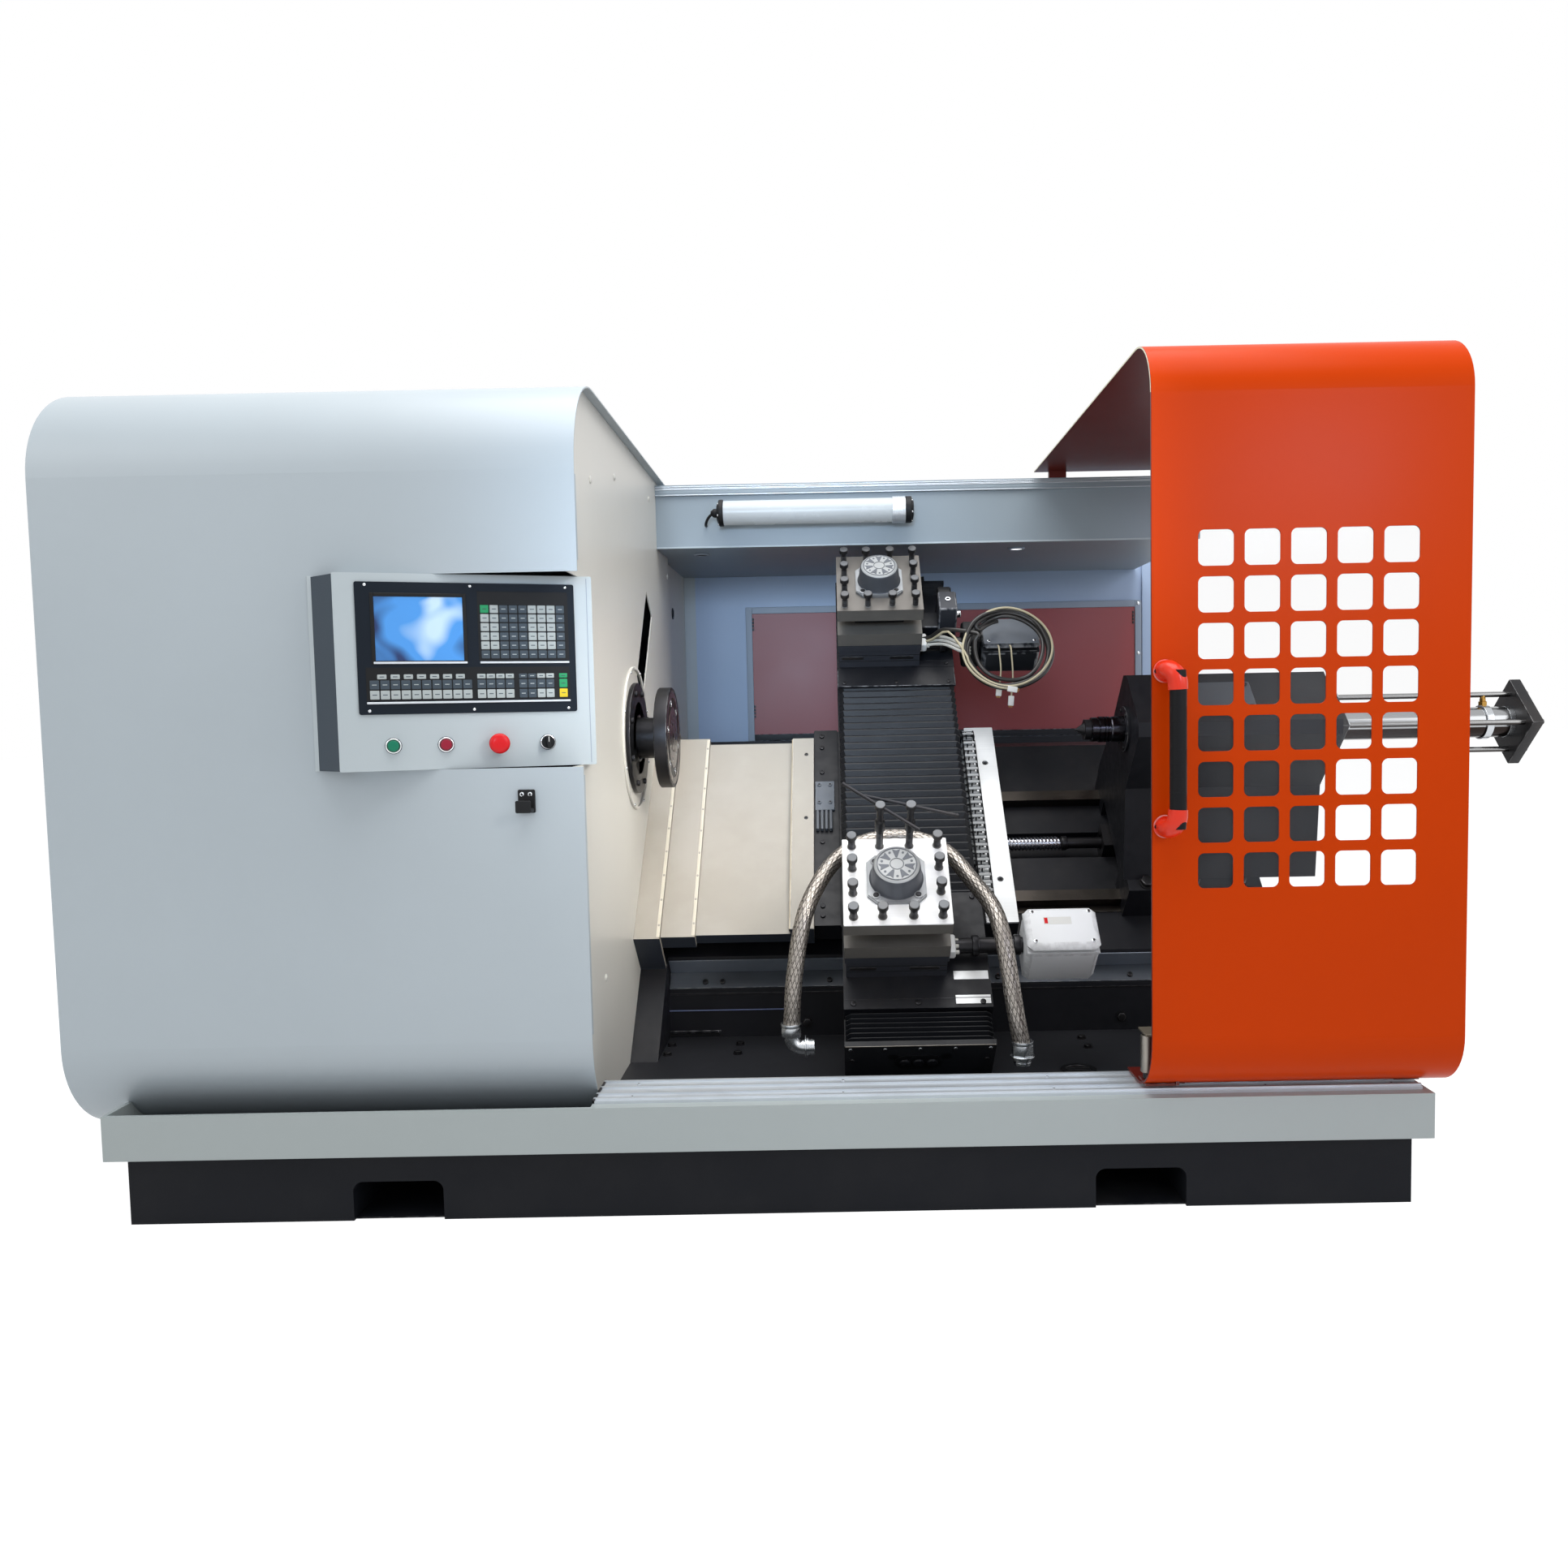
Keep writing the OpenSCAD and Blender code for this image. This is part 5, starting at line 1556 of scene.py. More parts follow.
    def on_coil(self, step: float, r: float, out: float) -> Vector:
        """A point on the leaning coil.

        Args:
            step: how far round it is, in steps of a turn.
            r: its distance from the coil's middle.
            out: its place along the coil's axis.

        Returns:
            The point, in millimetres of the row frame.
        """
        lean = Matrix.Translation(self.coil_at) @ Matrix.Rotation(math.radians(-self.coil_lean), 4, "X")
        angle = 2 * math.pi * step / self.turn_steps + math.radians(150)
        wave = 3.5 * math.sin(angle * 2 + r * 0.7)
        return lean @ Vector((r * math.cos(angle) * 1.04 + wave, out + wave, r * math.sin(angle)))

    def coil(self) -> None:
        """Black lead in a coil over the rear turret's motor, with a beige lead round it."""
        line = [Vector(p) for p in self.coil_start]
        for k in range(self.turns * self.turn_steps):
            i, share = divmod(k, self.turn_steps)
            a, b, t = self.wander[i], self.wander[i + 1], share / self.turn_steps
            line.append(self.on_coil(k, self.coil_r + a[0] * (1 - t) + b[0] * t, a[1] * (1 - t) + b[1] * t))
        line += [Vector(p) for p in self.coil_end]
        Cord("motor_lead_coil", line, 6, CABLE_DARK, "rear_slide", "black_plastic", WORLD, ["cable_coil"],
             sides=10, steps=3, lay="coiled").build()
        beige = [Vector(p) for p in self.beige_start]
        beige += [self.on_coil(k, self.coil_r + 2 + 7 * k / self.turn_steps, -13)
                  for k in range(3, self.turn_steps + 10)]
        plug = self.plug(beige, "lead_connector")
        self.signals()
        for k in range(3):
            light = [Vector((x, y + k * dy, z + k * dz))
                     for (x, y, z), (dy, dz) in zip(self.motor_cable, self.motor_cable_steps)]
            Cord(f"motor_cable_{k + 1}", light, 4.4, CABLE_GREY, "rear_slide", "black_plastic", WORLD,
                 sides=10, steps=6).build()
        Cord("beige_lead", beige, 3.4, CABLE_BEIGE, "rear_slide", "black_plastic", WORLD,
             sides=8, steps=3, lay="coiled", far_end="connector").build([plug])

    def signals(self) -> None:
        """Two thin beige leads that hang inside the coil, each with its plug."""
        for name, x, drop in self.signal_leads:
            hang = [Vector((x, 128, 1172)), Vector((x + 1, 118, 1168)), Vector((x + 2, 111, 1150)),
                    Vector((x + 5, 108, 1172 - drop * 0.6)), Vector((x, 108, 1172 - drop))]
            end = self.plug(hang, name + "_plug")
            Cord(name, hang, 2.4, CABLE_BEIGE, "rear_slide", "black_plastic", WORLD,
                 sides=8, steps=5, lay="hanging", far_end="connector").build([end])

    @staticmethod
    def plug(line: Sequence[Vector], name: str) -> Piece:
        """White connector on a lead's end.

        Args:
            line: the lead's points.
            name: the connector's name.

        Returns:
            The connector.
        """
        shape = Shape()
        way = (line[-1] - line[-2]).normalized()
        shape.local = Matrix.Translation(line[-1]) @ way.to_track_quat("Z", "X").to_matrix().to_4x4()
        shape.box((-8, 8), (-5, 5), (-2, 26), WHITE_PLASTIC, 1.5)
        for x in (-4, 0, 4):
            shape.box((x - 0.8, x + 0.8), (-0.8, 0.8), (24, 31), BRASS, 0.2)
        return shape.piece(name, "rear_slide", "lamp_white")


# ---------------------------------------------------------------- base and covers

@dataclass
class Base:
    """Plinth, tray and the door's track."""

    screw_x: tuple[float, ...] = (-270, 150, 570, 990, 1240)
    pocket_x: float = 739

    def build(self) -> None:
        """Finishes the base, adds the track's screws and puts black plates of painted shade in the fork
        pockets.
        """
        coat(PLINTH_BLACK, "plinth")
        coat(TRAY_GREY, "tray")
        coat(ALUMINIUM, "door_track")
        low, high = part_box("door_track")
        x0, y0, y1, z0, z1 = (v / MM for v in (low.x, low.y, high.y, low.z, high.z))
        shape = Shape()
        for x in self.screw_x:
            for y in (y0 + 20, y0 + 97):
                shape.cap_screw((x, y, z1 - 4), 4, 2.6, ALUMINIUM)
        shape.box((x0 - 1, x0 + 4), (y0, y1), (z0, z1 - 1), DARK_STEEL)
        shape.piece("track_screws", "machine", "dark_steel")
        low, high = span_box("plinth")
        # Black plates on the pockets' floors stand for the shade inside the pockets: painted shade.
        shade_plates = Shape()
        for x in (-self.pocket_x, self.pocket_x):
            shade_plates.box((x - 90, x + 90), (low.y + 8, high.y - 8), (0.5, 3), PLINTH_BLACK, 0.4)
        shade_plates.piece("fork_pocket_shade_plates", "machine", "black_paint")


@dataclass
class HeadstockCover:
    """Cover, partition, spindle nose and face plate."""

    hook: tuple[float, float] = (-460, 832)
    lips: tuple[Span, Span] = ((360, 880), (1300, 1465))
    partition_screws: Sequence[Point2] = (
        (-700, 1500), (-700, 420), (-420, 1560), (100, 1600), (430, 1420), (430, 1000))
    ring_screws: int = 8
    plate_r: float = 128.0
    hole_circle_r: float = 90.0
    screw_circle_r: float = 56.0
    seal_r: float = 141.5

    def build(self) -> None:
        """Finishes the cover and what it encloses, and builds the nose."""
        coat(COVER_WHITE, "headstock_cover")
        coat(PARTITION_WHITE, "partition")
        coat(CAST_BLACK, "headstock_housing")
        coat(GROUND, "spindle_bearings")
        coat(DARK_STEEL, "spindle", "motor_pulley")
        coat(BELT_RUBBER, "drive_belt")
        coat(MOTOR_BLACK, "main_motor")
        self.seams()
        self.cable_hook()
        self.rings()
        self.face_plate()

    def seams(self) -> None:
        """Folded lip along the cover's open edge and screws along the partition."""
        low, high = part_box("headstock_cover")
        right, front = high.x / MM, low.y / MM
        shape = Shape()
        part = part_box("partition")[1].x / MM
        for y, z in self.partition_screws:
            shape.lathe([(8, 0), (8, 1.5), (5.5, 3.4), (0, 4)], PARTITION_WHITE, "x", 20, (part, y, z))
        for lip in self.lips:
            shape.box((right - 3, right), (front + 3, front + 14), lip, COVER_WHITE, 0.8)
        shape.piece("cover_lips", "machine", "white_paint")

    def cable_hook(self) -> None:
        """Small black cable hook under the control box."""
        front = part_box("headstock_cover")[0].y / MM
        x, z = self.hook
        shape = Shape()
        shape.box((x - 17, x + 17), (front - 5, front), (z - 24, z + 22), BLACK_PLASTIC, 2)
        shape.box((x - 15, x + 15), (front - 30, front - 5), (z - 22, z - 14), BLACK_PLASTIC, 2)
        shape.box((x - 15, x + 15), (front - 34, front - 28), (z - 22, z + 2), BLACK_PLASTIC, 2)
        for side in (-8, 8):
            shape.cap_screw((x + side, front - 5, z + 13), 4.5, 3, ZINC, "-y")
        shape.piece("cable_hook", "machine", "black_plastic")

    def rings(self) -> None:
        """Seal ring and guard ring behind the face plate, with their screws."""
        low, high = span_box("spindle_rings", SLOPE)
        outer, back, front = high.y, low.x, high.x
        shape = Shape(SLOPE)
        shape.ring((54, self.seal_r), (back, front), DARK_STEEL, "x", sides=64, edge=2)
        shape.ring((60, 92), (front - 1, front), BLACK_PLASTIC, "x", sides=64)
        shape.ring((outer - 8, outer), (back, back + 6), PARTITION_WHITE, "x", sides=72, edge=1)
        for inside, outside in zip(around(self.ring_screws, 122, 22.5),
                                   around(self.ring_screws, outer - 4, 22.5)):
            shape.cap_screw((front - 1, *inside), 7.5, 7, DARK_STEEL, "x")
            shape.lathe([(3.4, 0), (3.4, 1.5), (3.4 - 1, 2.4)], ZINC, "x", 16, (back + 6, *outside))
        shape.piece("seal_and_guard_rings", "machine", "dark_steel", ["spindle_rings"])

    def face_plate(self) -> None:
        """Face plate with its turned steps, bolt holes and screws."""
        low, high = span_box("face_plate", SLOPE)
        back, front = low.x, high.x
        shape = Shape(SLOPE)
        hole_places = around(6, self.hole_circle_r)
        holes = [circle(6.5, 16, place) for place in hole_places]
        outline = circle(self.plate_r - 2, 96)
        shape.prism(outline, (back + 1.5, front - 1.5), DARK_STEEL, "x", [*holes, circle(12, 32)])
        shape.ring((self.plate_r - 7, self.plate_r), (back, front), DARK_STEEL, "x", sides=96, edge=2)
        for inner, outer in ((12.2, 34), (36.5, 78), (102, 119)):
            shape.ring((inner, outer), (front - 2, front - 0.4), TURNED_DARK, "x", sides=72, edge=0.5)
        for place in around(6, self.screw_circle_r, 30):
            shape.lathe([(7, 0), (7, 1.2), (6.4, 1.6)], BRIGHT, "x", 20, (front - 1.6, *place))
            # Flat black hexagons: painted shade in the sockets.
            shape.lathe([(3.6, 0), (3.6, 0.2)], BLACK_PLASTIC, "x", 6, (front - 0.05, *place))
        for place in hole_places:
            shape.ring((6.6, 9.2), (front - 1.6, front - 0.3), BRIGHT, "x", (0, *place), 20)
        shape.piece("face_plate_turned", "spindle", "dark_steel", ["face_plate"])


@dataclass
class ControlBox:
    """Control box with its screen, keys and buttons, in millimetres on its face."""

    width: float = 486.0
    height: float = 380.0
    depth: float = 120.0
    bezel: tuple[Span, Span] = ((39, 450), (109, 363))
    screen: tuple[Span, Span] = ((73, 235), (212, 335))
    keys: tuple[Span, Span] = ((263, 437), (212, 347))
    key_columns: int = 9
    key_rows: int = 6
    strip: tuple[Span, Span] = ((54, 437), (135, 199))
    strip_groups: tuple[tuple[float, float, int], ...] = (
        (60, 250, 10), (258, 330, 4), (338, 408, 4), (416, 434, 1))
    button_z: float = 48.0
    button_u: tuple[float, ...] = (98, 195, 295, 390)

    def build(self) -> None:
        """Builds the box, the panel and the buttons."""
        self.case()
        self.panel()
        self.key_field()
        self.key_strip()
        self.buttons()

    def case(self) -> None:
        """Sheet metal box with a raised front, and the flared plate that joins it to the cover, dark grey as
        painted shade for the box's left side.
        """
        shape = Shape(PANEL)
        holes = [circle(11.3, 24, (u, self.button_z)) for u in self.button_u]
        shape.prism(round_rect((0, self.width), (0, self.height), 3), (0, 22), BOX_GREY, "y", holes)
        shape.box((1, self.width - 1), (22, self.depth), (1, self.height - 1), BOX_GREY, 1.5)
        shape.box((self.width - 11, self.width - 9.6), (-0.5, 0.3), (4, self.height - 4), FRAME_BLUE, 0.2)
        shape.piece("control_case", "machine", "light_box_paint", ["control_box"])
        plate = Shape()
        corner, wall = PANEL @ Vector() / MM, span_box("headstock_cover")[0].y
        left, foot, top = corner.x, corner.z, corner.z + self.height
        flare = [(left + 1, corner.y + 4), (left - 68, wall - 0.5), (left + 10, wall - 0.5)]
        # The flared side is dark grey: painted shade.
        plate.prism(flare, (foot + 1, top - 2), SHADE_GREY)
        plate.box((left - 72, left - 60), (wall - 4, wall - 0.4), (foot, top), BOX_GREY, 0.8)
        plate.piece("control_box_flare", "machine", "light_box_paint")

    def panel(self) -> None:
        """Black front plate with the screen, trim bars and screws."""
        (u0, u1), (z0, z1) = self.bezel
        shape = Shape(PANEL)
        shape.prism(round_rect((u0, u1), (z0, z1), 4), (-3, 0), BEZEL_BLACK, "y")
        (s0, s1), (t0, t1) = self.screen
        for x, z in border(*self.screen, 7):
            shape.box(x, (-5, -2.8), z, BLACK_PLASTIC, 1)
        shape.box((s0, s1), (-3.6, -2.9), (t0, t1), SCREEN, 0.2)
        under_screen, under_keys = (t0 - 6, t0 - 2), (z0 + 20, z0 + 24)
        for x, z in (((s0 - 4, s1 + 6), under_screen), ((265, self.keys[0][1]), under_screen),
                     (self.strip[0], under_keys)):
            shape.box(x, (-5.6, -2.9), z, ALUMINIUM, 0.6)
        for u in (u0 + 19, (u0 + u1) / 2 + 6, u1 - 17):
            for z in (z0 + 7, z1 - 6):
                shape.lathe([(2.7, 0), (2.7, 1.0), (1.9, 1.6), (0, 1.8)], ZINC, "-y", 16, (u, -2.9, z))
        shape.piece("control_front", "machine", "black_plastic", ["control_panel"])

    def key(self, shape: Shape, u: Span, z: Span, finish: Finish) -> None:
        """Adds one key with a printed mark.

        Args:
            shape: the shape it goes into.
            u: its ends along the face.
            z: its ends in height.
            finish: its colour.
        """
        shape.box(u, (-5.2, -3), z, finish, 0.9)
        inset, middle = (u[1] - u[0]) * 0.25, (z[0] + z[1]) / 2
        shape.box((u[0] + inset, u[1] - inset), (-5.4, -5.1), (middle - 0.8, middle + 0.8),
                  KEY_GREY if finish is KEY_DARK else KEY_DARK, 0.1)

    def key_field(self) -> None:
        """Field of nine by six keys right of the screen."""
        (u0, u1), (z0, z1) = self.keys
        shape = Shape(PANEL)
        shape.box((u0, u1), (-3.6, -2.9), (z0, z1), BLACK_PLASTIC, 0.3)
        columns, rows = self.key_columns, self.key_rows
        wide, tall = (u1 - u0 - 10) / columns, (z1 - z0 - 28) / rows
        for i in range(columns):
            for j in range(rows):
                u, z = u0 + 5 + i * wide, z0 + 4 + j * tall
                finish = KEY_GREY if j and (i < 2 or 4 < i < 8) else KEY_DARK
                if (i, j) == (0, rows - 1):
                    finish = KEY_GREEN
                self.key(shape, (u, u + wide - 2.4), (z, z + tall - 2.4), finish)
        shape.piece("control_key_field", "machine", "black_plastic")

    def key_strip(self) -> None:
        """Three rows of machine keys under the screen, in four groups."""
        (u0, u1), (z0, z1) = self.strip
        shape = Shape(PANEL)
        shape.box((u0, u1), (-3.6, -2.9), (z0, z1), BLACK_PLASTIC, 0.3)
        tall = (z1 - z0 - 6) / 3
        for start, stop, columns in self.strip_groups:
            wide = (stop - start) / columns
            for i in range(columns):
                for j in range(3):
                    if columns == 10 and j == 2 and i > 6:
                        continue
                    u, z = start + i * wide, z0 + 3 + j * tall
                    finish = KEY_DARK if j == 1 or (columns == 4 and i < 2 and start > 300) else KEY_GREY
                    if columns == 1:
                        finish = (KEY_YELLOW, KEY_GREEN, KEY_GREEN)[j]
                    if columns == 10 and j == 2:
                        u, finish = start + 14 + i * 24, KEY_GREY
                    self.key(shape, (u, u + wide - 2.2), (z, z + (9 if j == 2 else tall - 2.4)), finish)
        shape.piece("control_key_strip", "machine", "black_plastic")

    def buttons(self) -> None:
        """Chrome collars and the four operators."""
        collars = Shape(PANEL)
        for u in self.button_u:
            collars.ring((11.2, 14.8), (0.5, 3.6), CHROME, "-y", (u, 0, self.button_z), 40, 1.2)
            # A dark ring round each collar: painted shadow.
            collars.ring((11.4, 15.8), (-0.2, 0.7), SHADE_GREY, "-y", (u, 0, self.button_z), 40, 0.2)
        collars.piece("button_collars", "machine", "zinc")
        green, red, stop, knob = self.button_u
        for u, name, finish, slot in ((green, "green_button", BUTTON_GREEN, "green_plastic"),
                                      (red, "red_button", BUTTON_RED, "red_plastic")):
            shape = Shape(PANEL)
            shape.lathe([(10.6, -14), (10.6, 8.2), (9.8, 9.6), (7.5, 10)], finish, "-y", 40,
                        (u, 0, self.button_z))
            shape.piece(name + "_cap", name, slot, [name])
        shape = Shape(PANEL)
        shape.lathe([(10.6, -14), (10.6, 15.5)], STOP_RED, "-y", 40, (stop, 0, self.button_z))
        shape.lathe([(14, 15.5), (18.5, 17.5), (20, 20), (20, 24), (18.8, 27.2), (15, 29.3), (9, 29.9),
                     (0, 30)],
                    STOP_RED, "-y", 48, (stop, 0, self.button_z))
        shape.piece("emergency_stop_cap", "emergency_stop", "red_plastic", ["emergency_stop"])
        shape = Shape(PANEL)
        u, z = knob, self.button_z
        shape.lathe([(10.6, -14), (10.6, 4), (13, 5), (13, 11.5), (12, 13)], BLACK_PLASTIC, "-y", 40,
                    (u, 0, z))
        shape.box((u - 4, u + 4), (-24, -12), (z - 12, z + 12), BLACK_PLASTIC, 1.6)
        shape.box((u - 0.7, u + 0.7), (-24.2, -23.8), (z + 1, z + 11), WHITE_PLASTIC, 0.1)
        shape.piece("selector_knob", "selector", "black_plastic", ["selector"])


# ---------------------------------------------------------------- roof, rear wall, way covers, bed

@dataclass
class RoofAndRear:
    """Roof beam with its lamp, rear wall and the framed access panel."""

    frame_w: float = 23.0
    rail_left: float = -366.0
    spot_x: tuple[float, float] = (-250, 707)
    spot_y: float = 360.0
    hinge_z: float = 60.0
    lock_share: tuple[float, float] = (0.28, 0.72)
    grommet: Place = (0, 673, 1326)
    skirt: tuple[Span, float] = ((-345, 1248), 560)

    def build(self) -> None:
        """Finishes the beam and wall and builds the lamp and trim."""
        # The roof beam is in the covers' white, darkened as painted shade.
        coat(BEAM_WHITE_SHADED, "roof_beam")
        coat(REAR_BLUE, "rear_wall")
        # The access panel is the door's orange in painted shade.
        coat(PANEL_ORANGE_SHADED, "access_panel")
        self.beam_trim()
        self.spots()
        self.panel_frame()
        self.lamp()

    def beam_trim(self) -> None:
        """Fine ribs of the top rail and the folded hem under the beam."""
        low, high = span_box("roof_beam")
        left, right, front, top, bottom = self.rail_left, high.x - 1, low.y, high.z, low.z
        shape = Shape()
        for z in (top - 5, top - 10, top - 13, top - 29):
            shape.box((left, right), (front - 1.4, front + 0.5), (z - 1.1, z + 1.1), ALUMINIUM, 0.5)
        shape.box((left, right), (front - 0.7, front + 0.4), (top - 24, top - 18), BEAM_WHITE_SHADED, 0.3)
        # The hem keeps the lighter cover white, so it shows as a painted highlight along the shaded beam's
        # lower edge.
        shape.box((left, right), (front + 6.5, front + 8.2), (bottom, bottom + 5), COVER_WHITE, 0.7)
        shape.piece("beam_rail_ribs", "machine", "aluminium")

    def spots(self) -> None:
        """Two small round lights in the roof's underside, one of them lit."""
        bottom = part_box("roof_beam")[0].z / MM
        shape = Shape()
        for x, finish in zip(self.spot_x, (BLACK_PLASTIC, SPOT_GLOW)):
            shape.ring((18, 25), (bottom - 5, bottom + 1), FRAME_BLUE, "z", (x, self.spot_y, 0), 32, 1.5)
            shape.lathe([(18.2, bottom - 3), (18.2, bottom + 1)], finish, "z", 32, (x, self.spot_y, 0))
        shape.piece("roof_spots", "machine", "lamp_white")

    def panel_frame(self) -> None:
        """Frame round the access panel with its hinges and locks."""
        low, high = span_box("access_panel")
        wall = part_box("rear_wall")[0].y / MM
        x0, x1, z0, z1, y = low.x, high.x, low.z, high.z, low.y
        shape = Shape()
        strips = border((x0, x1), (z0, z1), self.frame_w)
        for (a, b), finish in zip(strips, (FRAME_BLUE, FRAME_BLUE, FRAME_BLUE, CAST_BLACK)):
            shape.box(a, (y - 5, max(wall, y + 1)), b, finish, 1.2)
        skirt_x, skirt_foot = self.skirt
        shape.box(skirt_x, (wall - 3, wall + 0.5), (skirt_foot, z0 - self.frame_w - 1), CAST_BLACK, 0.5)
        for x in (x0 + 3, x1 - 6):
            for z in (z1 - self.hinge_z, z0 + self.hinge_z):
                for knuckle in range(4):
                    foot = z + 12 * knuckle
                    shape.box((x - 3, x + 3), (y - 4, y), (foot, foot + 9), DARK_STEEL, 1)
        for x in (x0 + (x1 - x0) * share for share in self.lock_share):
            shape.lathe([(13, 0), (13, 2), (11, 4), (5, 4.5), (5, 3.5)], ZINC, "-y", 28, (x, y, z1 - 26))
            # A black slot in each lock: painted shade for the keyhole.
            shape.box((x - 1, x + 1), (y - 4.4, y - 3.4), (z1 - 30, z1 - 22), BLACK_PLASTIC, 0.1)
        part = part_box("partition")[1].x / MM - 20
        shape.ring((13, 19), (part - 1, part + 3), DARK_STEEL, "x", self.grommet, 28, 1)
        for z in (1440, 1180, 920):
            shape.lathe([(6, 0), (6, 1), (4, 2.4)], ZINC, "-y", 16, (x1 + 11, y - 5, min(z, z1 + 12)))
        low, high = span_box("rear_wall")
        shape.box((high.x - 1, high.x + 35), (low.y - 2, high.y - 2), (low.z + 2, high.z - 4), REAR_BLUE, 1.5)
        shape.piece("panel_frame", "machine", "light_box_paint")

    def lamp(self) -> None:
        """Tube lamp: opal tube, end caps, clamp band, gland and brackets."""
        low, high = span_box("tube_lamp")
        x0, x1, y, z = low.x, high.x + 20, Cords.lamp_y(), (low.z + high.z) / 2
        shape = Shape()
        shape.rod(34.5, (x0 + 14, x1 - 16), LAMP_OPAL, "x", (0, y, z), 1, 64)
        for a, b in ((x0 + 8, x0 + 22), (x1 - 24, x1 - 6)):
            shape.ring((20, 38), (a, b), BLACK_PLASTIC, "x", (0, y, z), 48, 2)
        shape.lathe([(22, x0 + 2), (30, x0 + 5), (31, x0 + 9)], BLACK_PLASTIC, "x", 40, (0, y, z))
        shape.lathe([(31, x1 - 7), (30, x1 - 2), (22, x1)], BLACK_PLASTIC, "x", 40, (0, y, z))
        for dy, dz in around(6, 34, 20):
            for x, way in ((x0 + 8, "-x"), (x1 - 6, "x")):
                shape.lathe([(3.2, 0), (3.2, 2), (2, 3)], ZINC, way, 10, (x, y + dy, z + dz))
        shape.ring((34, 37.6), (x1 - 62, x1 - 24), ALUMINIUM, "x", (0, y, z), 56, 1)
        for k in range(5):
            shape.ring((37, 38.2), (x1 - 58 + 7 * k, x1 - 55 + 7 * k), ALUMINIUM, "x", (0, y, z), 56, 0.4)
        shape.lathe([(11, x0 - 10), (13, x0 - 6), (13, x0 + 3)], BLACK_PLASTIC, "x", 20, (0, y, z))
        shape.lathe([(6, x0 - 16), (10, x0 - 10), (10, x0 - 4)], BLACK_PLASTIC, "x", 20, (0, y, z))
        for x in (x0 + 43, high.x - 43):
            shape.box((x - 13, x + 13), (y + 33, high.y), (z - 14, z + 14), ZINC, 2)
        shape.piece("lamp_tube", "machine", "lamp_white", ["tube_lamp"])


@dataclass
class ServiceSide:
    """Screwed panels, louvres and cable glands on the back and the left end."""

    vents: int = 9
    cover_panel_z: Span = (420, 1560)
    wall_panel_z: Span = (300, 1400)
    back_louvre_z: Span = (520, 1300)
    side_louvre_y: Span = (-420, 260)
    side_louvre_z: float = 620.0
    gland_z: float = 330.0

    def build(self) -> None:
        """Builds the panels."""
        cover, wall = span_box("headstock_cover"), span_box("rear_wall")
        back, left, middle = cover[1].y, cover[0].x, (wall[0].x + wall[1].x) / 2
        shape = Shape()
        self.panel(shape, (left + 90, cover[1].x - 110), self.cover_panel_z, back)
        self.panel(shape, (wall[0].x + 180, middle - 10), self.wall_panel_z, back)
        self.panel(shape, (middle + 10, wall[1].x - 60), self.wall_panel_z, back)
        for z in self.back_louvre_z:
            for x in (left + 210, left + 560):
                self.louvres(shape, Matrix.Translation((x, back + 1, z)))
        turn = Matrix.Rotation(math.radians(90), 4, "Z")
        for y in self.side_louvre_y:
            self.louvres(shape, Matrix.Translation((left, y, self.side_louvre_z)) @ turn)
        for k in range(4):
            place = (left + 140 + 60 * k, 0, self.gland_z)
            shape.rod(16 - 3 * (k % 2), (back - 1, back + 7), BLACK_PLASTIC, "y", place, 2, 24)
        shape.piece("service_panels", "machine", "white_paint")

    @staticmethod
    def panel(shape: Shape, x: Span, z: Span, back: float) -> None:
        """Adds a screwed sheet panel on the back.

        Args:
            shape: the shape it goes into.
            x: its ends.
            z: its ends in height.
            back: the wall's outside.
        """
        shape.prism(round_rect(x, z, 12), (back - 0.5, back + 1.8), COVER_WHITE, "y")
        for i in range(4):
            for j in range(4):
                if i in (0, 3) or j in (0, 3):
                    place = (x[0] + 16 + (x[1] - x[0] - 32) * i / 3, back + 1.7,
                             z[0] + 16 + (z[1] - z[0] - 32) * j / 3)
                    shape.lathe([(6, 0), (5.6, 1.6), (3.6, 2.8), (0, 3)], ZINC, "y", 16, place)

    def louvres(self, shape: Shape, place: Matrix) -> None:
        """Adds a field of pressed louvres.

        Args:
            shape: the shape it goes into.
            place: the field's lower left corner, its outside along y.
        """
        for k in range(self.vents):
            shape.local = place @ Matrix.Translation((0, 0, 20 * k))
            shape.prism([(0, 0), (6, 3), (6, 5), (0, 14)], (0, 220), COVER_WHITE, "x")
            # A black strip in each louvre: painted shade for its opening.
            shape.box((4, 216), (0.2, 5.6), (1.4, 2.8), BLACK_PLASTIC, 0.3)
        shape.local = Matrix.Identity(4)


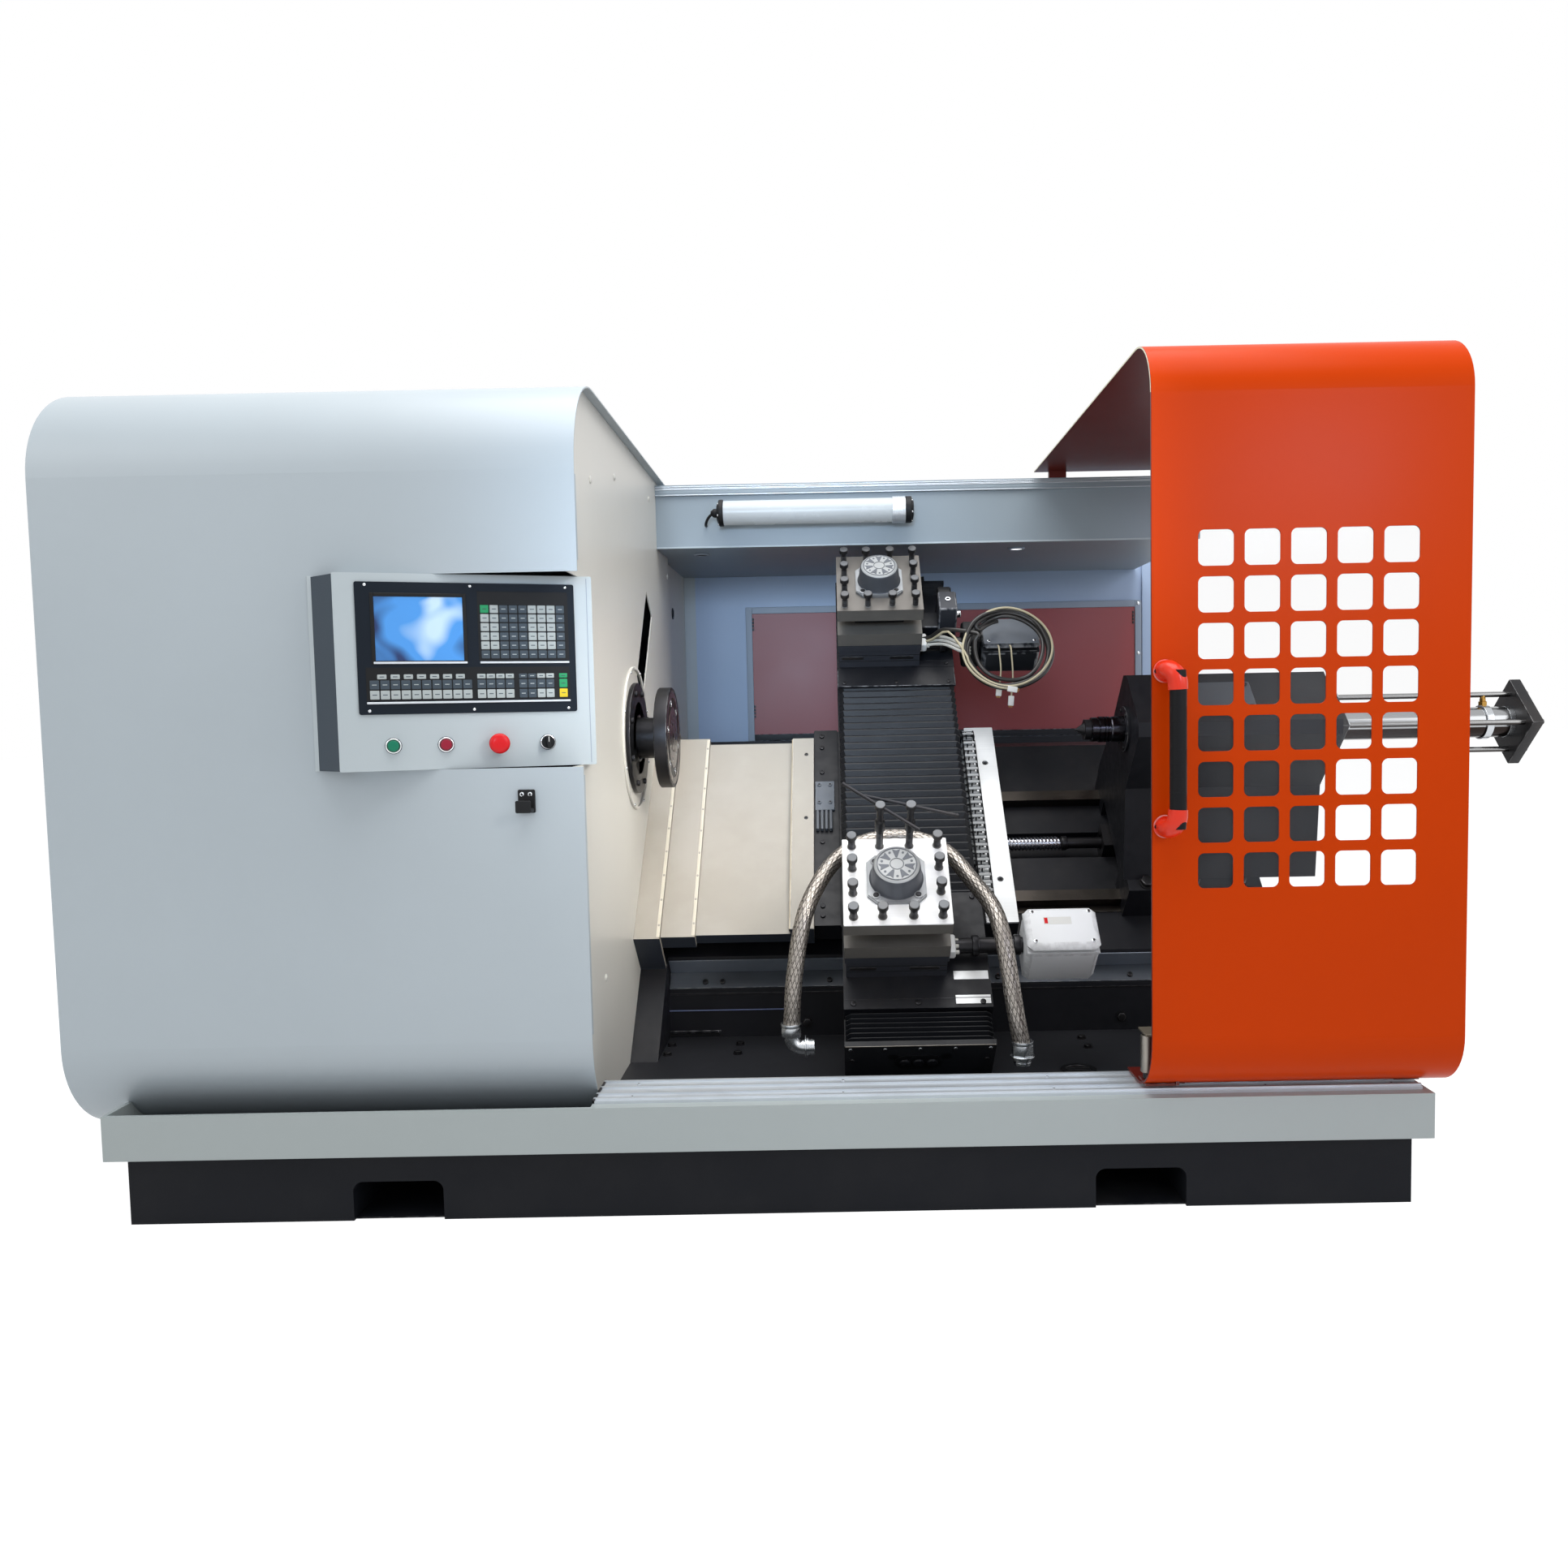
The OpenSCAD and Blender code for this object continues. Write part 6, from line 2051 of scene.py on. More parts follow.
@dataclass
class WayCovers:
    """Three telescoping way covers."""

    lip: float = 9.0
    rivets: int = 9
    screws: tuple[float, ...] = (187, -47, -330)

    def build(self) -> None:
        """Finishes the covers and adds lips, hems and screws."""
        # Dark blue-grey on the covers' faces that look down is painted shade.
        coat(GALVANISED, "fixed_way_cover", "middle_way_cover", "sliding_way_cover")
        for name, body in (("fixed_way_cover", "machine"), ("middle_way_cover", "middle_cover")):
            low, high = span_box(name, SLOPE)
            shape = Shape(SLOPE)
            # The lip is pale cream: painted highlight.
            shape.box((high.x - self.lip, high.x), (low.y + 4, high.y - 4), (high.z - 0.4, high.z + 1.8),
                      COVER_LIP_HIGHLIGHT, 0.8)
            shape.box((high.x - 2.4, high.x + 0.4), (low.y + 2, high.y - 2), (high.z - 9, high.z + 1),
                      EDGE_DARK, 0.4)
            for k in range(self.rivets):
                s = low.y + 40 + k * (high.y - low.y - 80) / (self.rivets - 1)
                place = (high.x - self.lip / 2, s, high.z + 1.6)
                shape.lathe([(3.2, 0), (3.0, 0.8), (0, 1.1)], GALVANISED, "z", 12, place)
            shape.piece(name + "_lip", body, "galvanised")
        self.end_box()

    def end_box(self) -> None:
        """White strip along the sliding cover's right end, with its screws."""
        low, high = span_box("sliding_way_cover", SLOPE)
        x0, x1, s0, s1, top = high.x - 60, high.x, low.y, high.y, high.z
        shape = Shape(SLOPE)
        shape.box((x0 + 1, x1 - 1), (s0 + 1, s1 - 1), (top - 1, top + 1.4), GALVANISED, 0.8)
        for s in self.screws:
            s = min(max(s, s0 + 25), s1 - 25)
            shape.lathe([(5.5, 0), (5.2, 1.6), (3.6, 2.6)], DARK_STEEL, "z", 18, (x0 + 39, s, top + 1.3))
            # Flat black hexagon: painted shade in the socket.
            shape.lathe([(2.6, 2.55), (2.6, 2.7)], BLACK_PLASTIC, "z", 6, (x0 + 39, s, top + 1.3))
        shape.box((x0 - 3, x0 + 1.2), (s0 + 2, s1 - 2), (top - 14, top - 1), EDGE_DARK, 0.5)
        shape.piece("cover_end_strip", "saddle", "galvanised")


@dataclass
class Bed:
    """Slant bed with rails, ledges and cast details."""

    step_top: float = -473.0
    step_s: Span = (-457, -407)
    step_x: Span = (-298, 1240)
    pocket: tuple[Span, Span] = ((-300, -172), (78, 162))
    tray_edge: float = 152.0
    bolt_pitch: float = 60.0
    rail_s: Span = (-243, 108)
    ledges: tuple[Span, Span] = ((-281, -262), (127, 146))
    bed_n: float = -412.0
    front_y: float = -225.0
    tray_z: float = 150.0
    drain: Point2 = (700, -560)
    step_bolt_x: tuple[float, ...] = (-205, -160, 120, 560, 905, 1160)
    front_bolt_x: tuple[float, ...] = (-330, 60, 470, 880, 1200)
    tray_bolt_x: tuple[float, ...] = (-285, -110, 70, 760, 1180)

    def build(self) -> None:
        """Finishes the castings and adds the bed's details."""
        coat(CAST_BLACK, "slant_bed", "tailstock")
        coat(RAIL_STEEL, "z_rails")
        self.rails()
        self.front()
        self.deck()

    def rails(self) -> None:
        """Plugs over the rails' bolts and the bright ledges beside the rails."""
        low, high = span_box("z_rails", SLOPE)
        shape = Shape(SLOPE)
        for s in self.rail_s:
            for k in range(int((high.x - low.x) / self.bolt_pitch)):
                x = low.x + 30 + k * self.bolt_pitch
                shape.lathe([(6.5, -0.8), (6.5, 0.1)], RAIL_STEEL, "z", 18, (x, s, high.z))
                shape.ring((6.5, 7.2), (-0.8, 0.06), DARK_STEEL, "z", (x, s, high.z), 18)
        for ledge in self.ledges:
            shape.box((low.x, high.x), ledge, (self.bed_n - 1, self.bed_n + 3), RAIL_STEEL, 0.8)
        shape.piece("rail_plugs", "machine", "ground_steel")

    def front(self) -> None:
        """Plate on the bed's step with its bolts, a painted-light strip on the step's riser, and the framed
        pocket in the front face with a black sheet of painted shade.
        """
        shape, (s0, s1), top = Shape(SLOPE), self.step_s, self.step_top
        shape.box(self.step_x, (s0, s1), (top - 1, top + 4), STEP_GREY, 1)
        for x in self.step_bolt_x:
            shape.cap_screw((x, s0 + 17, top + 4), 7, 6, DARK_STEEL)
        # The riser strip is pale: painted light.
        shape.box(self.step_x, (s1 - 2.5, s1 + 0.5), (top + 5, self.bed_n - 2), RISER_PAINTED_LIGHT, 0.5)
        shape.piece("bed_step_plate", "machine", "casting_black")
        face, front, above = Shape(), self.front_y, self.tray_edge
        for a, b in border(*self.pocket, 6):
            if b[1] > max(b[0], above) + 1:
                face.box(a, (front - 4, front + 1), (max(b[0], above), b[1]), CAST_BLACK, 1.2)
        # A flat black sheet inside the frame: painted shade for the pocket.
        face.box(self.pocket[0], (front - 1.2, front + 0.5), (above, self.pocket[1][1]), BLACK_PLASTIC, 0.3)
        face.box((-345, 0), (front - 1.4, front + 0.5), (219.5, 222), LINE_BLUE, 0.4)
        face.box((-300, 1240), (front - 1, front + 0.5), (262, 266), DARK_STEEL, 0.4)
        for x in self.front_bolt_x:
            face.hex_bolt((x, front, 185), 19, 9, DARK_STEEL, "-y")
        face.piece("bed_front_trim", "machine", "casting_black")

    def deck(self) -> None:
        """Small bolts that hold the bed to the tray, and the drain's strainer."""
        floor, (x0, y0) = self.tray_z, self.drain
        shape = Shape()
        for x in self.tray_bolt_x:
            for y in (-300, -380):
                shape.hex_bolt((x, y, floor), 17, 8, DARK_STEEL)
        shape.ring((30, 42), (floor, floor + 3), DARK_STEEL, "z", (x0, y0, 0), 36, 1)
        # A black disc under the strainer: painted shade for the drain's hole.
        shape.lathe([(30, floor), (30, floor + 1.2)], BLACK_PLASTIC, "z", 36, (x0, y0, 0))
        for y in (y0 + 11 * k for k in range(-2, 3)):
            shape.box((x0 - 26, x0 + 26), (y - 2, y + 2), (floor + 0.5, floor + 2.4), DARK_STEEL, 0.4)
        shape.piece("tray_bolts", "machine", "zinc")


@dataclass
class ZDrive:
    """Long ball screw with its thread, bearing blocks, coupling and motor."""

    r: float = 20.0
    lead: float = 20.0
    thread: Span = (-740.0, 772.0)
    coupling_x: Span = (931.0, 1009.0)
    steps: int = 16

    def build(self) -> None:
        """Finishes the drive and cuts the thread."""
        coat(DARK_STEEL, "z_drive", "z_blocks")
        low, high = span_box("z_screw", SLOPE)
        y, z = (low.y + high.y) / 2, (low.z + high.z) / 2
        shape = Shape(SLOPE)
        a, b = self.thread
        self.helix(shape, a, b, y, z)
        shape.rod(self.r - 3, (low.x, a + 4), GROUND, "x", (0, y, z), 1, 28)
        shape.rod(self.r - 4.5, (b - 6, high.x), DARK_STEEL, "x", (0, y, z), 1, 28)
        shape.ring((8, self.r), (b - 2, b + 14), DARK_STEEL, "x", (0, y, z), 28, 2)
        shape.piece("z_screw_threaded", "z_screw", "ground_steel", ["z_screw"])
        self.coupling(y, z)

    def helix(self, shape: Shape, a: float, b: float, y: float, z: float) -> None:
        """Adds a round-grooved thread with two starts.

        Args:
            shape: the shape it goes into.
            a: start along the axis.
            b: end along the axis.
            y: the axis's place.
            z: the axis's place.
        """
        one = [(0.0, self.r), (0.17, self.r), (0.22, self.r - 2.6), (0.33, self.r - 4.2),
               (0.44, self.r - 2.6)]
        groove = [*one, *[(share + 0.5, r) for share, r in one]]
        turns = int((b - a) / self.lead)
        points, faces = [], []
        count = turns * self.steps
        for i in range(count + 1):
            angle = 2 * math.pi * i / self.steps
            for share, r in groove:
                x = a + self.lead * (i / self.steps + share)
                points.append((x, y + r * math.cos(angle), z + r * math.sin(angle)))
        n = len(groove)
        for i in range(count):
            for j in range(n - 1):
                p = i * n + j
                faces.append((p, p + n, p + n + 1, p + 1))
            near, far = i * n + n - 1, (i + self.steps) * n
            if i + self.steps + 1 <= count:
                faces.append((near, near + n, far + n, far))
        shape.add(points, faces, SCREW_STEEL)
        shape.rod(self.r - 4.4, (a, b + 10), DARK_STEEL, "x", (0, y, z), 1, 24)

    def coupling(self, y: float, z: float) -> None:
        """Clamping coupling between the screw and its motor, with its clamp screws.

        Args:
            y: the axis's place.
            z: the axis's place.
        """
        shape = Shape(SLOPE)
        x0, x1 = self.coupling_x
        shape.ring((16, 33), (x0, x0 + 30), ZINC, "x", (0, y, z), 40, 2)
        shape.ring((16, 31), (x0 + 31, x1 - 31), TURNED_DARK, "x", (0, y, z), 40, 1)
        shape.ring((16, 33), (x1 - 30, x1), ZINC, "x", (0, y, z), 40, 2)
        for x in (x0 + 12, x1 - 12):
            for k in range(3):
                t = math.radians(120 * k + 20)
                shape.local = Matrix.Translation((x, y, z)) @ Matrix.Rotation(t, 4, "X")
                shape.lathe([(4.5, 31), (4.5, 33.6)], BLACK_PLASTIC, "z", 12)
        shape.piece("z_screw_coupling", "z_screw", "zinc")


# ---------------------------------------------------------------- saddle, bellows, turrets

@dataclass
class SaddleUnit:
    """Saddle with its strips, plates, drag chain, motors and end plates."""

    holes: tuple[float, ...] = (156, -254)
    strip_top: float = -291.0
    strip_screws: tuple[float, ...] = (270, 225, 130, -120, -330, -360)
    end_x: Span = (156, 494)
    end_screws: tuple[float, ...] = (168, 246, 325, 404, 482)
    recess: tuple[Span, Span] = ((268, 378), (-283, -222))
    link: float = 24.0
    bend_r: float = 38.0
    bend_links: int = 5
    front_face: float = -795.0
    plate_top: float = -176.0

    def build(self) -> None:
        """Finishes the saddle and builds what sits on it."""
        coat(CAST_BLACK, "saddle", "front_slide", "rear_slide")
        coat(GROUND, "x_rails")
        coat(DARK_STEEL, "front_screw", "rear_screw")
        coat(MOTOR_BLACK, "x_drives")
        self.strips()
        self.chain()
        for name, towards in (("front_end_trim", -1), ("rear_end_trim", 1)):
            self.end_plate(name, towards)
        self.slide_trim()

    def strips(self) -> None:
        """Bright right strip, dark left strip, grey plate and terminal block."""
        low, high = span_box("saddle_strips", SLOPE)
        s0, s1, n0, left, right, top = low.y, high.y, low.z, low.x, high.x, self.strip_top
        shape = Shape(SLOPE)
        holes = [circle(6.5, 18, (right - 33, s)) for s in self.holes]
        shape.prism(round_rect((right - 82, right), (s0, s1), 2), (n0, top), STRIP_BRIGHT, "z", holes)
        for s in self.holes:
            # A black disc in each hole: painted shade for its depth.
            shape.lathe([(6.4, n0 + 0.5), (6.4, n0 + 2)], BLACK_PLASTIC, "z", 18, (right - 33, s, 0))
            shape.ring((6.6, 8.4), (top - 0.5, top + 0.15), DARK_STEEL, "z", (right - 33, s, 0), 20)
        shape.prism(round_rect((left, left + 67), (s0, s1), 2), (n0, top), CAST_BLACK, "z")
        for s in self.strip_screws:
            shape.cap_screw((left + 22, s, top), 6.5, 4, DARK_STEEL)
        shape.box((left + 3, left + 56), (-12, 92), (top, top + 7), PLATE_GREY, 1.2)
        for x in (left + 14, left + 44):
            for s in (14, 78):
                shape.cap_screw((x, s, top + 7), 6, 3.4, PLATE_GREY)
        for k in range(4):
            shape.box((left + 5 + 12 * k, left + 14 + 12 * k), (-84, -16), (top, top + 13), TERMINAL_GREY, 2)
        shape.piece("saddle_strips_finished", "saddle", "aluminium", ["saddle_strips"])

    def chain(self) -> None:
        """Drag chain: links with side plates, pins and cross bars, bent over at its rear end."""
        low, high = span_box("drag_chain", SLOPE)
        x0, x1, s0, n0, n1 = low.x, high.x, low.y, low.z, high.z
        shape = Shape(SLOPE)
        r = self.bend_r
        middle_s, middle_n = high.y - r - 8, (n0 + n1) / 2
        path: list[tuple[float, float, float]] = []
        run = s0 + self.link / 2
        while run < middle_s:
            path.append((run, n1 - 10, 0.0))
            run += self.link
        for k in range(self.bend_links):
            a = math.pi * (k + 0.5) / self.bend_links
            path.append((middle_s + r * math.sin(a), middle_n + (r - 2) * math.cos(a), -a))
        run = middle_s
        while run > s0 + 200:
            path.append((run - self.link / 2, n0 + 10, math.pi))
            run -= self.link
        for s, n, a in path:
            shape.local = Matrix.Translation((0, s, n)) @ Matrix.Rotation(a, 4, "X")
            self.one_link(shape, x0, x1)
        shape.local = Matrix.Identity(4)
        shape.box((x0 - 2, x1 + 2), (s0 - 6, s0 + 8), (n1 - 26, n1 + 1), ZINC, 1.5)
        shape.piece("drag_chain_links", "saddle", "black_plastic", ["drag_chain"])

    def one_link(self, shape: Shape, x0: float, x1: float) -> None:
        """Adds one chain link round the present place.

        Args:
            shape: the shape it goes into.
            x0: left side of the chain.
            x1: right side.
        """
        half = self.link / 2
        for side, pin in (((x0, x0 + 3.5), (x0 - 0.8, x0)), ((x1 - 3.5, x1), (x1, x1 + 0.8))):
            shape.box(side, (-half - 3, half - 2), (-10, 10), BLACK_PLASTIC, 1.2)
            shape.rod(4, pin, CHAIN_GREY, "x", (0, half - 7, 0), 0.3, 12)
        for n in ((7.4, 10.4), (-10.4, -7.4)):
            shape.box((x0 + 2, x1 - 2), (-4.5, 4.5), n, CHAIN_GREY, 1)
        shape.box((x0 + 12, x0 + 15), (-4, 4), (-7.6, 7.6), BLACK_PLASTIC, 0.5)

    def end_plate(self, name: str, towards: int) -> None:
        """Trim of one end of the cross bed: bright edge, screw row, and a recess drawn as a flat black plate
        of painted shade, with three bosses.

        Args:
            name: the piece's name.
            towards: -1 for the front end, 1 for the rear one.
        """
        top = self.plate_top
        if towards < 0:
            face, axis = self.front_face, "-y"
            near, outside = (face - 1.6, face + 0.4), face - 1.6
        else:
            face, axis = span_box("x_rails", SLOPE)[1].y + 27, "y"
            near, outside = (face - 0.4, face + 1.6), face + 1.6
        shape = Shape(SLOPE)
        shape.box(self.end_x, near, (top - 5, top - 0.5), GROUND, 0.6)
        for x in self.end_screws:
            shape.cap_screw((x, face, top - 15), 5, 2.6, ZINC, axis)
        # The recess is a flat black plate: painted shade.
        shape.prism(round_rect(*self.recess, 30, 8), (near[0] - 0.2, near[1]), BLACK_PLASTIC, "y")
        for x in (292, 323, 354):
            shape.lathe([(13, 0), (12, 4), (6, 5)], CAST_BLACK, axis, 24, (x, outside, -252))
        for x in (172, 478):
            shape.cap_screw((x, face, -240), 6, 3.4, DARK_STEEL, axis)
        shape.piece(name, "saddle", "black_paint")

    def slide_trim(self) -> None:
        """Screws, the rear slide's apron and two painted highlights on the front slide."""
        for name in ("front_slide", "rear_slide"):
            low, high = span_box(name, SLOPE)
            shape = Shape(SLOPE)
            x0, x1, s0, s1, top = low.x, high.x, low.y, high.y, high.z
            for s in (s0 + 14, s1 - 14):
                for x in (x0 + 22, (x0 + x1) / 2, x1 - 22):
                    shape.cap_screw((x, s, top), 6.5, 3.5, DARK_STEEL)
            shape.box((x0 + 2, x1 - 2), (s0 + 24, s0 + 26), (top - 0.3, top + 0.6), DARK_STEEL, 0.2)
            if name == "rear_slide":
                shape.box((x0 + 1, x1 - 1), (s0 - 76, s0 + 1), (top - 9, top - 1), CAST_BLACK, 1.5)
                for x in (x0 + 20, (x0 + x1) / 2, x1 - 20):
                    shape.cap_screw((x, s0 - 62, top - 1), 5.5, 3, DARK_STEEL)
            else:
                # Two bright strips: painted highlights where light glints on the front slide's black top.
                for a, b in ((0.03, 0.1), (0.23, 0.3)):
                    s = s0 + (s1 - s0) * a, s0 + (s1 - s0) * b
                    shape.box((x1 - 84, x1 - 4), s, (top - 0.4, top + 0.5), STRIP_BRIGHT, 0.2)
            shape.piece(name + "_screws", name, "dark_steel")


@dataclass
class Bellows:
    """Pleated cloth covers of the cross rails, in four stretches that reach to the two slides."""

    depth: float = 9.0
    wall: float = 1.6
    corner: float = 12.0
    pleat: Sequence[Point2] = ((0.0, 1.0), (0.3, 0.3), (0.44, 0.0), (0.56, 0.0), (0.7, 0.3))

    def build(self) -> None:
        """Builds the four stretches of cloth."""
        low, high = span_box("bellows", SLOPE)
        front, rear = span_box("front_slide", SLOPE), span_box("rear_slide", SLOPE)
        middle = (front[1].y + rear[0].y) / 2
        runs = (("cover_cloth_front", (low.y, front[0].y), 6, "front_slide", False),
                ("cover_cloth_middle_front", (front[1].y, middle), 16, "front_slide", True),
                ("cover_cloth_middle_rear", (middle, rear[0].y), 16, "rear_slide", False),
                ("cover_cloth_rear", (rear[1].y, high.y), 6, "rear_slide", True))
        for name, span, pleats, slide, from_slide in runs:
            made = self.cloth(name, span, pleats, low, high)
            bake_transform(made)
            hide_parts("bellows")
            LOG.info("%s bends between saddle and %s", name, slide)

    def cloth(self, name: str, span: Span, pleats: int, low: Vector, high: Vector) -> Piece:
        """Makes one stretch of pleated cloth.

        Args:
            name: its name.
            span: its ends along the slope.
            pleats: how many pleats.
            low: lowest corner of the covers.
            high: highest corner.

        Returns:
            The cloth.
        """
        stations: list[tuple[float, float]] = []
        pitch = (span[1] - span[0]) / pleats
        for k in range(pleats):
            for share, dip in self.pleat:
                stations.append((span[0] + pitch * (k + share), dip * self.depth))
        stations.append((span[1], self.depth))
        points, faces, c = [], [], self.corner
        for s, dip in stations:
            for grow in (0.0, self.wall):
                side = dip * 0.4 + grow
                x0, x1, top, foot = low.x + side, high.x - side, high.z - dip - grow, low.z
                sag = 1.2 * noise.noise(Vector((s * 0.01, 3.0, 1.0)))
                points += [(x0, s, foot), (x0, s, top - c), (x0 + c, s, top), ((x0 + x1) / 2, s, top + sag),
                           (x1 - c, s, top), (x1, s, top - c), (x1, s, foot)]
        n = len(points) // (2 * len(stations))
        for i in range(len(stations) - 1):
            a, b = i * 2 * n, (i + 1) * 2 * n
            for j in range(n - 1):
                faces.append((a + j, a + j + 1, b + j + 1, b + j))
                faces.append((a + n + j + 1, a + n + j, b + n + j, b + n + j + 1))
            faces.append((a, b, b + n, a + n))
            faces.append((a + n - 1, a + 2 * n - 1, b + 2 * n - 1, b + n - 1))
        for a, flip in ((0, False), ((len(stations) - 1) * 2 * n, True)):
            for j in range(n - 1):
                loop = (a + j, a + n + j, a + n + j + 1, a + j + 1)
                faces.append(tuple(reversed(loop)) if flip else loop)
        shape = Shape(SLOPE)
        shape.add(points, faces, PLEAT_CLOTH)
        return shape.form(name, 25)


class Side(Enum):
    """Which of the two turrets."""

    FRONT = "front"
    REAR = "rear"


@dataclass
class Turret:
    """Four-way tool turret on its base, with its drive motor."""

    side: Side
    x: float = 278.0
    middles: tuple[float, float] = (-508.0, 541.0)
    tubes: tuple[float, float] = (-564.0, 485.0)
    half: float = 120.0
    core: float = 70.0
    slot: Span = (-34.7, 15.3)
    low_n: float = -98.7
    top_n: float = 53.3
    bolt_top: float = 98.3
    tall_top: float = 203.3
    bolts: tuple[float, ...] = (-98, -34, 34, 98)
    thread_pitch: float = 3.4
    bars: tuple[Point2, ...] = ((-34, -40), (34, -17))
    cap_square: float = 66.0
    cap_corner: float = 20.0
    relief_n: float = 61.4
    base_half: float = 116.0

    @property
    def number(self) -> int:
        """0 for the front turret and 1 for the rear one."""
        return list(Side).index(self.side)

    @property
    def s(self) -> float:
        """The turret's middle along the slope."""
        return self.middles[self.number]

    def build(self) -> None:
        """Builds the head, the base's details and the motor."""
        name = self.side.value
        coat(CAST_BASE, name + "_turret_base")
        self.head()
        self.cap()
        self.base_trim()
        self.motor()

    def head(self) -> None:
        """Head: lower plate, core, top plate and clamping bolts."""
        shape = Shape(SLOPE)
        shape.local = Matrix.Translation((self.x, self.s, 0))
        front, low, top, h, (n1, n2) = self.side is Side.FRONT, self.low_n, self.top_n, self.half, self.slot
        # The top plate is near white on the front turret and brown-grey on the rear one: the same plate as
        # painted light and as painted shade.
        for half, ends, finish in (
                (h - 0.6, (low, low + 20), CAST_BASE), (h - 2.2, (low + 20, low + 22), DARK_STEEL),
                (h, (low + 22, n1), CAST_BROWN), (self.core, (n1 - 1, n2 + 1), DARK_STEEL),
                (h, (n2, top - 3), CAST_BROWN), (h, (top - 3, top), TOP_PLATE_LIT if front else TOP_PLATE_SHADED)):
            shape.prism(round_rect((-half, half), (-half, half), 2, 2), ends, finish, "z")
        for i, x in enumerate(self.bolts):
            for j, s in enumerate(self.bolts):
                if i in (1, 2) and j in (1, 2):
                    continue
                self.bolt(shape, x, s, front and i in (1, 2) and j == 3)
        if front:
            for x, angle in self.bars:
                shape.local = (Matrix.Translation((self.x + x, self.s + 98, self.tall_top - 7))
                               @ Matrix.Rotation(math.radians(angle), 4, "Z"))
                shape.rod(4, (-108, 108), DARK_STEEL, "x", (0, 0, 0), 1.2, 14)
                for end in (-1, 1):
                    shape.lathe([(3, -3), (4.6, -2), (4.6, 2), (3, 3)], DARK_STEEL, "x", 14,
                                (end * 104, 0, 0))
        shape.piece(self.side.value + "_turret_head", self.side.value + "_head", "ground_steel",
                    [self.side.value + "_turret"])

    def bolt(self, shape: Shape, x: float, s: float, tall: bool) -> None:
        """Adds one clamping bolt: threaded shank down to the tool slot, neck and round head.

        Args:
            shape: the shape it goes into.
            x: its place on the head.
            s: its place on the head.
            tall: whether it is one of the two tall ones.
        """
        base, place = self.slot[1] - 14, (x, s, 0)
        shape.lathe([(6, base), (8, base + 3), (8, self.slot[1])], DARK_STEEL, "z", 14, place)
        shape.ring((8, 10.5), (self.top_n, self.top_n + 1.4), CAST_BROWN, "z", place, 18)
        top = self.tall_top if tall else self.bolt_top
        neck, n, profile = top - (92 if tall else 24), self.top_n, [(6.5, self.top_n - 1)]
        while n < neck:
            profile += [(8.2, n), (8.2, n + 1.0), (6.9, n + 1.7), (6.9, n + 2.7)]
            n += self.thread_pitch
        if tall:
            profile += [(8.2, neck), (11.5, neck + 3), (11.5, neck + 34), (9, neck + 37), (7.6, neck + 40),
                        (7.6, top - 15)]
        else:
            profile += [(7.2, neck), (6.6, top - 16)]
        shape.lathe([*profile, (8.5, top - 13)], BOLT_BLACK, "z", 14, place)
        shape.lathe([(9.5, top - 14), (12, top - 12.4), (12, top - 2), (10.8, top - 0.8)], BOLT_BLACK, "z",
                    20, place)
        # The head's top is lighter: painted highlight.
        shape.lathe([(10.8, top - 0.9), (10.4, top - 0.15), (4, top)], BOLT_TOP_HIGHLIGHT, "z", 20, place)

    def cap(self) -> None:
        """Cast cap: octagonal flange with four screws and a cone with a relief on top."""
        shape = Shape(SLOPE)
        shape.local = Matrix.Translation((self.x, self.s, self.top_n))
        w, c = self.cap_square, self.cap_square - self.cap_corner
        outline = [(w, -c), (w, c), (c, w), (-c, w), (-w, c), (-w, -c), (-c, -w), (c, -w)]
        shape.prism(outline, (0, 7.5), CAST_SILVER, "z")
        shape.prism([(x * 0.975, y * 0.975) for x, y in outline], (7.5, 9.4), CAST_SILVER, "z")
        shape.lathe([(62, 8.5), (58, 12), (53.5, 52), (51, 57.5)], CAST_CAP, "z", 64)
        # The top shoulder is lighter grey: painted light.
        shape.lathe([(51.2, 57), (50.8, 58), (46, 61), (40, 61.6)], CAP_TOP_LIT, "z", 64)
        for x, y in around(4, 66.5, 45):
            shape.lathe([(10, 0), (10, 10.8), (9, 11.6)], CAST_SILVER, "z", 20, (x, y, 0))
            shape.lathe([(6.6, 11.4), (6.6, 12.1)], BLACK_PLASTIC, "z", 16, (x, y, 0))
            shape.lathe([(5, 11.9), (5, 12.6)], DARK_STEEL, "z", 6, (x, y, 0))
        top = self.relief_n
        for r0, r1 in ((42.5, 45), (14, 16)):
            shape.ring((r0, r1), (top - 1, top + 1.2), CAST_CAP, "z", sides=48, edge=0.5)
        for k in range(7):
            t = 2 * math.pi * k / 7 + math.pi / 2
            shape.local = Matrix.Translation((self.x, self.s, self.top_n)) @ Matrix.Rotation(t, 4, "Z")
            shape.prism([(18, -2), (40, -9), (36.5, 0), (40, 9), (18, 2)], (top - 1, top + 1.0), CAST_CAP,
                        "z")
            shape.lathe([(3.4, top - 1), (3.0, top + 0.9)], CAST_CAP, "z", 10,
                        (34 * math.cos(math.pi / 7), 34 * math.sin(math.pi / 7), 0))
        shape.piece(self.side.value + "_turret_cap", self.side.value + "_head", "ground_steel")

    def base_trim(self) -> None:
        """Seams, notches drawn as dark boxes of painted shade, screws and clamp block on the fixed base."""
        shape = Shape(SLOPE)
        front, x0, x1 = self.s - self.base_half, self.x - self.base_half, self.x + self.base_half
        for n in (-118, -140):
            shape.box((x0 + 1, x1 - 1), (front - 0.8, front + 0.4), (n - 1, n + 1), BLACK_PLASTIC, 0.3)
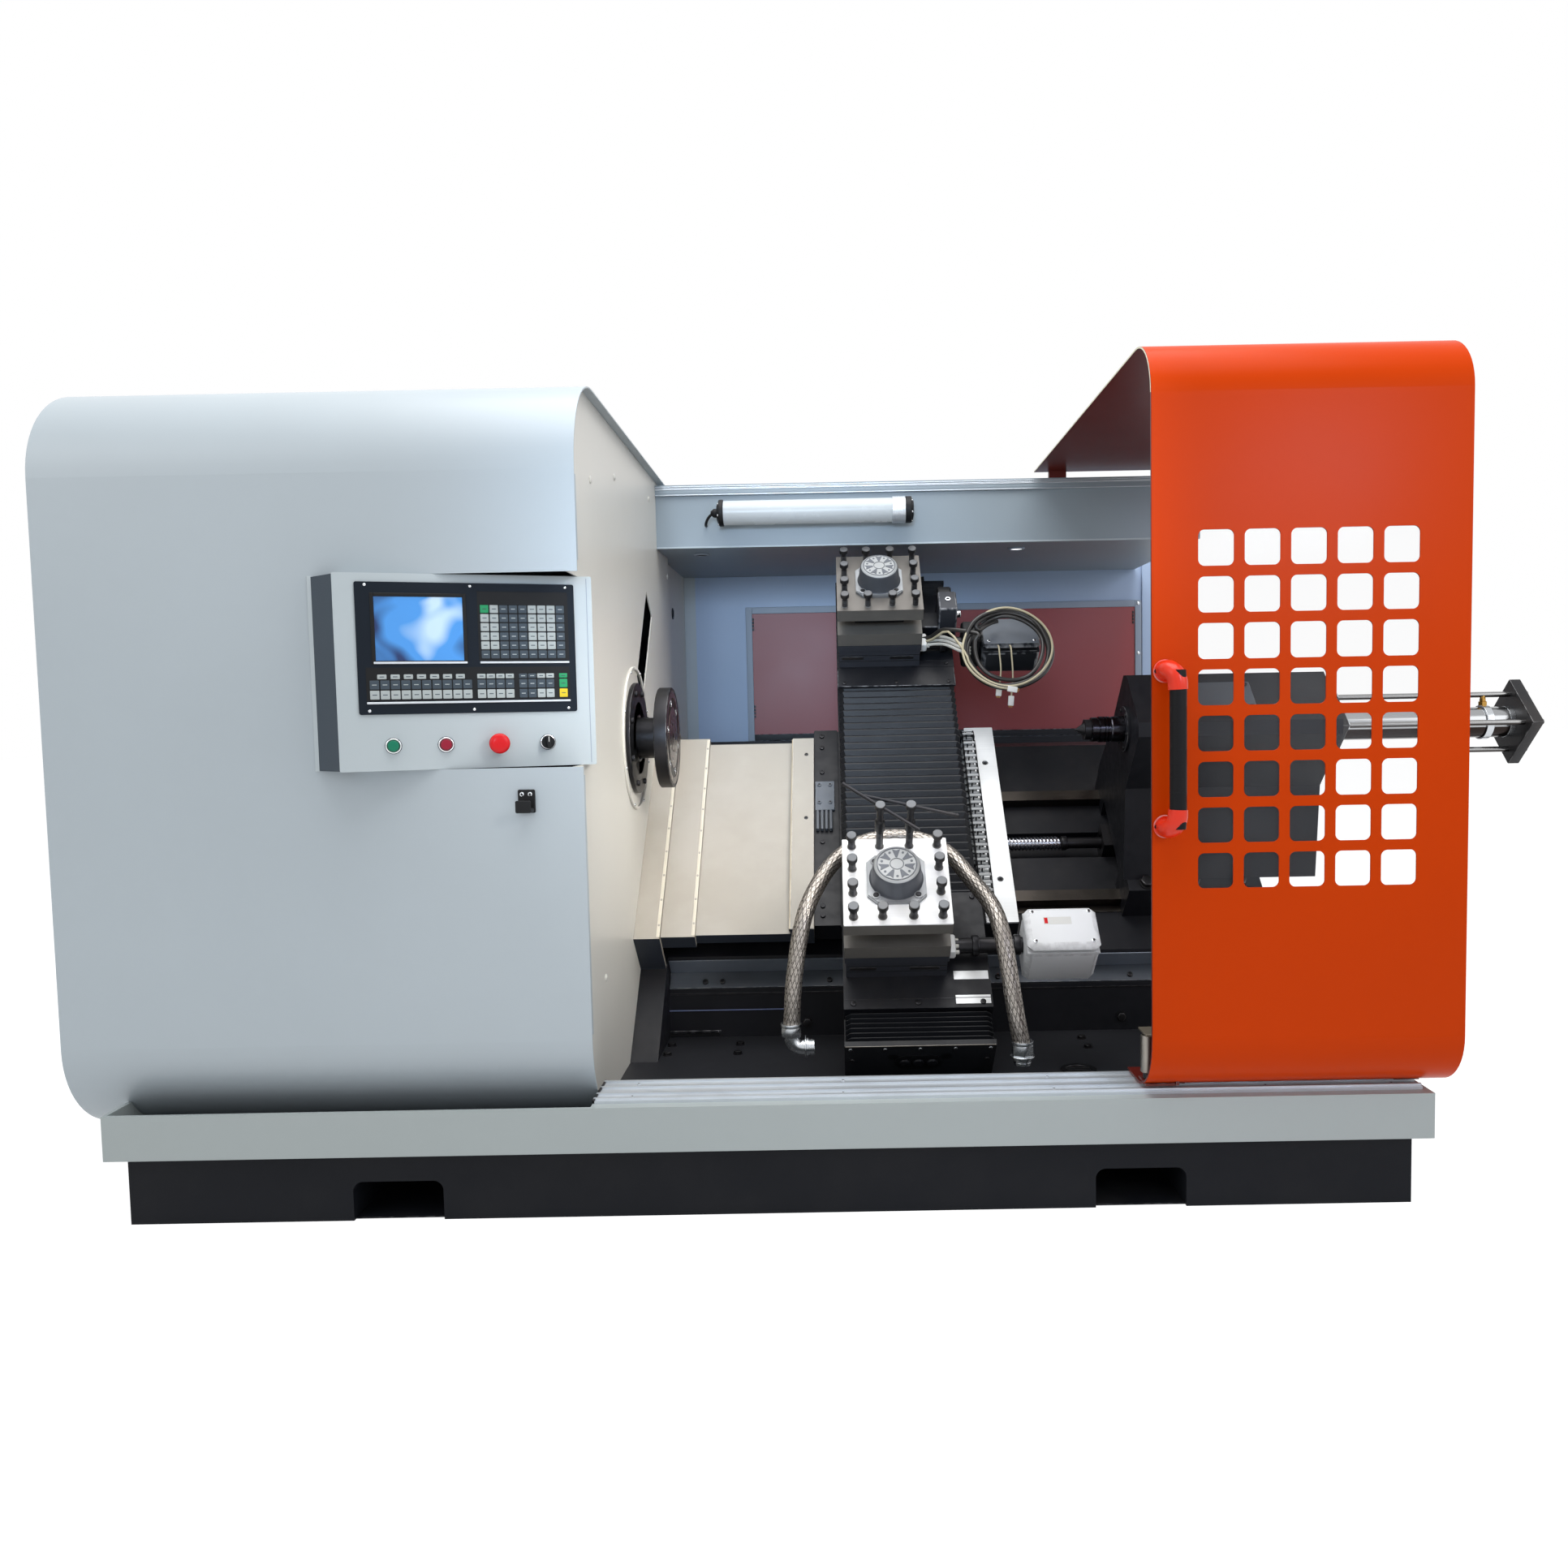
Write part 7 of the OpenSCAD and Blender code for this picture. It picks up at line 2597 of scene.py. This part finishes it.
        # Notches drawn as dark boxes: painted shade.
        for a, b in ((x0 + 8, x0 + 70), (x1 - 86, x1 - 18)):
            shape.box((a, b), (front - 1.4, front + 0.4), (-134, -122), BOLT_BLACK, 0.8)
        for x, axis in ((x0, "-x"), (x1, "x")):
            for s in (self.s - 100, self.s + 100):
                shape.cap_screw((x, s, -120), 5, 2.6, DARK_STEEL, axis)
        shape.box((x1 - 1, x1 + 22), (self.s - 92, self.s - 40), (-131, -103), WHITE_PLASTIC, 4)
        for s in (self.s - 82, self.s - 66, self.s - 50):
            shape.rod(5, (x1 + 18, x1 + 30), CABLE_GREY, "x", (0, s, -117), 1, 14)
        shape.piece(self.side.value + "_turret_base_trim", self.side.value + "_slide", "casting_black")

    def motor(self) -> None:
        """Drive tube and the motor's box with its lid and screws, and what else is on each."""
        front = self.side is Side.FRONT
        name = self.side.value + "_turret_motor"
        low, high = span_box(name, SLOPE)
        x0, x1, n0, n1 = high.x - 167, high.x, low.z, high.z
        case, tube = (MOTOR_GREY, DARK_STEEL) if front else (MOTOR_BLACK, BOLT_BLACK)
        tube_at = (0, self.tubes[self.number], (n0 + n1) / 2)
        shape = Shape(SLOPE)
        shape.rod(18, (low.x, x1 - 160), tube, "x", tube_at, 1, 32)
        for x in (low.x, low.x + 62, x1 - 188):
            shape.ring((17.5, 24), (x, x + 16), tube, "x", tube_at, 32, 2)
        s0, s1 = (low.y, low.y + 114) if front else (high.y - 57 - 57, high.y)
        if not front:
            n1 -= 32
        shape.box((x0, x1), (s0, s1), (n0, n1 - 26), case, 13)
        shape.box((x0 + 1, x1 - 1), (s0 + 1, s1 - 1), (n1 - 34, n1 - 27), case, 1.5)
        shape.box((x0, x1), (s0, s1), (n1 - 29, n1), case, 13)
        for x in (x0 + 18, x1 - 18):
            for s in (s0 + 17, s1 - 17):
                shape.cap_screw((x, s, n1 - 1.0), 5, 2.0, ZINC)
        if front:
            shape.box((x0 + 42, x0 + 106), (s0 + 62, s0 + 82), (n1 - 0.5, n1 + 0.5), WHITE_PLASTIC, 0.3)
            shape.box((x0 + 44, x0 + 52), (s0 + 64, s0 + 80), (n1 + 0.4, n1 + 0.7), STOP_RED, 0.1)
        else:
            shape.box((x0 - 56, x0 - 2), (s0 + 14, s1 - 10), (n0 + 12, n1 + 4), BLACK_PLASTIC, 7)
            shape.box((x0 + 4, x1 - 6), (s0 + 4, s1 - 4), (n1 - 0.4, n1 + 0.6), PLATE_GREY, 0.4)
            shape.box((393, 460), (s1 - 14, s1 + 52), (-150, -104), CAST_BLACK, 3)
            shape.box((452, 506), (s1 - 22, s1 + 60), (-150, n1 + 58), CAST_BASE, 5)
            shape.ring((4, 9), (n1 + 58, n1 + 61), ZINC, "z", (480, s1 + 22, 0), 20, 1)
            shape.rod(11, (505, 522), CHROME, "x", (0, s1 + 30, n1 - 6), 2, 24)
            shape.box((453, 494), (s1 + 58, s1 + 92), (-140, n1 + 50), BLACK_PLASTIC, 5)
        shape.piece(self.side.value + "_motor_case", self.side.value + "_slide",
                    "light_box_paint" if front else "black_paint", [name])


# ---------------------------------------------------------------- tailstock and door

@dataclass
class Tailstock:
    """Tailstock with quill, live centre and hydraulic cylinder."""

    quill_r: float = 33.5
    barrel_r: float = 39.5
    nose: Sequence[Point2] = (
        (5, 0), (2, 2), (2, 16), (5, 17), (5, 20), (0, 21), (0, 30), (3, 31), (3, 33), (0, 34), (0, 38),
        (3, 39), (3, 41), (0, 42), (0, 47), (2.5, 48), (2.5, 52), (0.4, 54), (0.4, 140))
    plate_half: float = 77.0
    rod_pitch: float = 49.5
    foot_n: float = -297.0

    def build(self) -> None:
        """Finishes the live centre and builds the quill and the cylinder."""
        coat(DARK_STEEL, "live_centre")
        self.quill()
        self.body_trim()
        self.cylinder()
        self.hydraulics()

    def quill(self) -> None:
        """Quill with a ringed nose nut."""
        low, high = span_box("quill", SLOPE)
        x0, x1, r = low.x, high.x, self.quill_r - 0.5
        shape = Shape(SLOPE)
        shape.lathe([(r - dip, x0 + along) for dip, along in self.nose], QUILL_STEEL, "x", 56)
        shape.rod(r - 0.6, (x0 + 139, x1), GROUND, "x", (0, 0, 0), 1, 40)
        shape.piece("quill_turned", "quill", "ground_steel", ["quill"])

    def body_trim(self) -> None:
        """Bolts, oil cover, wiper ring and side plate of the tailstock's casting."""
        low, high = span_box("tailstock", SLOPE)
        x0, top = low.x, high.z
        shape = Shape(SLOPE)
        shape.ring((self.quill_r + 1, 58), (x0 - 7, x0 + 1), CAST_BLACK, "x", (0, 0, 0), 48, 0.6)
        for place in around(6, 49, 30):
            shape.cap_screw((x0 - 7, *place), 4.5, 3.4, DARK_STEEL, "-x")
        shape.box((x0 + 120, x0 + 300), (-50, 50), (top - 1, top + 4), STEP_GREY, 2)
        for x in (x0 + 132, x0 + 288):
            for s in (-38, 38):
                shape.cap_screw((x, s, top + 4), 5.5, 3, DARK_STEEL)
        shape.rod(8, (top, top + 22), DARK_STEEL, "z", (x0 + 60, 0, 0), 2, 20)
        for s in (low.y + 24, high.y - 24):
            for x in (x0 + 60, x0 + 180, x0 + 300):
                shape.hex_bolt((x, s, self.foot_n), 30, 14, DARK_STEEL)
        shape.piece("tailstock_trim", "machine", "dark_steel")

    def cylinder(self) -> None:
        """Barrel, two end plates and four tie rods with nuts."""
        low, high = span_box("cylinder_frame", SLOPE)
        plates = ((low.x, low.x + 30), (high.x - 48, high.x - 18))
        half, pitch, r = self.plate_half, self.rod_pitch, self.barrel_r
        shape = Shape(SLOPE)
        for a, b in plates:
            shape.box((a, b), (-half, half), (-half, half), BOLT_BLACK, 2.5)
        for s in (-pitch, pitch):
            for n in (-pitch, pitch):
                # The rods' faces that look down are dark: painted reflection.
                shape.rod(7, (low.x, high.x), ROD_STEEL, "x", (0, s, n), 1.5, 18)
                for x in (plates[0][1], plates[1][1]):
                    shape.lathe([(12.5, 0), (12.5, 9), (11, 11)], ZINC, "x", 6, (x, s, n))
                    shape.ring((7.2, 13), (x, x + 1.6), ZINC, "x", (0, s, n), 20)
        shape.piece("cylinder_plates_and_rods", "machine", "dark_steel", ["cylinder_frame"])
        barrel = Shape(SLOPE)
        # The barrel's faces that look down are dark: painted reflection.
        barrel.rod(r - 0.5, (plates[0][1], plates[1][0]), BARREL_STEEL, "x", (0, 0, 0), 0.5, 64)
        for x in (plates[0][1], plates[1][0] - 14):
            barrel.ring((r - 1, r), (x, x + 14), ZINC, "x", (0, 0, 0), 56, 1)
        barrel.piece("cylinder_barrel_polished", "machine", "zinc", ["cylinder_barrel"])

    def hydraulics(self) -> None:
        """Clamp ring round the barrel with a brass port."""
        right = span_box("cylinder_frame", SLOPE)[1].x - 78
        fittings = Shape(SLOPE)
        fittings.local = Matrix.Translation((right - 36, 0, 0)) @ Matrix.Rotation(math.radians(-45), 4, "X")
        fittings.ring((39.4, 44), (-9, 9), ZINC, "x", (0, 0, 0), 40, 1)
        fittings.lathe([(11, 43), (11, 52), (8, 54), (8, 60)], BRASS, "z", 6)
        fittings.lathe([(6.5, 59), (6.5, 70)], BRASS, "z", 16)
        fittings.piece("port_fittings", "machine", "zinc")


@dataclass
class Door:
    """Sliding door with windows, edge strip, handle, roller and guides."""

    handle_x: float = 780.0
    handle_y: float = -1084.0
    grip: Span = (786.0, 1040.0)
    handle_ends: Span = (752.0, 1074.0)
    grip_r: float = 15.5
    corner_r: float = 110.0
    sheet: float = 3.2
    foot_y: float = -850.0

    def build(self) -> None:
        """Finishes the door and builds its fittings."""
        coat(DOOR_ORANGE, "door")
        coat(CLEAR, "door_window")
        self.edge()
        self.handle()
        self.roller()
        self.sheet_holders()

    def edge(self) -> None:
        """Dark red strip of painted shade over the door's left end all round, with a pale painted highlight
        on the top bend's edge.
        """
        low, high = span_box("door")
        x, front, back, top, foot = low.x, low.y, high.y, high.z, low.z
        r, t = self.corner_r, self.sheet
        upper, lower = (front + r, top - r), (front + r, foot + r)
        outer = [(back, top), *bend(upper, 90, r), *bend(lower, 180, r)]
        inner = [(back, top - t), *bend(upper, 90, r - t), *bend(lower, 180, r - t)]
        outline = [*outer, (self.foot_y, foot), (self.foot_y, foot + t), *reversed(inner)]
        shape = Shape()
        shape.prism(outline[::-1], (x - 0.8, x + 0.4), DOOR_ORANGE_SHADED, "x")
        top_edge = [(back, top), *bend(upper, 90, r), *reversed(bend(upper, 90, r - t)), (back, top - t)]
        # The top bend's edge is pale cream: painted highlight.
        shape.prism(top_edge[::-1], (x - 1.1, x - 0.7), EDGE_HIGHLIGHT, "x")
        shape.piece("door_edge_strip", "door", "orange_paint")

    def handle(self) -> None:
        """Rubber grip between two glossy end caps that curve to the door."""
        x, y, (g0, g1), (z0, z1) = self.handle_x, self.handle_y, self.grip, self.handle_ends
        front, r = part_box("door")[0].y / MM, self.grip_r
        shape = Shape()
        profile = [(r - 1.5, g0 - 20), (r, g0 + 2), (r, (g0 + g1) / 2), (r, g1 - 2), (r - 1.5, g1 + 20)]
        shape.lathe(profile, GRIP_BLACK, "z", 32, (x, y, 0))
        for k in range(9):
            z = g0 + 22 + k * (g1 - g0 - 44) / 8
            shape.ring((r - 0.6, r + 0.3), (z - 1, z + 1), GRIP_BLACK, "z", (x, y, 0), 32, 0.4)
        for end, way in ((z0, 1), (z1, -1)):
            knee = ((0, y + 2, 50), (-1, y + 2, 34), (-5, y + 5, 21), (-11, y + 15, 14), (-13, y + 28, 13),
                    (-13, front - 1, 13))
            shape.tube(smooth_line([(x + dx, at, end + dz * way) for dx, at, dz in knee], 6), 18, CAP_RED, 36)
            shape.rod(22, (front - 5, front), CAP_RED, "y", (x - 13, 0, end + 15 * way), 2, 36)
            shape.lathe([(4, 0), (4, 0.6)], BLACK_PLASTIC, "-y", 12, (x - 30, front - 5.2, end + 15 * way))
        shape.piece("door_grip", "door", "black_plastic", ["door_handle"])

    def roller(self) -> None:
        """Bright guide roller inside the lower left corner and the plates that carry it, two of them in the
        door's orange as painted shade.
        """
        low = span_box("door")[0]
        x, y, foot = low.x + 16, low.y + 96, low.z
        shape = Shape()
        shape.rod(14, (foot + 22, foot + 98), GROUND, "z", (x, y, 0), 2, 36)
        shape.rod(9, (foot + 8, foot + 106), DARK_STEEL, "z", (x, y, 0), 1, 20)
        shape.box((x - 14, x + 52), (y - 34, y + 18), (foot + 3.2, foot + 9), DOOR_ORANGE_SHADED, 1)
        shape.box((x - 14, x + 52), (y - 40, y + 18), (foot + 104, foot + 109), EDGE_DARK, 1)
        shape.box((x + 46, x + 52), (y - 40, y + 18), (foot + 6, foot + 108), DOOR_ORANGE_SHADED, 1)
        shape.piece("door_roller", "door", "dark_steel")

    def sheet_holders(self) -> None:
        """Holders of the clear sheet inside the door, dark red as painted shade, and small screws."""
        low, high = span_box("door_window")
        shape = Shape()
        y = high.y
        for x in (low.x + 10, (low.x + high.x) / 2, high.x - 10):
            for z in (low.z + 9, high.z - 9):
                shape.hex_bolt((x, y, z), 9, 5, ZINC, "y")
        for z in ((high.z - 3, high.z + 2), (low.z - 2, low.z + 3)):
            shape.box((low.x - 3, high.x + 3), (y - 0.2, y + 2), z, DOOR_ORANGE_SHADED, 0.5)
        shape.piece("sheet_holders", "door", "zinc")


def main() -> None:
    """Builds the machine from its floor up, then the cords and the studio."""
    logging.basicConfig(level=logging.INFO, format="%(message)s")
    parts = (Studio(), Base(), HeadstockCover(), ControlBox(), RoofAndRear(), ServiceSide(), WayCovers(),
             Bed(), ZDrive(), SaddleUnit(), Bellows(), Turret(Side.FRONT), Turret(Side.REAR), Tailstock(),
             Door(), Cords())
    for part in parts:
        LOG.info("building %s", type(part).__name__)
        part.build()
    # The door's guides are dark red: the door's orange as painted shade.
    coat(DOOR_ORANGE_SHADED, "door_guides")


if __name__ == "__main__":
    main()
